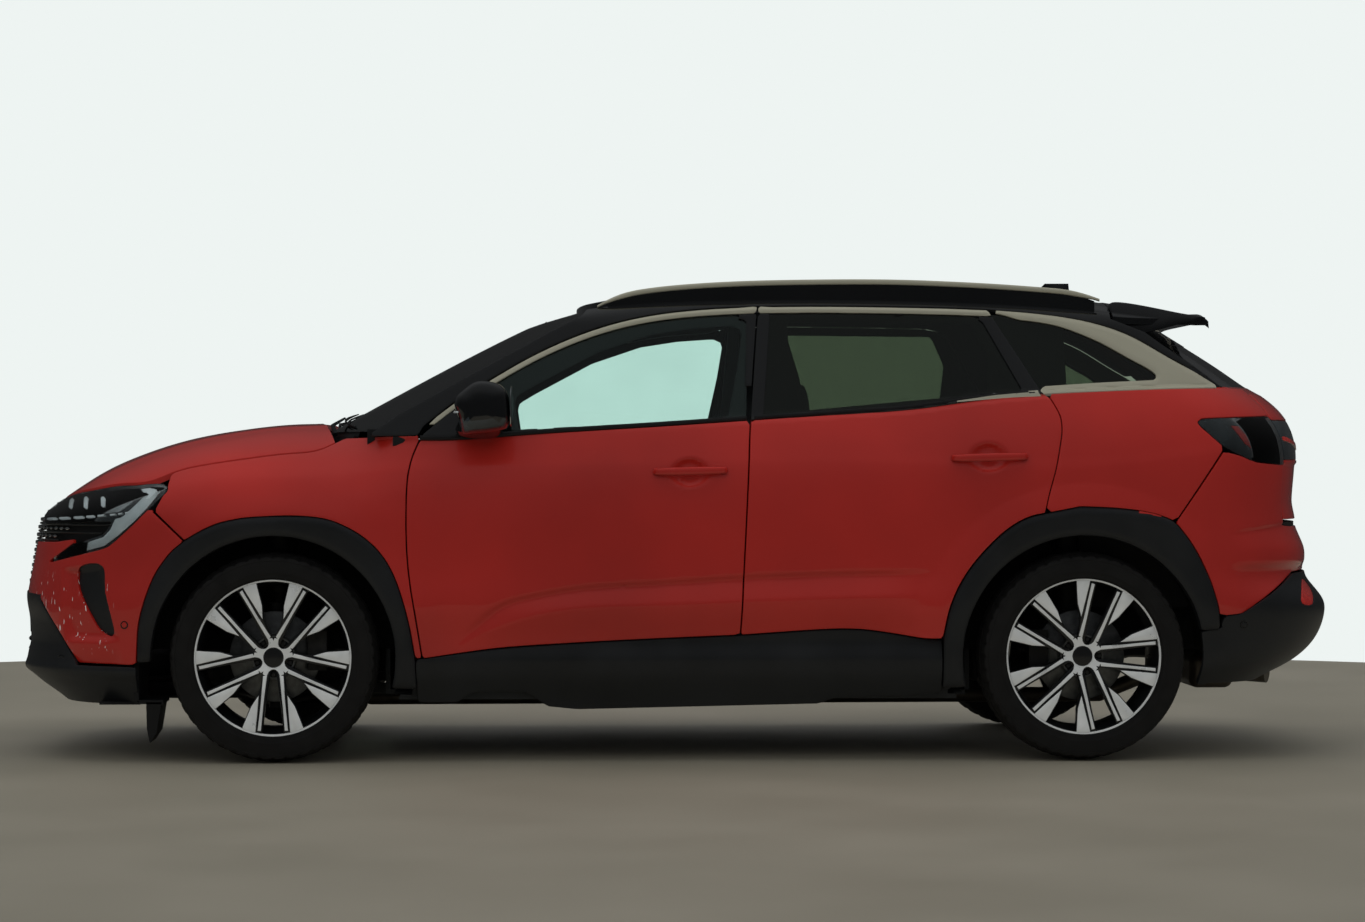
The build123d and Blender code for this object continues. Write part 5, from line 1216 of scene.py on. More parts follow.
def make_claddings():
    """Arch bands and sills of grained plastic, standing proud with rounded edges."""
    band_front = (flow(FRONT_ARCH) + [(-880, 240), (-936, 240)] + circle(FRONT_AXLE.x, 398, -15, 182, 40))
    band_rear = ([(850, 240)] + flow(REAR_ARCH_FRONT[::-1]) + flow(REAR_ARCH_BACK[::-1])
                 + circle(REAR_AXLE.x, 398, 12, 195, 40) + [(906, 240)])
    sill = flow(RED_EDGE) + [(850, 222), (715, 210), (496, 204), (443, 185), (-356, 168), (-453, 178),
                             (-524, 230), (-703, 226), (-750, 192), (-880, 192), (-886, 343)]
    proud = lambda d: 8.0 * np.sqrt(np.clip(1 - (1 - np.clip(d / 22, 0, 1)) ** 2, 0, 1))
    panel("arch_cladding_front_{side}", body_side(3.0, plain), steps(-1812, -870, 11), steps(225, 825, 11),
          side_region(band_front, 0.3), "cladding", "body", depth=42.0, radius=3.0, crown=proud,
          inward=(0, 1, 0), replaces=("lower_claddings",), slot="charcoal_plastic")
    panel("arch_cladding_rear_{side}", body_side(5.0, plain), steps(838, 1785, 11), steps(225, 855, 11),
          side_region(band_rear, 0.3), "cladding", "body", depth=42.0, radius=3.0, crown=proud,
          inward=(0, 1, 0), slot="charcoal_plastic")
    lower = lambda x, z: np.stack([x, -(side_y(x, z) + 4 - 20 * ease((z - 330) / 70)
                                        - 34 * ease((300 - z) / 130)), z], -1)
    panel("sill_cladding_{side}", lower, steps(-892, 860, 20), steps(160, 440, 9), side_region(sill, 0.3),
          "cladding", "body", depth=60.0, radius=3.0, inward=(0, 1, 0), slot="charcoal_plastic")


def make_deflectors():
    """Black closing pieces behind the front bumper, with the air flap ahead of the tyre."""
    wall = block(-1812, -1796, -800, -480, 196, 420, 3)
    shelf = block(-1930, -1796, -760, -400, 186, 196, 3)
    flap = slab([(-1772, 196), (-1722, 196), (-1738, 96), (-1760, 62), (-1770, 110)], 0, 200, 4,
                lambda a, b, c: (a, -800 + c, b))
    mount = block(-1800, -1716, -800, -600, 190, 204, 3)
    mesh_piece("front_deflector_{side}", *joined(wall, shelf, flap, mount), "matt_plastic", "body")


def make_rear():
    """Rear bumper: painted skin, grained lower part, corner reflectors and the sill under the tailgate."""
    outline = ([(1621, 789), (1784, 1022), (1841, 1008), (1904, 985), (2039, 973), (2400, 973), (2400, 628),
                (2053, 617), (1845, 485), (1783, 479)] + [(x, z) for x, z in flow(REAR_ARCH_BACK) if z > 478])
    beside_gate = lambda p: np.where((p[..., 2] > 775) & (p[..., 0] > 1900), gate_clear(6.0)(p), 1e3)
    under_gate = lambda p: np.where(np.abs(p[..., 1]) < 690, 788 - p[..., 2], 1e3)
    low = (circle(REAR_AXLE.x, 398, 12, -16, 12)
           + [(1740, 250), (2400, 240), (2400, 626), (2053, 614), (1845, 483), (1783, 477), (1770, 437)])
    ridge = lambda x, z: (1.5 * ease((z - 470) / 40) * ease((600 - z) / 40) * ease((x - 1960) / 120)
                          - 14 * ease((320 - z) / 70))
    red_zone = flow([(2068, 520), (2100, 592), (2132, 560), (2118, 508)], 8, True)
    panel("rear_bumper_skin_{side}", body_end(False), steps(0, 84, 1.1), steps(470, 1032, 8),
          common(side_region(outline, 0.6), beside_gate, under_gate,
                 outside(side_region(flow(TAIL_LAMP, 20, True)), 1.0)),
          "paint", "body", depth=12.0, radius=1.8, replaces=("rear_bumper",), slot="red_paint")
    panel("rear_bumper_lower_{side}", body_end(False, -0.5, ridge), steps(0, 84, 1.2), steps(250, 640, 9),
          common(side_region(low, 0.4), outside(side_region(red_zone), 0.5)), "cladding", "body",
          depth=14.0, radius=2.4, slot="charcoal_plastic")
    panel("rear_reflector_{side}", body_end(False, -3.5, ridge), steps(20, 62, 0.8), steps(490, 610, 5),
          side_region(red_zone, 0.4), "reflector", "body", depth=10.0, radius=1.2)
    # dark sill under the tailgate, behind the bumper's top edge
    sections = []
    for y in np.linspace(-680, 680, 41):
        x = float(rear_x(np.array([y]), np.array([781.0]))[0])
        sections.append([(x - 7, y, 700), (x - 7, y, 785), (x - 120, y, 785), (x - 120, y, 700)])
    points, faces = lofted(sections)
    mesh_piece("tail_sill", points, outward(points, faces), "matt_plastic", "body")


def make_sensors():
    """Parking sensors: small round faces in a black ring, sunk in the bumpers' corners."""
    front_shape = lambda x, z: relief(x, z) + bumper_relief(x, z)
    spots = ((True, -1835, 453, "paint", front_shape), (True, -2062, 335, "cladding", plain),
             (False, 1850, 448, "cladding", plain))
    for n, (front, x, z, face, shape) in enumerate(spots):
        for part, profile, material in (("ring", [(13, -4), (13, 1.6), (10, 1.9), (9.4, 0.4)], "gloss_plastic"),
                                        ("face", [(9.3, -2), (9.3, 1.4), (8.6, 1.8), (0.3, 2.0)], face)):
            flat, faces = revolved(profile, 24, (x, 0.0, z), False)
            reach = np.abs(flat[:, 0] - END_MIDDLE[front])
            angle = np.degrees(np.arctan2(side_y(flat[:, 0], flat[:, 2]), reach))
            points = body_end(front, -flat[:, 1], shape)(angle, flat[:, 2])
            mesh_piece(f"sensor_{part}_{n}_{{side}}", points, outward(points, faces), material, "body")


def make_hinges():
    """Door hinge barrels with their leaves on the pillars, the bonnet's posts and the tailgate's pins."""
    parts = []
    for x in (-870, 250):
        for low, high in ((484, 556), (800, 856)):
            parts.append(tube([(x, -871, low), (x, -871, high)], 8.0, 16))
            parts.append(block(x - 5, x + 5, -871, -792, low + 4, high - 4, 2))
    parts.append(block(-1115, -1085, -666, -658, 990.4, 1030, 2))
    parts.append(tube([(-1100, -690, 1018), (-1100, -655, 1018)], 5.8, 16))
    parts.append(tube([(1400, -412, 1524), (1400, -348, 1524)], 5.8, 16))
    mesh_piece("hinge_set_{side}", *joined(*parts), "primer", "body", replaces=("body_hinges",))


# ---------------------------------------------------------------- roof, screens and lamps
def make_roof():
    """Roof panel with its two channels, and the black sides above the window strips."""
    roof_front = lambda y: screen_x(y, np.full(np.shape(y), 1500.0)) + 12
    x_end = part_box("roof_panel")[1].x / MM

    def surface(s, v):
        y = v * 590.0
        x = roof_front(y) + s * (x_end - roof_front(y))
        channel = 3.0 * np.exp(-((np.abs(y) - 500) / 9) ** 2)
        return np.stack([x, y, roof_surface(x, y) - channel], -1)

    def side_top(x, t):
        z = belt_z(x) + t * (roof_surface(x, np.full(np.shape(x), 592.0)) - belt_z(x))
        return np.stack([x, -roof_side_y(x, z), z], -1)

    slots = lambda p: np.minimum(17 - np.abs(np.abs(p[..., 1]) - 380), p[..., 0] - 1381)
    panel("roof_skin", surface, steps(0, 1, 1 / 50), steps(-1, 1, 1 / 42), outside(slots), "black", "body",
          depth=28.0, radius=1.5, inward=(0, 0, -1), replaces=("roof_panel",), slot="black_paint")
    line = ([(-1050, 1071), (-1010, 1098), (-950, 1141), (-778, 1237), (-567, 1353), (-338, 1478), (-250, 1600),
             (1446, 1600), (1446, 1470), (1560, 1425), (1657, 1352), (1817, 1240), (1800, 1236)]
            + sample(strip_z, 1731, 1060, 30) + [(x, z + 1.5) for x, z in sample(strip_z, 1000, -860, 60)]
            + [(-879, 1074)])
    panel("roof_side_{side}", side_top, steps(-1060, 1830, 16), steps(0, 1, 1 / 50), side_region(line, 0.4),
          "black", "body", depth=40.0, radius=1.6, inward=(0, 1, 0), replaces=("roof_sides",),
          slot="black_paint")
    make_rail()


RAIL_TOP = curve((-295, 1508), (-218, 1547), (-117, 1571), (52, 1588), (254, 1598), (456, 1602), (726, 1602),
                 (929, 1595), (1064, 1588), (1233, 1576), (1334, 1563), (1419, 1536))


def make_rail():
    """Roof rail: a flattened satin bar that grows out of the roof at both ends."""
    sections, y = [], -585.0
    for x in np.linspace(-285, 1412, 90):
        top = float(RAIL_TOP(x))
        base = float(roof_surface(np.array([x]), np.array([y]))[0])
        end = min(1.0, (x + 292) / 90, (1420 - x) / 90)
        tall = 9.5 * max(0.25, end) ** 0.5
        angles = np.linspace(0, 2 * math.pi, 16, endpoint=False)
        sections.append([(x, y + 10 * math.cos(a) * abs(math.cos(a)) ** -0.25,
                          max(top - tall, base - 8) + tall * np.sign(math.sin(a)) * abs(math.sin(a)) ** 0.75)
                         for a in angles])
    bar, faces = lofted(sections)
    mesh_piece("roof_rail_{side}", bar, outward(bar, faces), "satin", "body", replaces=("roof_rails",),
               slot="satin_rail")
    sections = []
    for x in np.linspace(-250, 1395, 70):
        base = float(roof_surface(np.array([x]), np.array([590.0]))[0])
        top = max(float(RAIL_TOP(x)) - 14, base + 2)
        sections.append([(x, -592, base - 16), (x, -575, base - 16), (x, -577, top), (x, -590, top)])
    web, faces = lofted(sections)
    mesh_piece("roof_rail_base_{side}", web, outward(web, faces), "black", "body")


def glass_surface(extra=0.0):
    """Windscreen as a surface of -1 to 1 across it and height."""
    def surface(v, z):
        y = v * (float(glass_y(-700)) - TUMBLEHOME * (z - 1100) - 60.0)
        return np.stack([screen_x(y, z) + extra, y, z], -1)

    return surface


def scuttle(v, t):
    """Dished scuttle between the bonnet and the glass, rippled by its slots."""
    y = v * 658
    front = -1225 + 70 * v * v
    back = screen_x(y, np.full(np.shape(y), 1094.0)) - 4
    x = front + t * (back - front)
    return np.stack([x, y, 1046 + 40 * t**1.5 + 6 * np.cos(t * 24) - 10 * v * v * (1 - t)], -1)


def make_windscreen():
    """Windscreen with its border, pillar covers, scuttle, wipers and washer nozzles."""
    panel("windscreen_glass", glass_surface(), steps(-1, 1, 1 / 32), steps(1088, 1498, 16), anywhere,
          "screen_glass", "body", depth=5.0, radius=0.8, inward=(1, 0, -0.4), replaces=("windscreen",),
          slot="clear_glass")
    clear_half = lambda z: glass_y(-700) - TUMBLEHOME * (z - 1100) - 100
    border = lambda p: np.maximum.reduce([np.abs(p[..., 1]) - clear_half(p[..., 2]), 1122 - p[..., 2],
                                          p[..., 2] - 1462,
                                          np.minimum(95 - np.abs(p[..., 1]), p[..., 2] - 1405)])
    panel("windscreen_border", glass_surface(7.0), steps(-1, 1, 1 / 46), steps(1088, 1498, 9), border,
          "ceramic_black", "body", depth=2.0, radius=0.5, inward=(1, 0, -0.4))
    # black pillar cover beside the glass
    glass_edge = lambda z: glass_surface(-3.0)(np.full(np.shape(z), -1.0), z)
    cover = lambda t, z: glass_edge(z) + np.stack([46 * t, -32 * t, 0 * z], -1)
    panel("pillar_cover_{side}", cover, steps(0, 1, 0.2), steps(1092, 1500, 12), anywhere,
          "black", "body", depth=8.0, radius=1.0, inward=(0.6, 0.6, -0.3), centre=(0, 0, 900))
    panel("scuttle_panel", scuttle, steps(-1, 1, 0.04), steps(0, 1, 0.034), anywhere, "matt_plastic", "body",
          depth=6.0, radius=1.5, inward=(0, 0, -1), replaces=("cowl_panel",), slot="charcoal_plastic")
    for name, y0, y1, z0, z1 in (("long", -600, 40, 1104, 1152), ("short", 60, 610, 1106, 1140)):
        y, z = np.linspace(y0, y1, 40), np.linspace(z0, z1, 40)
        line = np.stack([screen_x(y, z) - 9, y, z], -1)
        blade = tube(line, 3.4, 8)
        taper = np.linspace(2.0, 5.0, 17)
        spine = tube(line[3:-3] + np.array([-9, 0, 5]), np.concatenate([taper, np.linspace(5.0, 2.0, 17)]), 10)
        pivot = np.array([-1165, y0 + 30, 1078.0])
        way = line[9] - pivot
        arm = tube(np.vstack([pivot, pivot + way * 0.3 + [-22, 0, 20], pivot + way * 0.7 + [-24, 0, 16],
                              line[20] + [-18, 0, 8]]), [9, 7, 5.5, 4], 10)
        mesh_piece(f"wiper_{name}", *joined(blade, spine, arm), "matt_plastic", "body",
                   replaces=("front_wipers",), slot="charcoal_plastic")
    corners = joined(*[block(-1185, -960, y - 30, y + 30, 984, 1003, 4) for y in (-682, 682)],
                     *[block(-962, -886, y - 18, y + 18, 1040, 1072, 4) for y in (-798, 798)],
                     *[block(-1048, -984, y - 16, y + 16, 1040, 1097, 4) for y in (-752, 752)])
    mesh_piece("scuttle_corners", *corners, "matt_plastic", "body")
    nozzle = joined(*[block(-1200, -1176, y - 9, y + 9, 1066, 1086, 4) for y in (-250, 250)])
    mesh_piece("washer_nozzles", *nozzle, "matt_plastic", "body")


def make_fin():
    """Low aerial fin: broad at the foot, thin at the trailing top."""
    sections = []
    width = lambda c: 0.55 + 0.45 * c if c > -0.2 else 0.46 * (1 + c)
    base_z = lambda x: float(roof_surface(np.array([float(x)]), np.array([0.0]))[0]) - 3
    for t in np.linspace(0, 1, 16):
        low, high = 1242 + 66 * t, 1398 - 6 * t
        half = 20 * (1 - t) ** 0.8 + 3.5
        z = base_z(1300) * (1 - t) + 1618 * t
        ring = []
        for a in np.linspace(0, 2 * math.pi, 28, endpoint=False):
            c, s = math.cos(a), math.sin(a)
            x = (low + high) / 2 + (high - low) / 2 * c
            ring.append((x, half * s * width(c), z if t else base_z(x)))
        sections.append(ring)
    points, faces = lofted(sections)
    mesh_piece("aerial_fin", points, outward(points, faces), "black", "body", replaces=("antenna_fin",),
               slot="black_paint")


def make_tailgate():
    """Tailgate skin, window, spoiler, lamps, inner card, grip, blank plate field and wiper."""
    lamp_side = lambda p: np.minimum.reduce([np.abs(p[..., 1]) - 385, p[..., 2] - 994, 1127 - p[..., 2]])
    glass = lambda p: np.minimum.reduce([np.interp(p[..., 2], (1240, 1390), (560, 505)) - np.abs(p[..., 1]),
                                         p[..., 2] - 1243, 1384 - p[..., 2]])
    # the inner faces take the inner paint, whose darker red is painted shade
    panel("tailgate_skin", gate_skin(), steps(-1, 1, 1 / 50), steps(793, 1240, 9),
          common(outside(lamp_side, 1.5), lambda p: p[..., 2] - 794), ("paint", "paint", "body_inner"),
          "tailgate", depth=40.0, radius=2.2, inward=(-1, 0, 0), replaces=("tailgate",), slot="red_paint")
    panel("tailgate_surround", gate_skin(), steps(-1, 1, 1 / 56), steps(1238, 1436, 8),
          common(outside(glass, 0.5), lambda p: p[..., 2] - 1239), "black", "tailgate", depth=30.0,
          radius=1.8, inward=(-1, 0, 0), slot="black_paint")
    panel("rear_window_glass", gate_skin(-4.0), steps(-1, 1, 1 / 40), steps(1232, 1392, 10),
          lambda p: glass(p) + 6, "privacy", "tailgate", depth=4.0, radius=0.8, inward=(-1, 0, 0),
          replaces=("rear_window",), slot="privacy_glass")

    def top(x, v):
        y = v * (596 - 46 * ease((x - 1460) / 330))
        lift = 3 + 9 * ease((x - 1560) / 230) - 16 * ease((x - 1782) / 14)
        return np.stack([x, y, roof_surface(x, y) + lift - 10 * np.abs(v) ** 6], -1)

    panel("spoiler_skin", top, steps(1458, 1790, 12), steps(-1, 1, 1 / 32), anywhere, "black", "tailgate",
          depth=22.0, radius=3.0, inward=(0, 0, -1), replaces=("tailgate_spoiler",), slot="black_paint")
    fin = [(1462, 1528), (1478, 1446), (1545, 1420), (1682, 1452), (1776, 1474), (1700, 1490)]
    points, faces = slab(flow(fin, 10, True), 534, 556, 5, lambda a, b, c: (a, -c + 0.3 * (b - 1540), b))
    mesh_piece("spoiler_fin_{side}", points, faces, "black", "tailgate")
    panel("gate_lamp_{side}", gate_skin(-2.0), steps(-1, 0, 1 / 90), steps(985, 1140, 5),
          lambda p: np.where(p[..., 1] < 0, lamp_side(p), -9.0) - 0.5, "smoked_lens", "tailgate",
          depth=24.0, radius=1.4, inward=(-1, 0, 0), replaces=("tailgate_lamps",), slot="lamp_red")
    band = lambda p: np.minimum(8 - np.abs(p[..., 2] - 1050 - 0.12 * (np.abs(p[..., 1]) - 540)),
                                138 - np.abs(np.abs(p[..., 1]) - 540))
    panel("gate_lamp_line_{side}", gate_skin(1.5), steps(-1, 0, 1 / 90), steps(1010, 1110, 3),
          lambda p: np.where(p[..., 1] < 0, band(p), -9.0), "red_lens", "tailgate", depth=3.0,
          radius=1.0, inward=(-1, 0, 0))
    hinge = block(1392, 1470, -388, -372, 1500, 1516, 2)
    mesh_piece("tailgate_hinge_arm_{side}", *hinge, "primer", "tailgate")
    panel("tailgate_card", gate_skin(-46.0), steps(-0.93, 0.93, 1 / 30), steps(815, 1222, 16), anywhere,
          "soft_trim", "tailgate", depth=6.0, radius=3.0, inward=(-1, 0, 0))
    # handle lip and blank plate field
    y = np.linspace(-250, 250, 40)
    line = np.stack([rear_x(y, np.full(40, 962.0)) - 6, y, np.full(40, 962.0)], -1)
    mesh_piece("tailgate_grip", *tube(line, 9, 12), "gloss_plastic", "tailgate")
    x_plate = float(rear_x(np.array([0.0]), np.array([880.0]))[0]) - 15
    plate = slab(box_outline(-260, 260, 822, 934), 0, 3, 1.2, lambda a, b, c: (x_plate + c, a, b))
    mesh_piece("rear_plate_blank", *plate, "plate_white", "tailgate")
    # rear wiper: short arm lying on the glass, with its cap beyond the window
    x0 = float(rear_x(np.array([0.0]), np.array([1246.0]))[0])
    arm = tube([(x0 + 8, 0, 1240), (x0 + 18, 30, 1254), (x0 + 6, 200, 1272), (x0 - 20, 330, 1292)],
               [10, 8, 6, 4], 10)
    y, z = np.linspace(60, 400, 24), np.linspace(1262, 1300, 24)
    blade = tube(np.stack([rear_x(y, z) + 4, y, z], -1), 4.0, 8)
    cap, faces = revolved([(17, 0), (17, 12), (12, 17), (0.5, 18)], 24, (0, 0, 0), False)
    cap = np.stack([x0 - 2 - cap[:, 1], cap[:, 0], 1240 + cap[:, 2]], 1)
    mesh_piece("rear_wiper", *joined(arm, blade, (cap, outward(cap, faces))), "matt_plastic", "tailgate")


def lamp_piece(name, outline, sink, material, depth=6.0, step=0.35, radius=1.0, crown=None, front=True,
               angles=(18, 84), heights=(640, 930), size=3.2, **more):
    """A piece inside a lamp: an outline in side view laid on the body surface, sunk by some millimetres."""
    return panel(f"{name}_{{side}}", body_end(front, -sink, plain), steps(*angles, step),
                 steps(*heights, size), side_region(outline), material, "body", depth=depth,
                 radius=radius, crown=crown, **more)


def make_headlamps():
    """Headlamps: dark housing, reflector, light guides, three modules and a clear lens."""
    lamp = lamp_outline()
    blade = [(-2106, 660), (-2052, 674), (-1979, 692), (-1908, 711), (-1862, 744), (-1806, 792), (-1765, 834),
             (-1738, 868), (-1716, 900), (-1756, 908), (-1905, 890), (-1905, 876), (-1800, 889), (-1772, 880),
             (-1800, 850), (-1848, 806), (-1872, 800), (-1888, 764), (-1912, 740), (-1962, 724), (-2024, 706),
             (-2070, 684)]
    shelf = [(-2140, 793), (-2000, 801), (-1870, 812), (-1792, 824), (-1792, 829), (-1870, 818), (-2000, 808),
             (-2140, 800)]
    lamp_piece("headlamp_body", lamp, 14.0, "smoked_lens", 30.0, radius=1.4, size=5, step=0.6,
               replaces=("headlamps",), slot="lamp_clear")
    reflector = [(-2140, 806), (-2068, 806), (-1990, 812), (-1862, 822), (-1820, 850), (-1790, 890),
                 (-1850, 895), (-1990, 880), (-2068, 862), (-2140, 848)]
    lamp_piece("headlamp_reflector", reflector, 10.0, "lamp_grey", 5.0, step=0.6, size=5)
    lamp_piece("headlamp_blade", blade, 7.0, "light_guide", 8.0, step=0.5, size=4.2,
               crown=lambda d: 2.5 * ease(d / 10))
    lamp_piece("headlamp_shelf", shelf, 3.0, "light_guide", 10.0, radius=0.8)
    glow = [(-2138, 826), (-2060, 846), (-1990, 858), (-1925, 866), (-1925, 880), (-1990, 876), (-2060, 862),
            (-2138, 846)]
    lamp_piece("headlamp_upper_glow", glow, 6.0, "light_guide", 5.0)
    for n, (x, top) in enumerate(((-2050, 866), (-1990, 872), (-1925, 872))):
        module = [(x - 4, top), (x + 9, top + 2), (x + 12, 836), (x + 4, 832)]
        lamp_piece(f"headlamp_module_{n}", module, 4.0, "light_guide", 6.0, radius=0.8)
    lamp_piece("headlamp_lens", lamp, 1.0, "lens", 2.5, radius=0.8, size=5, step=0.6)


def make_tail_lamps():
    """Tail lamps of the quarter panels: dark housing, red line, a pale reflector patch that is also a painted
    highlight, and red lens.
    """
    outline = flow(TAIL_LAMP, 16, True)
    region = common(side_region(outline, 0.8), lambda p: np.where(p[..., 0] > 1900, gate_clear(5.0)(p), 1e3))
    panel("tail_lamp_{side}", body_end(False, -7.0, plain), steps(10, 78, 0.6), steps(960, 1150, 4),
          region, "smoked_lens", "body", depth=26.0, radius=1.4, replaces=("tail_lamps",),
          slot="lamp_red")
    line = [(1812, 1108), (1842, 1106), (1880, 1062), (1925, 1025), (2010, 1006), (2060, 1003), (2060, 994),
            (1995, 995), (1915, 1010), (1862, 1048), (1832, 1086)]
    panel("tail_lamp_line_{side}", body_end(False, -4.0, plain), steps(14, 74, 0.35),
          steps(980, 1120, 2.5), common(side_region(line), region), "red_lens", "body", depth=4.0,
          radius=0.9)
    # pale grey patch set where the lamp gleams: partly a real reflector, partly a painted highlight
    gleam = [(1905, 1082), (1962, 1086), (1985, 1058), (2010, 1040), (1960, 1042), (1925, 1060)]
    panel("tail_lamp_reflector_{side}", body_end(False, -5.0, plain), steps(14, 74, 0.35),
          steps(1030, 1095, 2.5), common(side_region(gleam), region), "lamp_grey", "body",
          depth=4.0, radius=0.9)
    panel("tail_lamp_lens_{side}", body_end(False, -0.5, plain), steps(10, 78, 0.8),
          steps(960, 1150, 6), region, "lens", "body", depth=2.5, radius=0.8)


def make_mirrors():
    """Door mirror: gloss black cap, dark lower shell, indicator line, glass and foot."""
    outline = flow([(-757, 1176), (-750, 1200), (-728, 1221), (-694, 1246), (-664, 1252), (-624, 1246),
                    (-589, 1228), (-577, 1197), (-573, 1150), (-572, 1118), (-585, 1096), (-641, 1083),
                    (-700, 1078), (-728, 1077), (-742, 1120)], 14, True)
    centre = np.array([-668, 1164.0])
    # how far the cap has drawn in at each distance from the middle line
    cap = ((1, -872), (1, -935), (0.985, -968), (0.95, -992), (0.88, -1010), (0.75, -1021), (0.5, -1028),
           (0.2, -1030))
    rings = [[(centre[0] + (x - centre[0]) * t - 10 * (1 - t), y, centre[1] + (z - centre[1]) * t)
              for x, z in outline] for t, y in cap]
    points, faces = lofted(rings)
    faces = outward(points, faces)
    kinds = [1 if np.mean([points[i][2] for i in f]) < 1128 else 0 for f in faces]
    body = "door_front_{side}"
    mesh_piece("mirror_shell_{side}", points, faces, ("black", "smoked_lens"), body, kinds,
               replaces=("mirror_{side}",), slot="black_paint")
    foot_line = flow([(-745, 1066), (-640, 1062), (-600, 1082), (-628, 1104), (-735, 1100)], 10, True)
    foot, faces = lofted([[(x, -(side_y(x, 1074.0) - 8) - s * (922 - side_y(x, 1074.0)),
                            z + 16 * s + (z - 1084) * -0.25 * s) for x, z in foot_line]
                          for s in np.linspace(0, 1, 8)])
    mesh_piece("mirror_foot_{side}", foot, outward(foot, faces), "black", body)
    line = np.array([(-756, y, 1152 + 4 * math.sin((y + 900) / 50)) for y in np.linspace(-1008, -905, 20)])
    line[:, 0] += 12 * ((line[:, 1] + 950) / 60) ** 2 * (line[:, 1] < -950)
    mesh_piece("mirror_indicator_{side}", *tube(line, 3.2, 8), "light_guide", body)
    glass = flow([(-1005, 1130), (-1000, 1210), (-960, 1232), (-900, 1226), (-886, 1200), (-886, 1120),
                  (-900, 1106), (-985, 1104)], 10, True)
    mirror = slab(glass, 0, 3, 1, lambda a, b, c: (-571 + c + 0.06 * (a + 950), a, b))
    mesh_piece("mirror_glass_{side}", *mirror, "chrome", body)


# ---------------------------------------------------------------- wheels
FACE = 86.0        # how far the spokes' outer face stands from the wheel's middle plane


def wheel_spots():
    """Each wheel's name, axle on the left, side, and the angle of its first spoke pair."""
    for end, axle, first in (("front", FRONT_AXLE, 270.0), ("rear", REAR_AXLE, 0.0)):
        for side in (LEFT, RIGHT):
            yield f"{end}_{SIDE_NAMES[side]}", axle, side, first


def tyre_mesh(centre):
    """Tyre with grooves, sipes and shoulder blocks all the way round."""
    half, radius, rim = TYRE_HALF_WIDTH, TYRE_RADIUS, RIM_RADIUS - 6
    grooves = []
    for mid in (-54, -19, 19, 54):
        grooves += [(mid - 5, 0), (mid - 4.2, -7.5), (mid + 4.2, -7.5), (mid + 5, 0)]
    crown = lambda w: radius - 0.0016 * w * w - 9 * ease((abs(w) - 84) / 26)
    profile = [(crown(w) + d, w) for w, d in
               [(-96, 0), (-88, 0), (-76, 0)] + grooves + [(76, 0), (88, 0), (96, 0)]]
    shoulder = [(radius - 15, half - 7), (radius - 26, half - 2.6), (radius - 28, half - 3.6),
                (radius - 44, half - 0.4), (radius - 66, half - 0.8), (radius - 68, half - 2.2),
                (radius - 82, half - 3.2), (rim + 24, half - 6), (rim + 20, half - 5.2),
                (rim + 13, half - 6.5), (rim + 9, half - 9.5), (rim + 3, half - 12), (rim - 2, half - 20)]
    whole = np.array(profile + shoulder + [(rim - 2, -half + 20)] + [(r, -w) for r, w in shoulder[::-1]][1:])
    on_tread = whole[:, 0] > radius - 20
    edge = on_tread & (np.abs(whole[:, 1]) > 60)
    middle = on_tread & (np.abs(whole[:, 1]) <= 60)

    def ripple(n):
        cut = np.zeros(len(whole))
        cut[edge] = -5.0 * (n % 4 == 0)
        cut[middle] = -2.6 * (n % 4 == 2)
        return cut

    return revolved(whole, 192, centre, True, ripple)


def dish(r):
    """How far the spokes' face stands out from its plane at a radius."""
    return 4 - 26 * ease((150 - r) / 150) + 8 * ease((r - 180) / 60)


def divided(points, step):
    """The closed outline with its long edges divided."""
    line = []
    for a, b in zip(points, points[1:] + points[:1]):
        count = max(1, int(math.dist(a, b) / step))
        line += [(a[0] + (b[0] - a[0]) * t / count, a[1] + (b[1] - a[1]) * t / count) for t in range(count)]
    return line


def spoke_plate(centre, pairs, a, low, high, bevel):
    """A plate on the dished face from (radius, sideways) pairs turned by an angle."""
    outline = [(centre[0] + r * math.cos(a) - q * math.sin(a), centre[2] + r * math.sin(a) + q * math.cos(a))
               for r, q in pairs]
    place = lambda u, v, c: (u, centre[1] - FACE - dish(math.hypot(u - centre[0], v - centre[2])) - c, v)
    return slab(divided(outline, 14), low, high, bevel, place)


# half of a spoke pair: its black body and the two turned faces on it, as (radius, sideways)
SPOKE_BODY = [(44, 8), (100, 17), (150, 24), (200, 30), (247, 35), (245, 58), (238, 78), (229, 102),
              (158, 74), (120, 49), (96, 42), (58, 36)]
SPOKE_LINE = [(58, 20.5), (150, 31), (238, 39), (238, 49.5), (150, 40), (60, 33.5)]
SPOKE_BLADE = [(244, 57), (239, 78), (230, 100), (159, 71), (123, 47), (180, 51)]
# star round the hub: outer radius by angle from a spoke pair's middle
STAR = ((-36, 55), (-33, 64), (-27, 64), (-20, 64), (-18.5, 50), (-12, 42), (-6, 39.5), (0, 38.5), (6, 39.5),
        (12, 42), (18.5, 50), (20, 64), (27, 64), (33, 64))


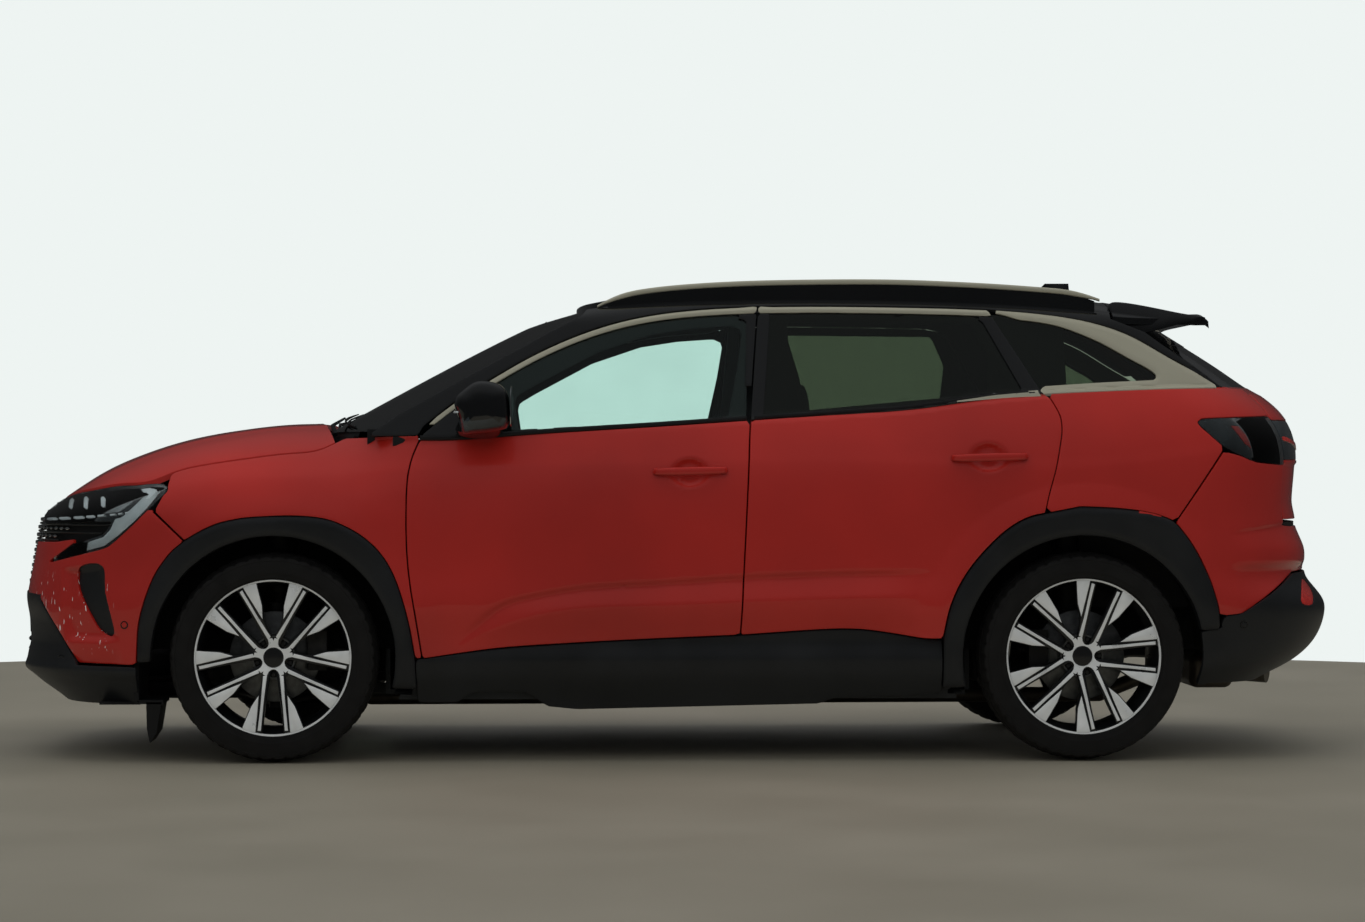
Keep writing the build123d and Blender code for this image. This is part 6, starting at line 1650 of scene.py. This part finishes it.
def spoke_meshes(centre, first):
    """Black and turned parts of five spoke pairs, the star, the hub and its nuts."""
    angles = [math.radians(first + 72 * k) for k in range(5)]
    black, bright = [], []
    for a in angles:
        for m in (-1, 1):
            mirrored = lambda pairs: [(r, q * m) for r, q in pairs]
            black.append(spoke_plate(centre, mirrored(SPOKE_BODY), a, -34, 0, 3))
            bright.append(spoke_plate(centre, mirrored(SPOKE_LINE), a, -4, 3.4, 1.0))
            bright.append(spoke_plate(centre, mirrored(SPOKE_BLADE), a, -4, 3.4, 1.2))
    star = []
    for k in range(5):
        for turn, outer in STAR:
            a = math.radians(first + 72 * k + turn)
            section = ((33.4, -4), (33.4, 3.4), (outer - 1, 3.4), (outer, 2.4), (outer, -4))
            star.append([(centre[0] + r * math.cos(a), centre[1] - FACE - dish(r) - c,
                          centre[2] + r * math.sin(a)) for r, c in section])
    points, faces = lofted(star + star[:1], False)
    bright.append((points, outward(points, faces)))
    cap = [(70, 26), (70, 40), (60, 45), (34, 46), (33, 70), (31, 73), (26, 74), (0.5, 74.5)]
    hub, faces = revolved(cap, 60, centre, False)
    black.append((hub, outward(hub, faces)))
    bolt, bolt_circle = [(14, 42), (14, 48), (9.5, 48.5), (9, 57), (7, 59), (0.5, 59)], 57
    for a in angles:
        x, z = centre[0] + bolt_circle * math.cos(a), centre[2] + bolt_circle * math.sin(a)
        nut, faces = revolved(bolt, 6, (x, centre[1], z), False)
        black.append((nut, outward(nut, faces)))
    return joined(*black), joined(*bright)


def make_wheels():
    """Four wheels, each a tyre, a black rim with turned faces, a brake disc and a valve."""
    rim = RIM_RADIUS
    barrel = [(rim - 1, 96), (rim - 4, 100), (rim - 9, 99), (rim - 13, 92), (rim - 15, 74), (rim - 22, 60),
              (rim - 30, 0), (rim - 30, -60), (rim - 16, -82), (rim - 4, -90), (rim - 1, -86), (rim - 9, -76),
              (rim - 22, -56), (rim - 22, 0), (rim - 16, 56), (rim - 8, 84)]
    lip = [(rim - 1.5, 97.5), (rim - 2, 100.6), (rim - 6, 101.6), (rim - 10.5, 100.2), (rim - 12, 96)]
    brake = [(149.5, 0), (149.5, -20), (80, -20), (66, -6), (66, 58), (71, 58), (75, 4), (82, 1), (148, 1.4)]
    for name, axle, side, first in wheel_spots():
        centre = (axle.x, axle.y, axle.z)
        body = f"wheel_{name}"

        def ring(part, mesh, material, **more):
            points, faces = mesh
            mesh_piece(f"{part}_{name}", points, outward(points, faces), material, body, side=side, **more)

        ring("tyre_tread", tyre_mesh(centre), "rubber", replaces=(f"tyre_{name}",), slot="tyre", sharp=32)
        ring("rim_barrel", revolved(barrel, 144, centre), "wheel_black", replaces=(f"rim_{name}",), slot="rim")
        ring("rim_lip", revolved(lip, 144, centre), "turned")
        black, bright = spoke_meshes(centre, first)
        mesh_piece(f"spokes_black_{name}", *black, "wheel_black", body, side=side, sharp=35)
        mesh_piece(f"spokes_turned_{name}", *bright, "turned", body, side=side, sharp=35)
        ring("brake_disc", revolved(brake, 120, centre), "disc")
        x, y, z = centre
        valve = tube([(x + 226, y - 62, z), (x + 216, y - 84, z)], 4, 8)
        mesh_piece(f"valve_{name}", *valve, "rubber", body, side=side)


# ---------------------------------------------------------------- cabin
UPHOLSTERY = ("cloth", "bolster")    # middle panels and bolsters


def cushion(name, outline, y0, y1, end_round, shape, materials, seams=(), body="body", step=18,
            columns=44, fill=0.75, soft=True, **more):
    """A closed upholstered form: a side outline carried across the car, crowned and drawn in at its seams."""
    line = np.array(flow(outline, step, True))
    turn = np.roll(line, -1, 0) - np.roll(line, 1, 0)
    normal = np.stack([turn[:, 1], -turn[:, 0]], 1)
    normal /= np.linalg.norm(normal, axis=1)[:, None]
    area = np.sum(line[:, 0] * np.roll(line[:, 1], -1) - np.roll(line[:, 0], -1) * line[:, 1])
    normal *= 1 if area > 0 else -1
    mid, half = (y0 + y1) / 2, (y1 - y0) / 2
    ends = np.array([0.0, 0.04, 0.12, 0.26, 0.45, 0.7, 1.0]) * end_round
    inner = np.linspace(y0 + end_round, y1 - end_round, columns)[1:-1]
    stations = np.concatenate([y0 + ends, inner, (y1 - ends)[::-1]])
    sections = []
    for y in stations:
        e = np.clip(1 - min(y - y0, y1 - y) / end_round, 0, 1)
        inset = end_round * (1 - math.sqrt(max(0.0, 1 - e * e)))
        v = (y - mid) / half
        lift = shape(line[:, 0], line[:, 1], v)
        for at, width, deep in seams:
            lift = lift - deep * np.exp(-(((y - mid) - at) / width) ** 2)
        sections.append(np.column_stack([line[:, 0] + normal[:, 0] * (lift - inset), np.full(len(line), y),
                                         line[:, 1] + normal[:, 1] * (lift - inset)]))
    points, faces = lofted(sections)
    faces = outward(points, faces)
    centres = np.array([points[list(f)].mean(0) for f in faces])
    panels = [abs(at) for at, _, _ in seams]
    limit = max(panels) if panels else 1e9
    kinds = [1 if abs(c[1] - mid) > limit else 0 for c in centres]
    for made in mesh_piece(name, points, faces, materials, body, kinds, **more):
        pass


def make_front_seats():
    """Front seats: cushion, back and head rest, with stems, base, seams and belt."""
    cushion_line = [(-326, 404), (-345, 462), (-338, 510), (-298, 528), (-120, 508), (60, 492), (172, 486),
                    (194, 440), (184, 404)]
    back_line = [(128, 486), (186, 476), (240, 450), (300, 500), (335, 610), (370, 800), (400, 990),
                 (390, 1056), (345, 1084), (300, 1076), (262, 1000), (236, 900), (222, 780), (204, 640),
                 (168, 540)]
    head_line = [(334, 1108), (332, 1172), (348, 1238), (385, 1252), (420, 1242), (436, 1180), (432, 1116),
                 (385, 1104)]
    top = lambda x, z: ease((z - 470) / 20)
    seat = lambda x, z, v: top(x, z) * (20 * ease((abs(v) - 0.62) / 0.2) + 7 * (1 - min(1, abs(v) / 0.6) ** 2)
                                        - 3.5 * np.exp(-((x + 40) / 7) ** 2) * (abs(v) < 0.6)
                                        - 3.5 * np.exp(-((x + 200) / 7) ** 2) * (abs(v) < 0.6))
    front = lambda x, z: ease((250 + 0.35 * (z - 800) - x) / 30)
    back = lambda x, z, v: front(x, z) * (
        ease((z - 520) / 60) * 34 * ease((abs(v) - 0.6) / 0.25) * ease((1060 - z) / 200)
        + 8 * (1 - min(1, abs(v) / 0.6) ** 2)
        - 3.5 * (np.exp(-((z - 640) / 7) ** 2) + np.exp(-((z - 930) / 7) ** 2)) * (abs(v) < 0.6))
    cushion("seat_cushion_{side}", cushion_line, -620, -130, 26, seat, UPHOLSTERY, [(-152, 6, 6), (152, 6, 6)],
            replaces=("front_seats",), slot="cloth")
    cushion("seat_back_{side}", back_line, -610, -140, 26, back, UPHOLSTERY, [(-142, 6, 6), (142, 6, 6)],
            fill=0.7)
    cushion("head_rest_{side}", head_line, -500, -250, 34, lambda x, z, v: 5 * (1 - v * v), "cloth",
            columns=24, fill=0.8)
    stems = [tube([(372, y, 1040), (374, y, 1090), (380, y, 1125)], 6.5, 12) for y in (-432, -318)]
    base = [block(-250, 120, -556, -194, 232, 396, 8), block(-300, 160, -580, -548, 222, 250, 4),
            block(-300, 160, -202, -170, 222, 250, 4)]
    mesh_piece("seat_stems_{side}", *joined(*stems), "steel", "body")
    mesh_piece("seat_base_{side}", *joined(*base), "matt_plastic", "body")
    lines = []
    for y in (-527, -223):
        x = np.linspace(-300, 150, 50)
        zs = np.interp(x, [-338, -298, -120, 60, 172], [510, 528, 508, 492, 486]) + 2.5
        lines.append(tube(np.stack([x, np.full(50, y), zs], 1), 1.5, 6))
    mesh_piece("seat_seams_{side}", *joined(*lines), "stitch", "body")
    # belt on the pillar
    belt = slab(box_outline(-24, 24, 0, 620), 0, 1.6, 0.5,
                lambda a, b, c: (215 + a - 0.1 * b, -655 + 0.13 * b + c, 480 + b))
    mesh_piece("seat_belt_{side}", *belt, "cloth", "body")


def make_rear_bench():
    """Rear bench in three places with its head rests."""
    seat_line = [(522, 352), (507, 430), (510, 498), (548, 524), (740, 504), (932, 486), (948, 420),
                 (942, 354)]
    back_line = [(908, 490), (955, 478), (1010, 492), (1062, 640), (1176, 1050), (1150, 1096), (1090, 1086),
                 (1012, 860), (934, 570)]
    waves = lambda v: 8 * abs(math.sin(1.5 * math.pi * v)) ** 0.6
    seat = lambda x, z, v: ease((z - 470) / 20) * (waves(v) - 3 * np.exp(-((x - 700) / 7) ** 2))
    face = lambda x, z: ease((1005 + 0.27 * (z - 700) - x) / 40)
    back = lambda x, z, v: face(x, z) * (waves(v) - 3 * np.exp(-((z - 860) / 7) ** 2))
    seams = [(-184, 6, 6), (184, 6, 6)]
    cushion("bench_cushion", seat_line, -552, 552, 30, seat, "cloth", seams, columns=70,
            replaces=("rear_bench",), slot="cloth", fill=0.8)
    cushion("bench_back", back_line, -552, 552, 28, back, "cloth", seams, columns=70, fill=0.7)
    head = [(1098, 1092), (1112, 1160), (1130, 1212), (1160, 1222), (1186, 1208), (1182, 1140), (1172, 1090),
            (1134, 1084)]
    for n, y in enumerate((-380, 0, 380)):
        cushion(f"bench_head_rest_{n}", head, y - 112, y + 112, 30, lambda x, z, v: 4 * (1 - v * v), "cloth",
                columns=20, fill=0.8)
    mesh_piece("bench_base", *block(562, 876, -500, 500, 217, 344, 6), "carpet", "body")


def make_dashboard():
    """Dashboard with its hood, screens, inlay, vents and steering column."""
    outline = [(-980, 1016), (-900, 1034), (-780, 1036), (-700, 1010), (-674, 976), (-668, 930), (-690, 905),
               (-690, 868), (-664, 845), (-652, 800), (-676, 740), (-724, 692), (-850, 690), (-980, 692)]
    cushion("dashboard_pad", outline, -678, 678, 24, lambda x, z, v: -2.0 * (np.abs(z - 905) < 8),
            "soft_trim", columns=30, soft=False, replaces=("dashboard",), slot="soft_trim")
    hood = [(-800, 1034), (-760, 1058), (-676, 1062), (-668, 1052), (-688, 1036), (-700, 1010)]
    cushion("instrument_hood", hood, -520, -210, 22, lambda x, z, v: -6 * v * v, "soft_trim", step=10,
            columns=30, soft=False)
    face = slab(flow([(-500, 950), (-506, 1040), (-226, 1044), (-222, 950)], 20, True), 0, 5, 2,
                lambda a, b, c: (-672 + c, a, b))
    mesh_piece("instrument_screen", *face, "screen", "body")
    screen_line = flow([(-98, 760), (-104, 1040), (-96, 1056), (96, 1056), (104, 1040), (98, 760)], 14, True)
    centre = slab(screen_line, 0, 12, 4, lambda a, b, c: (-648 + c - 0.12 * (b - 900), a, b))
    mesh_piece("centre_screen", *centre, "screen", "body")
    trim = slab(box_outline(120, 640, 868, 902), 0, 5, 2, lambda a, b, c: (-686 + c, a, b))
    mesh_piece("dashboard_inlay", *trim, "satin", "body")
    vents = []
    for y0, y1 in ((-640, -540), (120, 220), (540, 640)):
        for z in (930, 942, 954, 966):
            vents.append(block(-676, -662, y0, y1, z, z + 5, 1.2))
    mesh_piece("air_vents", *joined(*vents), "gloss_plastic", "body")
    column = tube([(-668, -370, 895), (-590, -370, 931)], [38, 30], 28)
    stalks = [tube([(-610, -370, 922), (-598, -370 + s * 120, 932), (-596, -370 + s * 190, 940)],
                   [9, 8, 11], 12) for s in (-1, 1)]
    mesh_piece("column_shroud", *joined(column, *stalks), "matt_plastic", "body")


def make_steering_wheel():
    """Steering wheel with a flattened foot, on a shaft tilted 25 degrees from level."""
    centre = np.array([-561.0, centre_of("steering_wheel").y, 945.0])
    shaft = np.array([math.cos(math.radians(25)), 0, math.sin(math.radians(25))])
    up = np.array([-shaft[2], 0, shaft[0]])
    across = np.array([0, 1.0, 0])
    rim, rows = [], 96
    for a in np.linspace(0, 2 * math.pi, rows, endpoint=False):
        flat = min(1.0, 158 / (172 * max(0.92, -math.sin(a)))) if math.sin(a) < -0.9 else 1.0
        way = math.cos(a) * across + math.sin(a) * up * flat
        for b in np.linspace(0, 2 * math.pi, 16, endpoint=False):
            thick = 15 - 1.2 * (abs(math.cos(a)) > 0.93)
            rim.append(centre + way * (171 + thick * math.cos(b)) + shaft * thick * math.sin(b))
    faces = []
    for i in range(rows):
        for j in range(16):
            faces.append((i * 16 + j, ((i + 1) % rows) * 16 + j, ((i + 1) % rows) * 16 + (j + 1) % 16,
                          i * 16 + (j + 1) % 16))
    rim = np.array(rim)
    mesh_piece("steering_rim", rim, outward(rim, faces), "bolster", "steering_wheel",
               replaces=("steering_wheel",), slot="soft_trim")
    place = lambda a, b, c: centre + across * a + up * b + shaft * c
    pad_line = [(-62, 28), (-48, 46), (0, 52), (48, 46), (62, 28), (56, -30), (30, -54), (-30, -54),
                (-56, -30)]
    pad = slab(flow(pad_line, 10, True), -14, 22, 9, place)
    arms = [slab(flow([(s * 50, 22), (s * 164, 26), (s * 164, -8), (s * 50, -26)], 14, True), -6, 10, 4, place)
            for s in (-1, 1)]
    low_arm = slab(flow([(-16, -46), (-20, -160), (20, -160), (16, -46)], 14, True), -6, 8, 3, place)
    mesh_piece("steering_pad", *joined(pad, *arms), "soft_trim", "steering_wheel")
    mesh_piece("steering_lower_spoke", *low_arm, "satin", "steering_wheel")
    shaft_rod = tube([centre - shaft * 130, centre - shaft * 10], 14, 16)
    mesh_piece("steering_shaft", *shaft_rod, "matt_plastic", "steering_wheel")


def make_cabin_trim():
    """Console, selector, headliner, carpet, load cover, side trims and inner mirror."""
    top = [(-648, 300), (-650, 560), (-640, 690), (-560, 690), (-450, 590), (-380, 562), (-100, 572),
           (-60, 598), (220, 602), (248, 560), (250, 302)]
    cushion("console_body", top, -104, 104, 16, lambda x, z, v: 0.0, "soft_trim", columns=12, soft=False,
            replaces=("centre_console",), slot="soft_trim")
    rest = [(-60, 602), (-66, 622), (-40, 636), (190, 640), (222, 626), (220, 603)]
    cushion("console_armrest", rest, -88, 88, 18, lambda x, z, v: 3 * (1 - v * v), "bolster", step=14,
            columns=14, fill=0.8)
    stick = tube([(-330, 0, 566), (-332, 0, 600), (-326, 0, 622)], [16, 12, 20], 20)
    mesh_piece("drive_selector", *stick, "gloss_plastic", "body")
    liner = lambda x, y: np.stack([x, y, roof_surface(x, y) - 40 - 20 * np.abs(y / 560) ** 8], -1)
    panel("headliner", liner, steps(-200, 1300, 50), steps(-555, 555, 28), anywhere, "headliner", "body",
          depth=6.0, radius=2.5, inward=(0, 0, 1), centre=(0, 0, 3000))
    carpets = [block(-960, 930, 132, 722, 217, 224, 3), block(-960, 930, -722, -132, 217, 224, 3),
               block(-980, 560, -132, 132, 300.6, 306, 3), block(985, 2015, -535, 535, 481, 488, 3)]
    mesh_piece("carpet", *joined(*carpets), "carpet", "body")
    shelf = slab(flow([(-560, 1195), (-540, 1840), (0, 1900), (540, 1840), (560, 1195)], 40, True), 0, 12, 5,
                 lambda a, b, c: (b, a, 1050 + c))
    mesh_piece("load_cover", *shelf, "carpet", "body")
    wall = lambda x, z: np.stack([x, -np.minimum(side_y(x, z) - 96, 600), z], -1)
    panel("load_side_trim_{side}", wall, steps(1260, 1960, 24), steps(500, 1190, 24), anywhere,
          "soft_trim", "body", depth=6.0, radius=3.0, inward=(0, -1, 0), centre=(1600, -3000, 800))
    mirror_line = [(-118, 0), (-112, 32), (0, 38), (112, 32), (118, 0), (108, -30), (0, -34), (-108, -30)]
    mirror = slab(flow(mirror_line, 14, True), 0, 22, 6, lambda a, b, c: (-392 - c, a, 1416 + b))
    stem = tube([(-414, 0, 1430), (-440, 0, 1456), (-462, 0, 1474)], 9, 12)
    mesh_piece("inner_mirror", *joined(mirror, stem), "matt_plastic", "body")


# ---------------------------------------------------------------- frame pieces and the stage
FRAME_FINISH = {
    "primer": ("body_side_frames", "floor_pan"),
    "liner_felt": ("wheel_liners",),
    "casting": ("engine_block", "knuckle_left", "knuckle_right"),
    "matt_plastic": ("engine_undertray", "fuel_tank"),
    "exhaust_steel": ("exhaust",),
    "enamel": ("front_suspension", "rear_suspension"),
}


def dress_frame():
    """Gives every CAD node that stays in view its own material."""
    finishes = {node: key for key, names in FRAME_FINISH.items() for node in names}
    for node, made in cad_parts.items():
        made.data.materials.clear()
        made.data.materials.append(MATERIALS[finishes.get(node, "matt_plastic")])


def lamp(name, place, aim, size, watts):
    """A rectangular soft lamp that mirror-like faces don't show."""
    light = bpy.data.lights.new(name, "AREA")
    light.shape, light.size, light.size_y, light.energy = "RECTANGLE", size[0], size[1], watts
    made = bpy.data.objects.new(name, light)
    made.location = place
    made.rotation_euler = (Vector(aim) - Vector(place)).to_track_quat("-Z", "Y").to_euler()
    made.visible_glossy = False
    bpy.context.scene.collection.objects.link(made)


def plain_sheet(name, corners, material):
    """A flat face of the stage."""
    mesh = bpy.data.meshes.new(name)
    mesh.from_pydata(corners, [], [tuple(range(len(corners)))])
    mesh.materials.append(material)
    made = bpy.data.objects.new(name, mesh)
    bpy.context.scene.collection.objects.link(made)
    return made


def make_stage(options):
    """Round studio floor, soft world, three lamps and a camera square to the vehicle's left side."""
    scene = bpy.context.scene
    scene.view_settings.view_transform = "Standard"
    # matt sealed studio floor: pale warm grey, faintly mottled
    floor = finish("sealed_studio_floor", ("#7f7a6b", "#888273"), 0.6, 900.0, 30.0, 0.1)
    floor_radius, floor_sides = 6.1, 96
    edge = [(floor_radius * math.cos(a), floor_radius * math.sin(a), 0)
            for a in np.linspace(0, 2 * math.pi, floor_sides + 1)[:-1]]
    plain_sheet("floor", edge, floor)
    world = bpy.data.worlds.new("soft_studio")
    world.use_nodes = True
    tree = world.node_tree
    tree.nodes.clear()
    path = add_node(tree, "ShaderNodeLightPath")
    soft = add_node(tree, "ShaderNodeBackground", None, {"Color": (0.95, 0.98, 1.0, 1), "Strength": 0.62})
    # mirror-like faces see a dim wall that grows brighter towards the ceiling
    height = add_node(tree, "ShaderNodeSeparateXYZ", None, None,
                      {"Vector": add_node(tree, "ShaderNodeTexCoord").outputs["Generated"]})
    rise = add_node(tree, "ShaderNodeMapRange", {"interpolation_type": "SMOOTHSTEP"},
                    {"From Min": 0.12, "From Max": 1.0, "To Min": 0.03, "To Max": 0.15},
                    {"Value": height.outputs["Z"]})
    dull = add_node(tree, "ShaderNodeBackground", None, {"Color": (0.95, 0.98, 1.0, 1)},
                    {"Strength": rise.outputs["Result"]})
    dim = add_node(tree, "ShaderNodeMixShader", None, None,
                   {"Fac": path.outputs["Is Glossy Ray"], 1: soft.outputs["Background"],
                    2: dull.outputs["Background"]})
    pale = add_node(tree, "ShaderNodeBackground", None, {"Color": linear("#eef4f2"), "Strength": 1.0})
    mixed = add_node(tree, "ShaderNodeMixShader", None, None,
                     {"Fac": path.outputs["Is Camera Ray"], 1: dim.outputs["Shader"],
                      2: pale.outputs["Background"]})
    add_node(tree, "ShaderNodeOutputWorld", None, None, {"Surface": mixed.outputs["Shader"]})
    scene.world = world
    lamp("ceiling", (0, 0, 6.0), (0, 0, 0), (9.0, 6.0), 165)
    lamp("side_wall", (-1.5, -9.0, 5.2), (0, 0, 0.7), (9.0, 4.0), 120)
    lamp("far_wall", (0.5, 8.5, 3.6), (0, 0, 0.8), (9.0, 3.5), 120)
    camera_data = bpy.data.cameras.new("camera")
    camera_data.lens, camera_data.sensor_width = options.lens, 36.0
    camera_data.clip_end = 200.0
    camera = bpy.data.objects.new("camera", camera_data)
    camera.location = (-0.47, -12.87, 0.99)
    camera.rotation_euler = (math.radians(90), 0, -options.camera_yaw)
    scene.collection.objects.link(camera)
    scene.camera = camera


# ---------------------------------------------------------------- add-on
class VehicleOptions(bpy.types.PropertyGroup):
    paint: bpy.props.StringProperty(
        name="Body colour", description="Lit colour of the red lacquer as sRGB hex", default="#b51e13")
    paint_dark: bpy.props.StringProperty(
        name="Body shade", description="Deeper colour of the red lacquer as sRGB hex", default="#98170d")
    cladding: bpy.props.StringProperty(
        name="Cladding colour", description="Colour of the grained plastic as sRGB hex", default="#111315")
    lens: bpy.props.FloatProperty(
        name="Focal length", description="Focal length of the stage's camera, in millimetres",
        default=96.3, min=20.0, max=400.0, unit="CAMERA")
    camera_yaw: bpy.props.FloatProperty(
        name="Camera yaw", description="Turn of the camera towards the tail",
        default=math.radians(2.2), subtype="ANGLE", unit="ROTATION")


class VEHICLE_OT_materials(bpy.types.Operator):
    """Makes the materials and dresses the frame's own pieces"""
    bl_idname = "vehicle.materials"
    bl_label = "Materials"

    def execute(self, context):
        make_materials(context.scene.vehicle_options)
        dress_frame()
        return {"FINISHED"}


class VEHICLE_OT_doors(bpy.types.Operator):
    """Builds the four doors with their glass, handles and trim"""
    bl_idname = "vehicle.doors"
    bl_label = "Doors"

    def execute(self, context):
        make_doors()
        return {"FINISHED"}


class VEHICLE_OT_hinges(bpy.types.Operator):
    """Builds the door, bonnet and tailgate hinges"""
    bl_idname = "vehicle.hinges"
    bl_label = "Hinges"

    def execute(self, context):
        make_hinges()
        return {"FINISHED"}


class VEHICLE_OT_fenders(bpy.types.Operator):
    """Builds the front fenders"""
    bl_idname = "vehicle.fenders"
    bl_label = "Front fenders"

    def execute(self, context):
        make_fenders()
        return {"FINISHED"}


class VEHICLE_OT_quarters(bpy.types.Operator):
    """Builds the rear quarter panels, their glass and blades"""
    bl_idname = "vehicle.quarters"
    bl_label = "Rear quarters"

    def execute(self, context):
        make_quarters()
        return {"FINISHED"}


class VEHICLE_OT_bonnet(bpy.types.Operator):
    """Builds the bonnet with its hinge arms"""
    bl_idname = "vehicle.bonnet"
    bl_label = "Bonnet"

    def execute(self, context):
        make_bonnet()
        return {"FINISHED"}


class VEHICLE_OT_front(bpy.types.Operator):
    """Builds the front bumper, its intakes and the grille"""
    bl_idname = "vehicle.front"
    bl_label = "Front bumper and grille"

    def execute(self, context):
        make_front()
        return {"FINISHED"}


class VEHICLE_OT_claddings(bpy.types.Operator):
    """Builds the arch and sill claddings"""
    bl_idname = "vehicle.claddings"
    bl_label = "Claddings"

    def execute(self, context):
        make_claddings()
        return {"FINISHED"}


class VEHICLE_OT_deflectors(bpy.types.Operator):
    """Builds the air flaps ahead of the front tyres"""
    bl_idname = "vehicle.deflectors"
    bl_label = "Air flaps"

    def execute(self, context):
        make_deflectors()
        return {"FINISHED"}


class VEHICLE_OT_rear(bpy.types.Operator):
    """Builds the rear bumper and the sill under the tailgate"""
    bl_idname = "vehicle.rear"
    bl_label = "Rear bumper"

    def execute(self, context):
        make_rear()
        return {"FINISHED"}


class VEHICLE_OT_sensors(bpy.types.Operator):
    """Builds the parking sensors in both bumpers"""
    bl_idname = "vehicle.sensors"
    bl_label = "Parking sensors"

    def execute(self, context):
        make_sensors()
        return {"FINISHED"}


class VEHICLE_OT_roof(bpy.types.Operator):
    """Builds the roof, its sides and the rails"""
    bl_idname = "vehicle.roof"
    bl_label = "Roof and rails"

    def execute(self, context):
        make_roof()
        return {"FINISHED"}


class VEHICLE_OT_windscreen(bpy.types.Operator):
    """Builds the windscreen, the scuttle and the wipers"""
    bl_idname = "vehicle.windscreen"
    bl_label = "Windscreen"

    def execute(self, context):
        make_windscreen()
        return {"FINISHED"}


class VEHICLE_OT_fin(bpy.types.Operator):
    """Builds the aerial fin"""
    bl_idname = "vehicle.fin"
    bl_label = "Aerial fin"

    def execute(self, context):
        make_fin()
        return {"FINISHED"}


class VEHICLE_OT_tailgate(bpy.types.Operator):
    """Builds the tailgate with its window, lamps and spoiler"""
    bl_idname = "vehicle.tailgate"
    bl_label = "Tailgate"

    def execute(self, context):
        make_tailgate()
        return {"FINISHED"}


class VEHICLE_OT_headlamps(bpy.types.Operator):
    """Builds the headlamps"""
    bl_idname = "vehicle.headlamps"
    bl_label = "Headlamps"

    def execute(self, context):
        make_headlamps()
        return {"FINISHED"}


class VEHICLE_OT_tail_lamps(bpy.types.Operator):
    """Builds the tail lamps"""
    bl_idname = "vehicle.tail_lamps"
    bl_label = "Tail lamps"

    def execute(self, context):
        make_tail_lamps()
        return {"FINISHED"}


class VEHICLE_OT_mirrors(bpy.types.Operator):
    """Builds the door mirrors"""
    bl_idname = "vehicle.mirrors"
    bl_label = "Door mirrors"

    def execute(self, context):
        make_mirrors()
        return {"FINISHED"}


class VEHICLE_OT_wheels(bpy.types.Operator):
    """Builds the tyres, rims and brake discs"""
    bl_idname = "vehicle.wheels"
    bl_label = "Wheels"

    def execute(self, context):
        make_wheels()
        return {"FINISHED"}


class VEHICLE_OT_front_seats(bpy.types.Operator):
    """Builds the front seats with their belts"""
    bl_idname = "vehicle.front_seats"
    bl_label = "Front seats"

    def execute(self, context):
        make_front_seats()
        return {"FINISHED"}


class VEHICLE_OT_rear_bench(bpy.types.Operator):
    """Builds the rear bench and its head rests"""
    bl_idname = "vehicle.rear_bench"
    bl_label = "Rear bench"

    def execute(self, context):
        make_rear_bench()
        return {"FINISHED"}


class VEHICLE_OT_dashboard(bpy.types.Operator):
    """Builds the dashboard, its screens and vents"""
    bl_idname = "vehicle.dashboard"
    bl_label = "Dashboard"

    def execute(self, context):
        make_dashboard()
        return {"FINISHED"}


class VEHICLE_OT_steering_wheel(bpy.types.Operator):
    """Builds the steering wheel"""
    bl_idname = "vehicle.steering_wheel"
    bl_label = "Steering wheel"

    def execute(self, context):
        make_steering_wheel()
        return {"FINISHED"}


class VEHICLE_OT_cabin_trim(bpy.types.Operator):
    """Builds the console, carpet, headliner and covers"""
    bl_idname = "vehicle.cabin_trim"
    bl_label = "Cabin trim"

    def execute(self, context):
        make_cabin_trim()
        return {"FINISHED"}


class VEHICLE_OT_stage(bpy.types.Operator):
    """Builds the floor, the soft lamps, the world and the camera"""
    bl_idname = "vehicle.stage"
    bl_label = "Stage"

    def execute(self, context):
        make_stage(context.scene.vehicle_options)
        return {"FINISHED"}


OPERATORS = (VEHICLE_OT_materials, VEHICLE_OT_doors, VEHICLE_OT_hinges, VEHICLE_OT_fenders,
             VEHICLE_OT_quarters, VEHICLE_OT_bonnet, VEHICLE_OT_front, VEHICLE_OT_claddings,
             VEHICLE_OT_deflectors, VEHICLE_OT_rear, VEHICLE_OT_sensors, VEHICLE_OT_roof,
             VEHICLE_OT_windscreen, VEHICLE_OT_fin, VEHICLE_OT_tailgate, VEHICLE_OT_headlamps,
             VEHICLE_OT_tail_lamps, VEHICLE_OT_mirrors, VEHICLE_OT_wheels, VEHICLE_OT_front_seats,
             VEHICLE_OT_rear_bench, VEHICLE_OT_dashboard, VEHICLE_OT_steering_wheel, VEHICLE_OT_cabin_trim,
             VEHICLE_OT_stage)


class VEHICLE_PT_pieces(bpy.types.Panel):
    """Lists the vehicle's options and its pieces"""
    bl_label = "Vehicle"
    bl_idname = "VEHICLE_PT_pieces"
    bl_space_type = "VIEW_3D"
    bl_region_type = "UI"
    bl_category = "Vehicle"

    def draw(self, context):
        for name in VehicleOptions.__annotations__:
            self.layout.prop(context.scene.vehicle_options, name)
        for operator in OPERATORS:
            self.layout.operator(operator.bl_idname)


CLASSES = (VehicleOptions, *OPERATORS, VEHICLE_PT_pieces)


def register():
    for cls in CLASSES:
        bpy.utils.register_class(cls)
    bpy.types.Scene.vehicle_options = bpy.props.PointerProperty(type=VehicleOptions)


def unregister():
    del bpy.types.Scene.vehicle_options
    for cls in reversed(CLASSES):
        bpy.utils.unregister_class(cls)


def main():
    register()
    for operator in OPERATORS:
        getattr(bpy.ops.vehicle, operator.bl_idname.split(".")[1])()


if __name__ == "__main__":
    main()
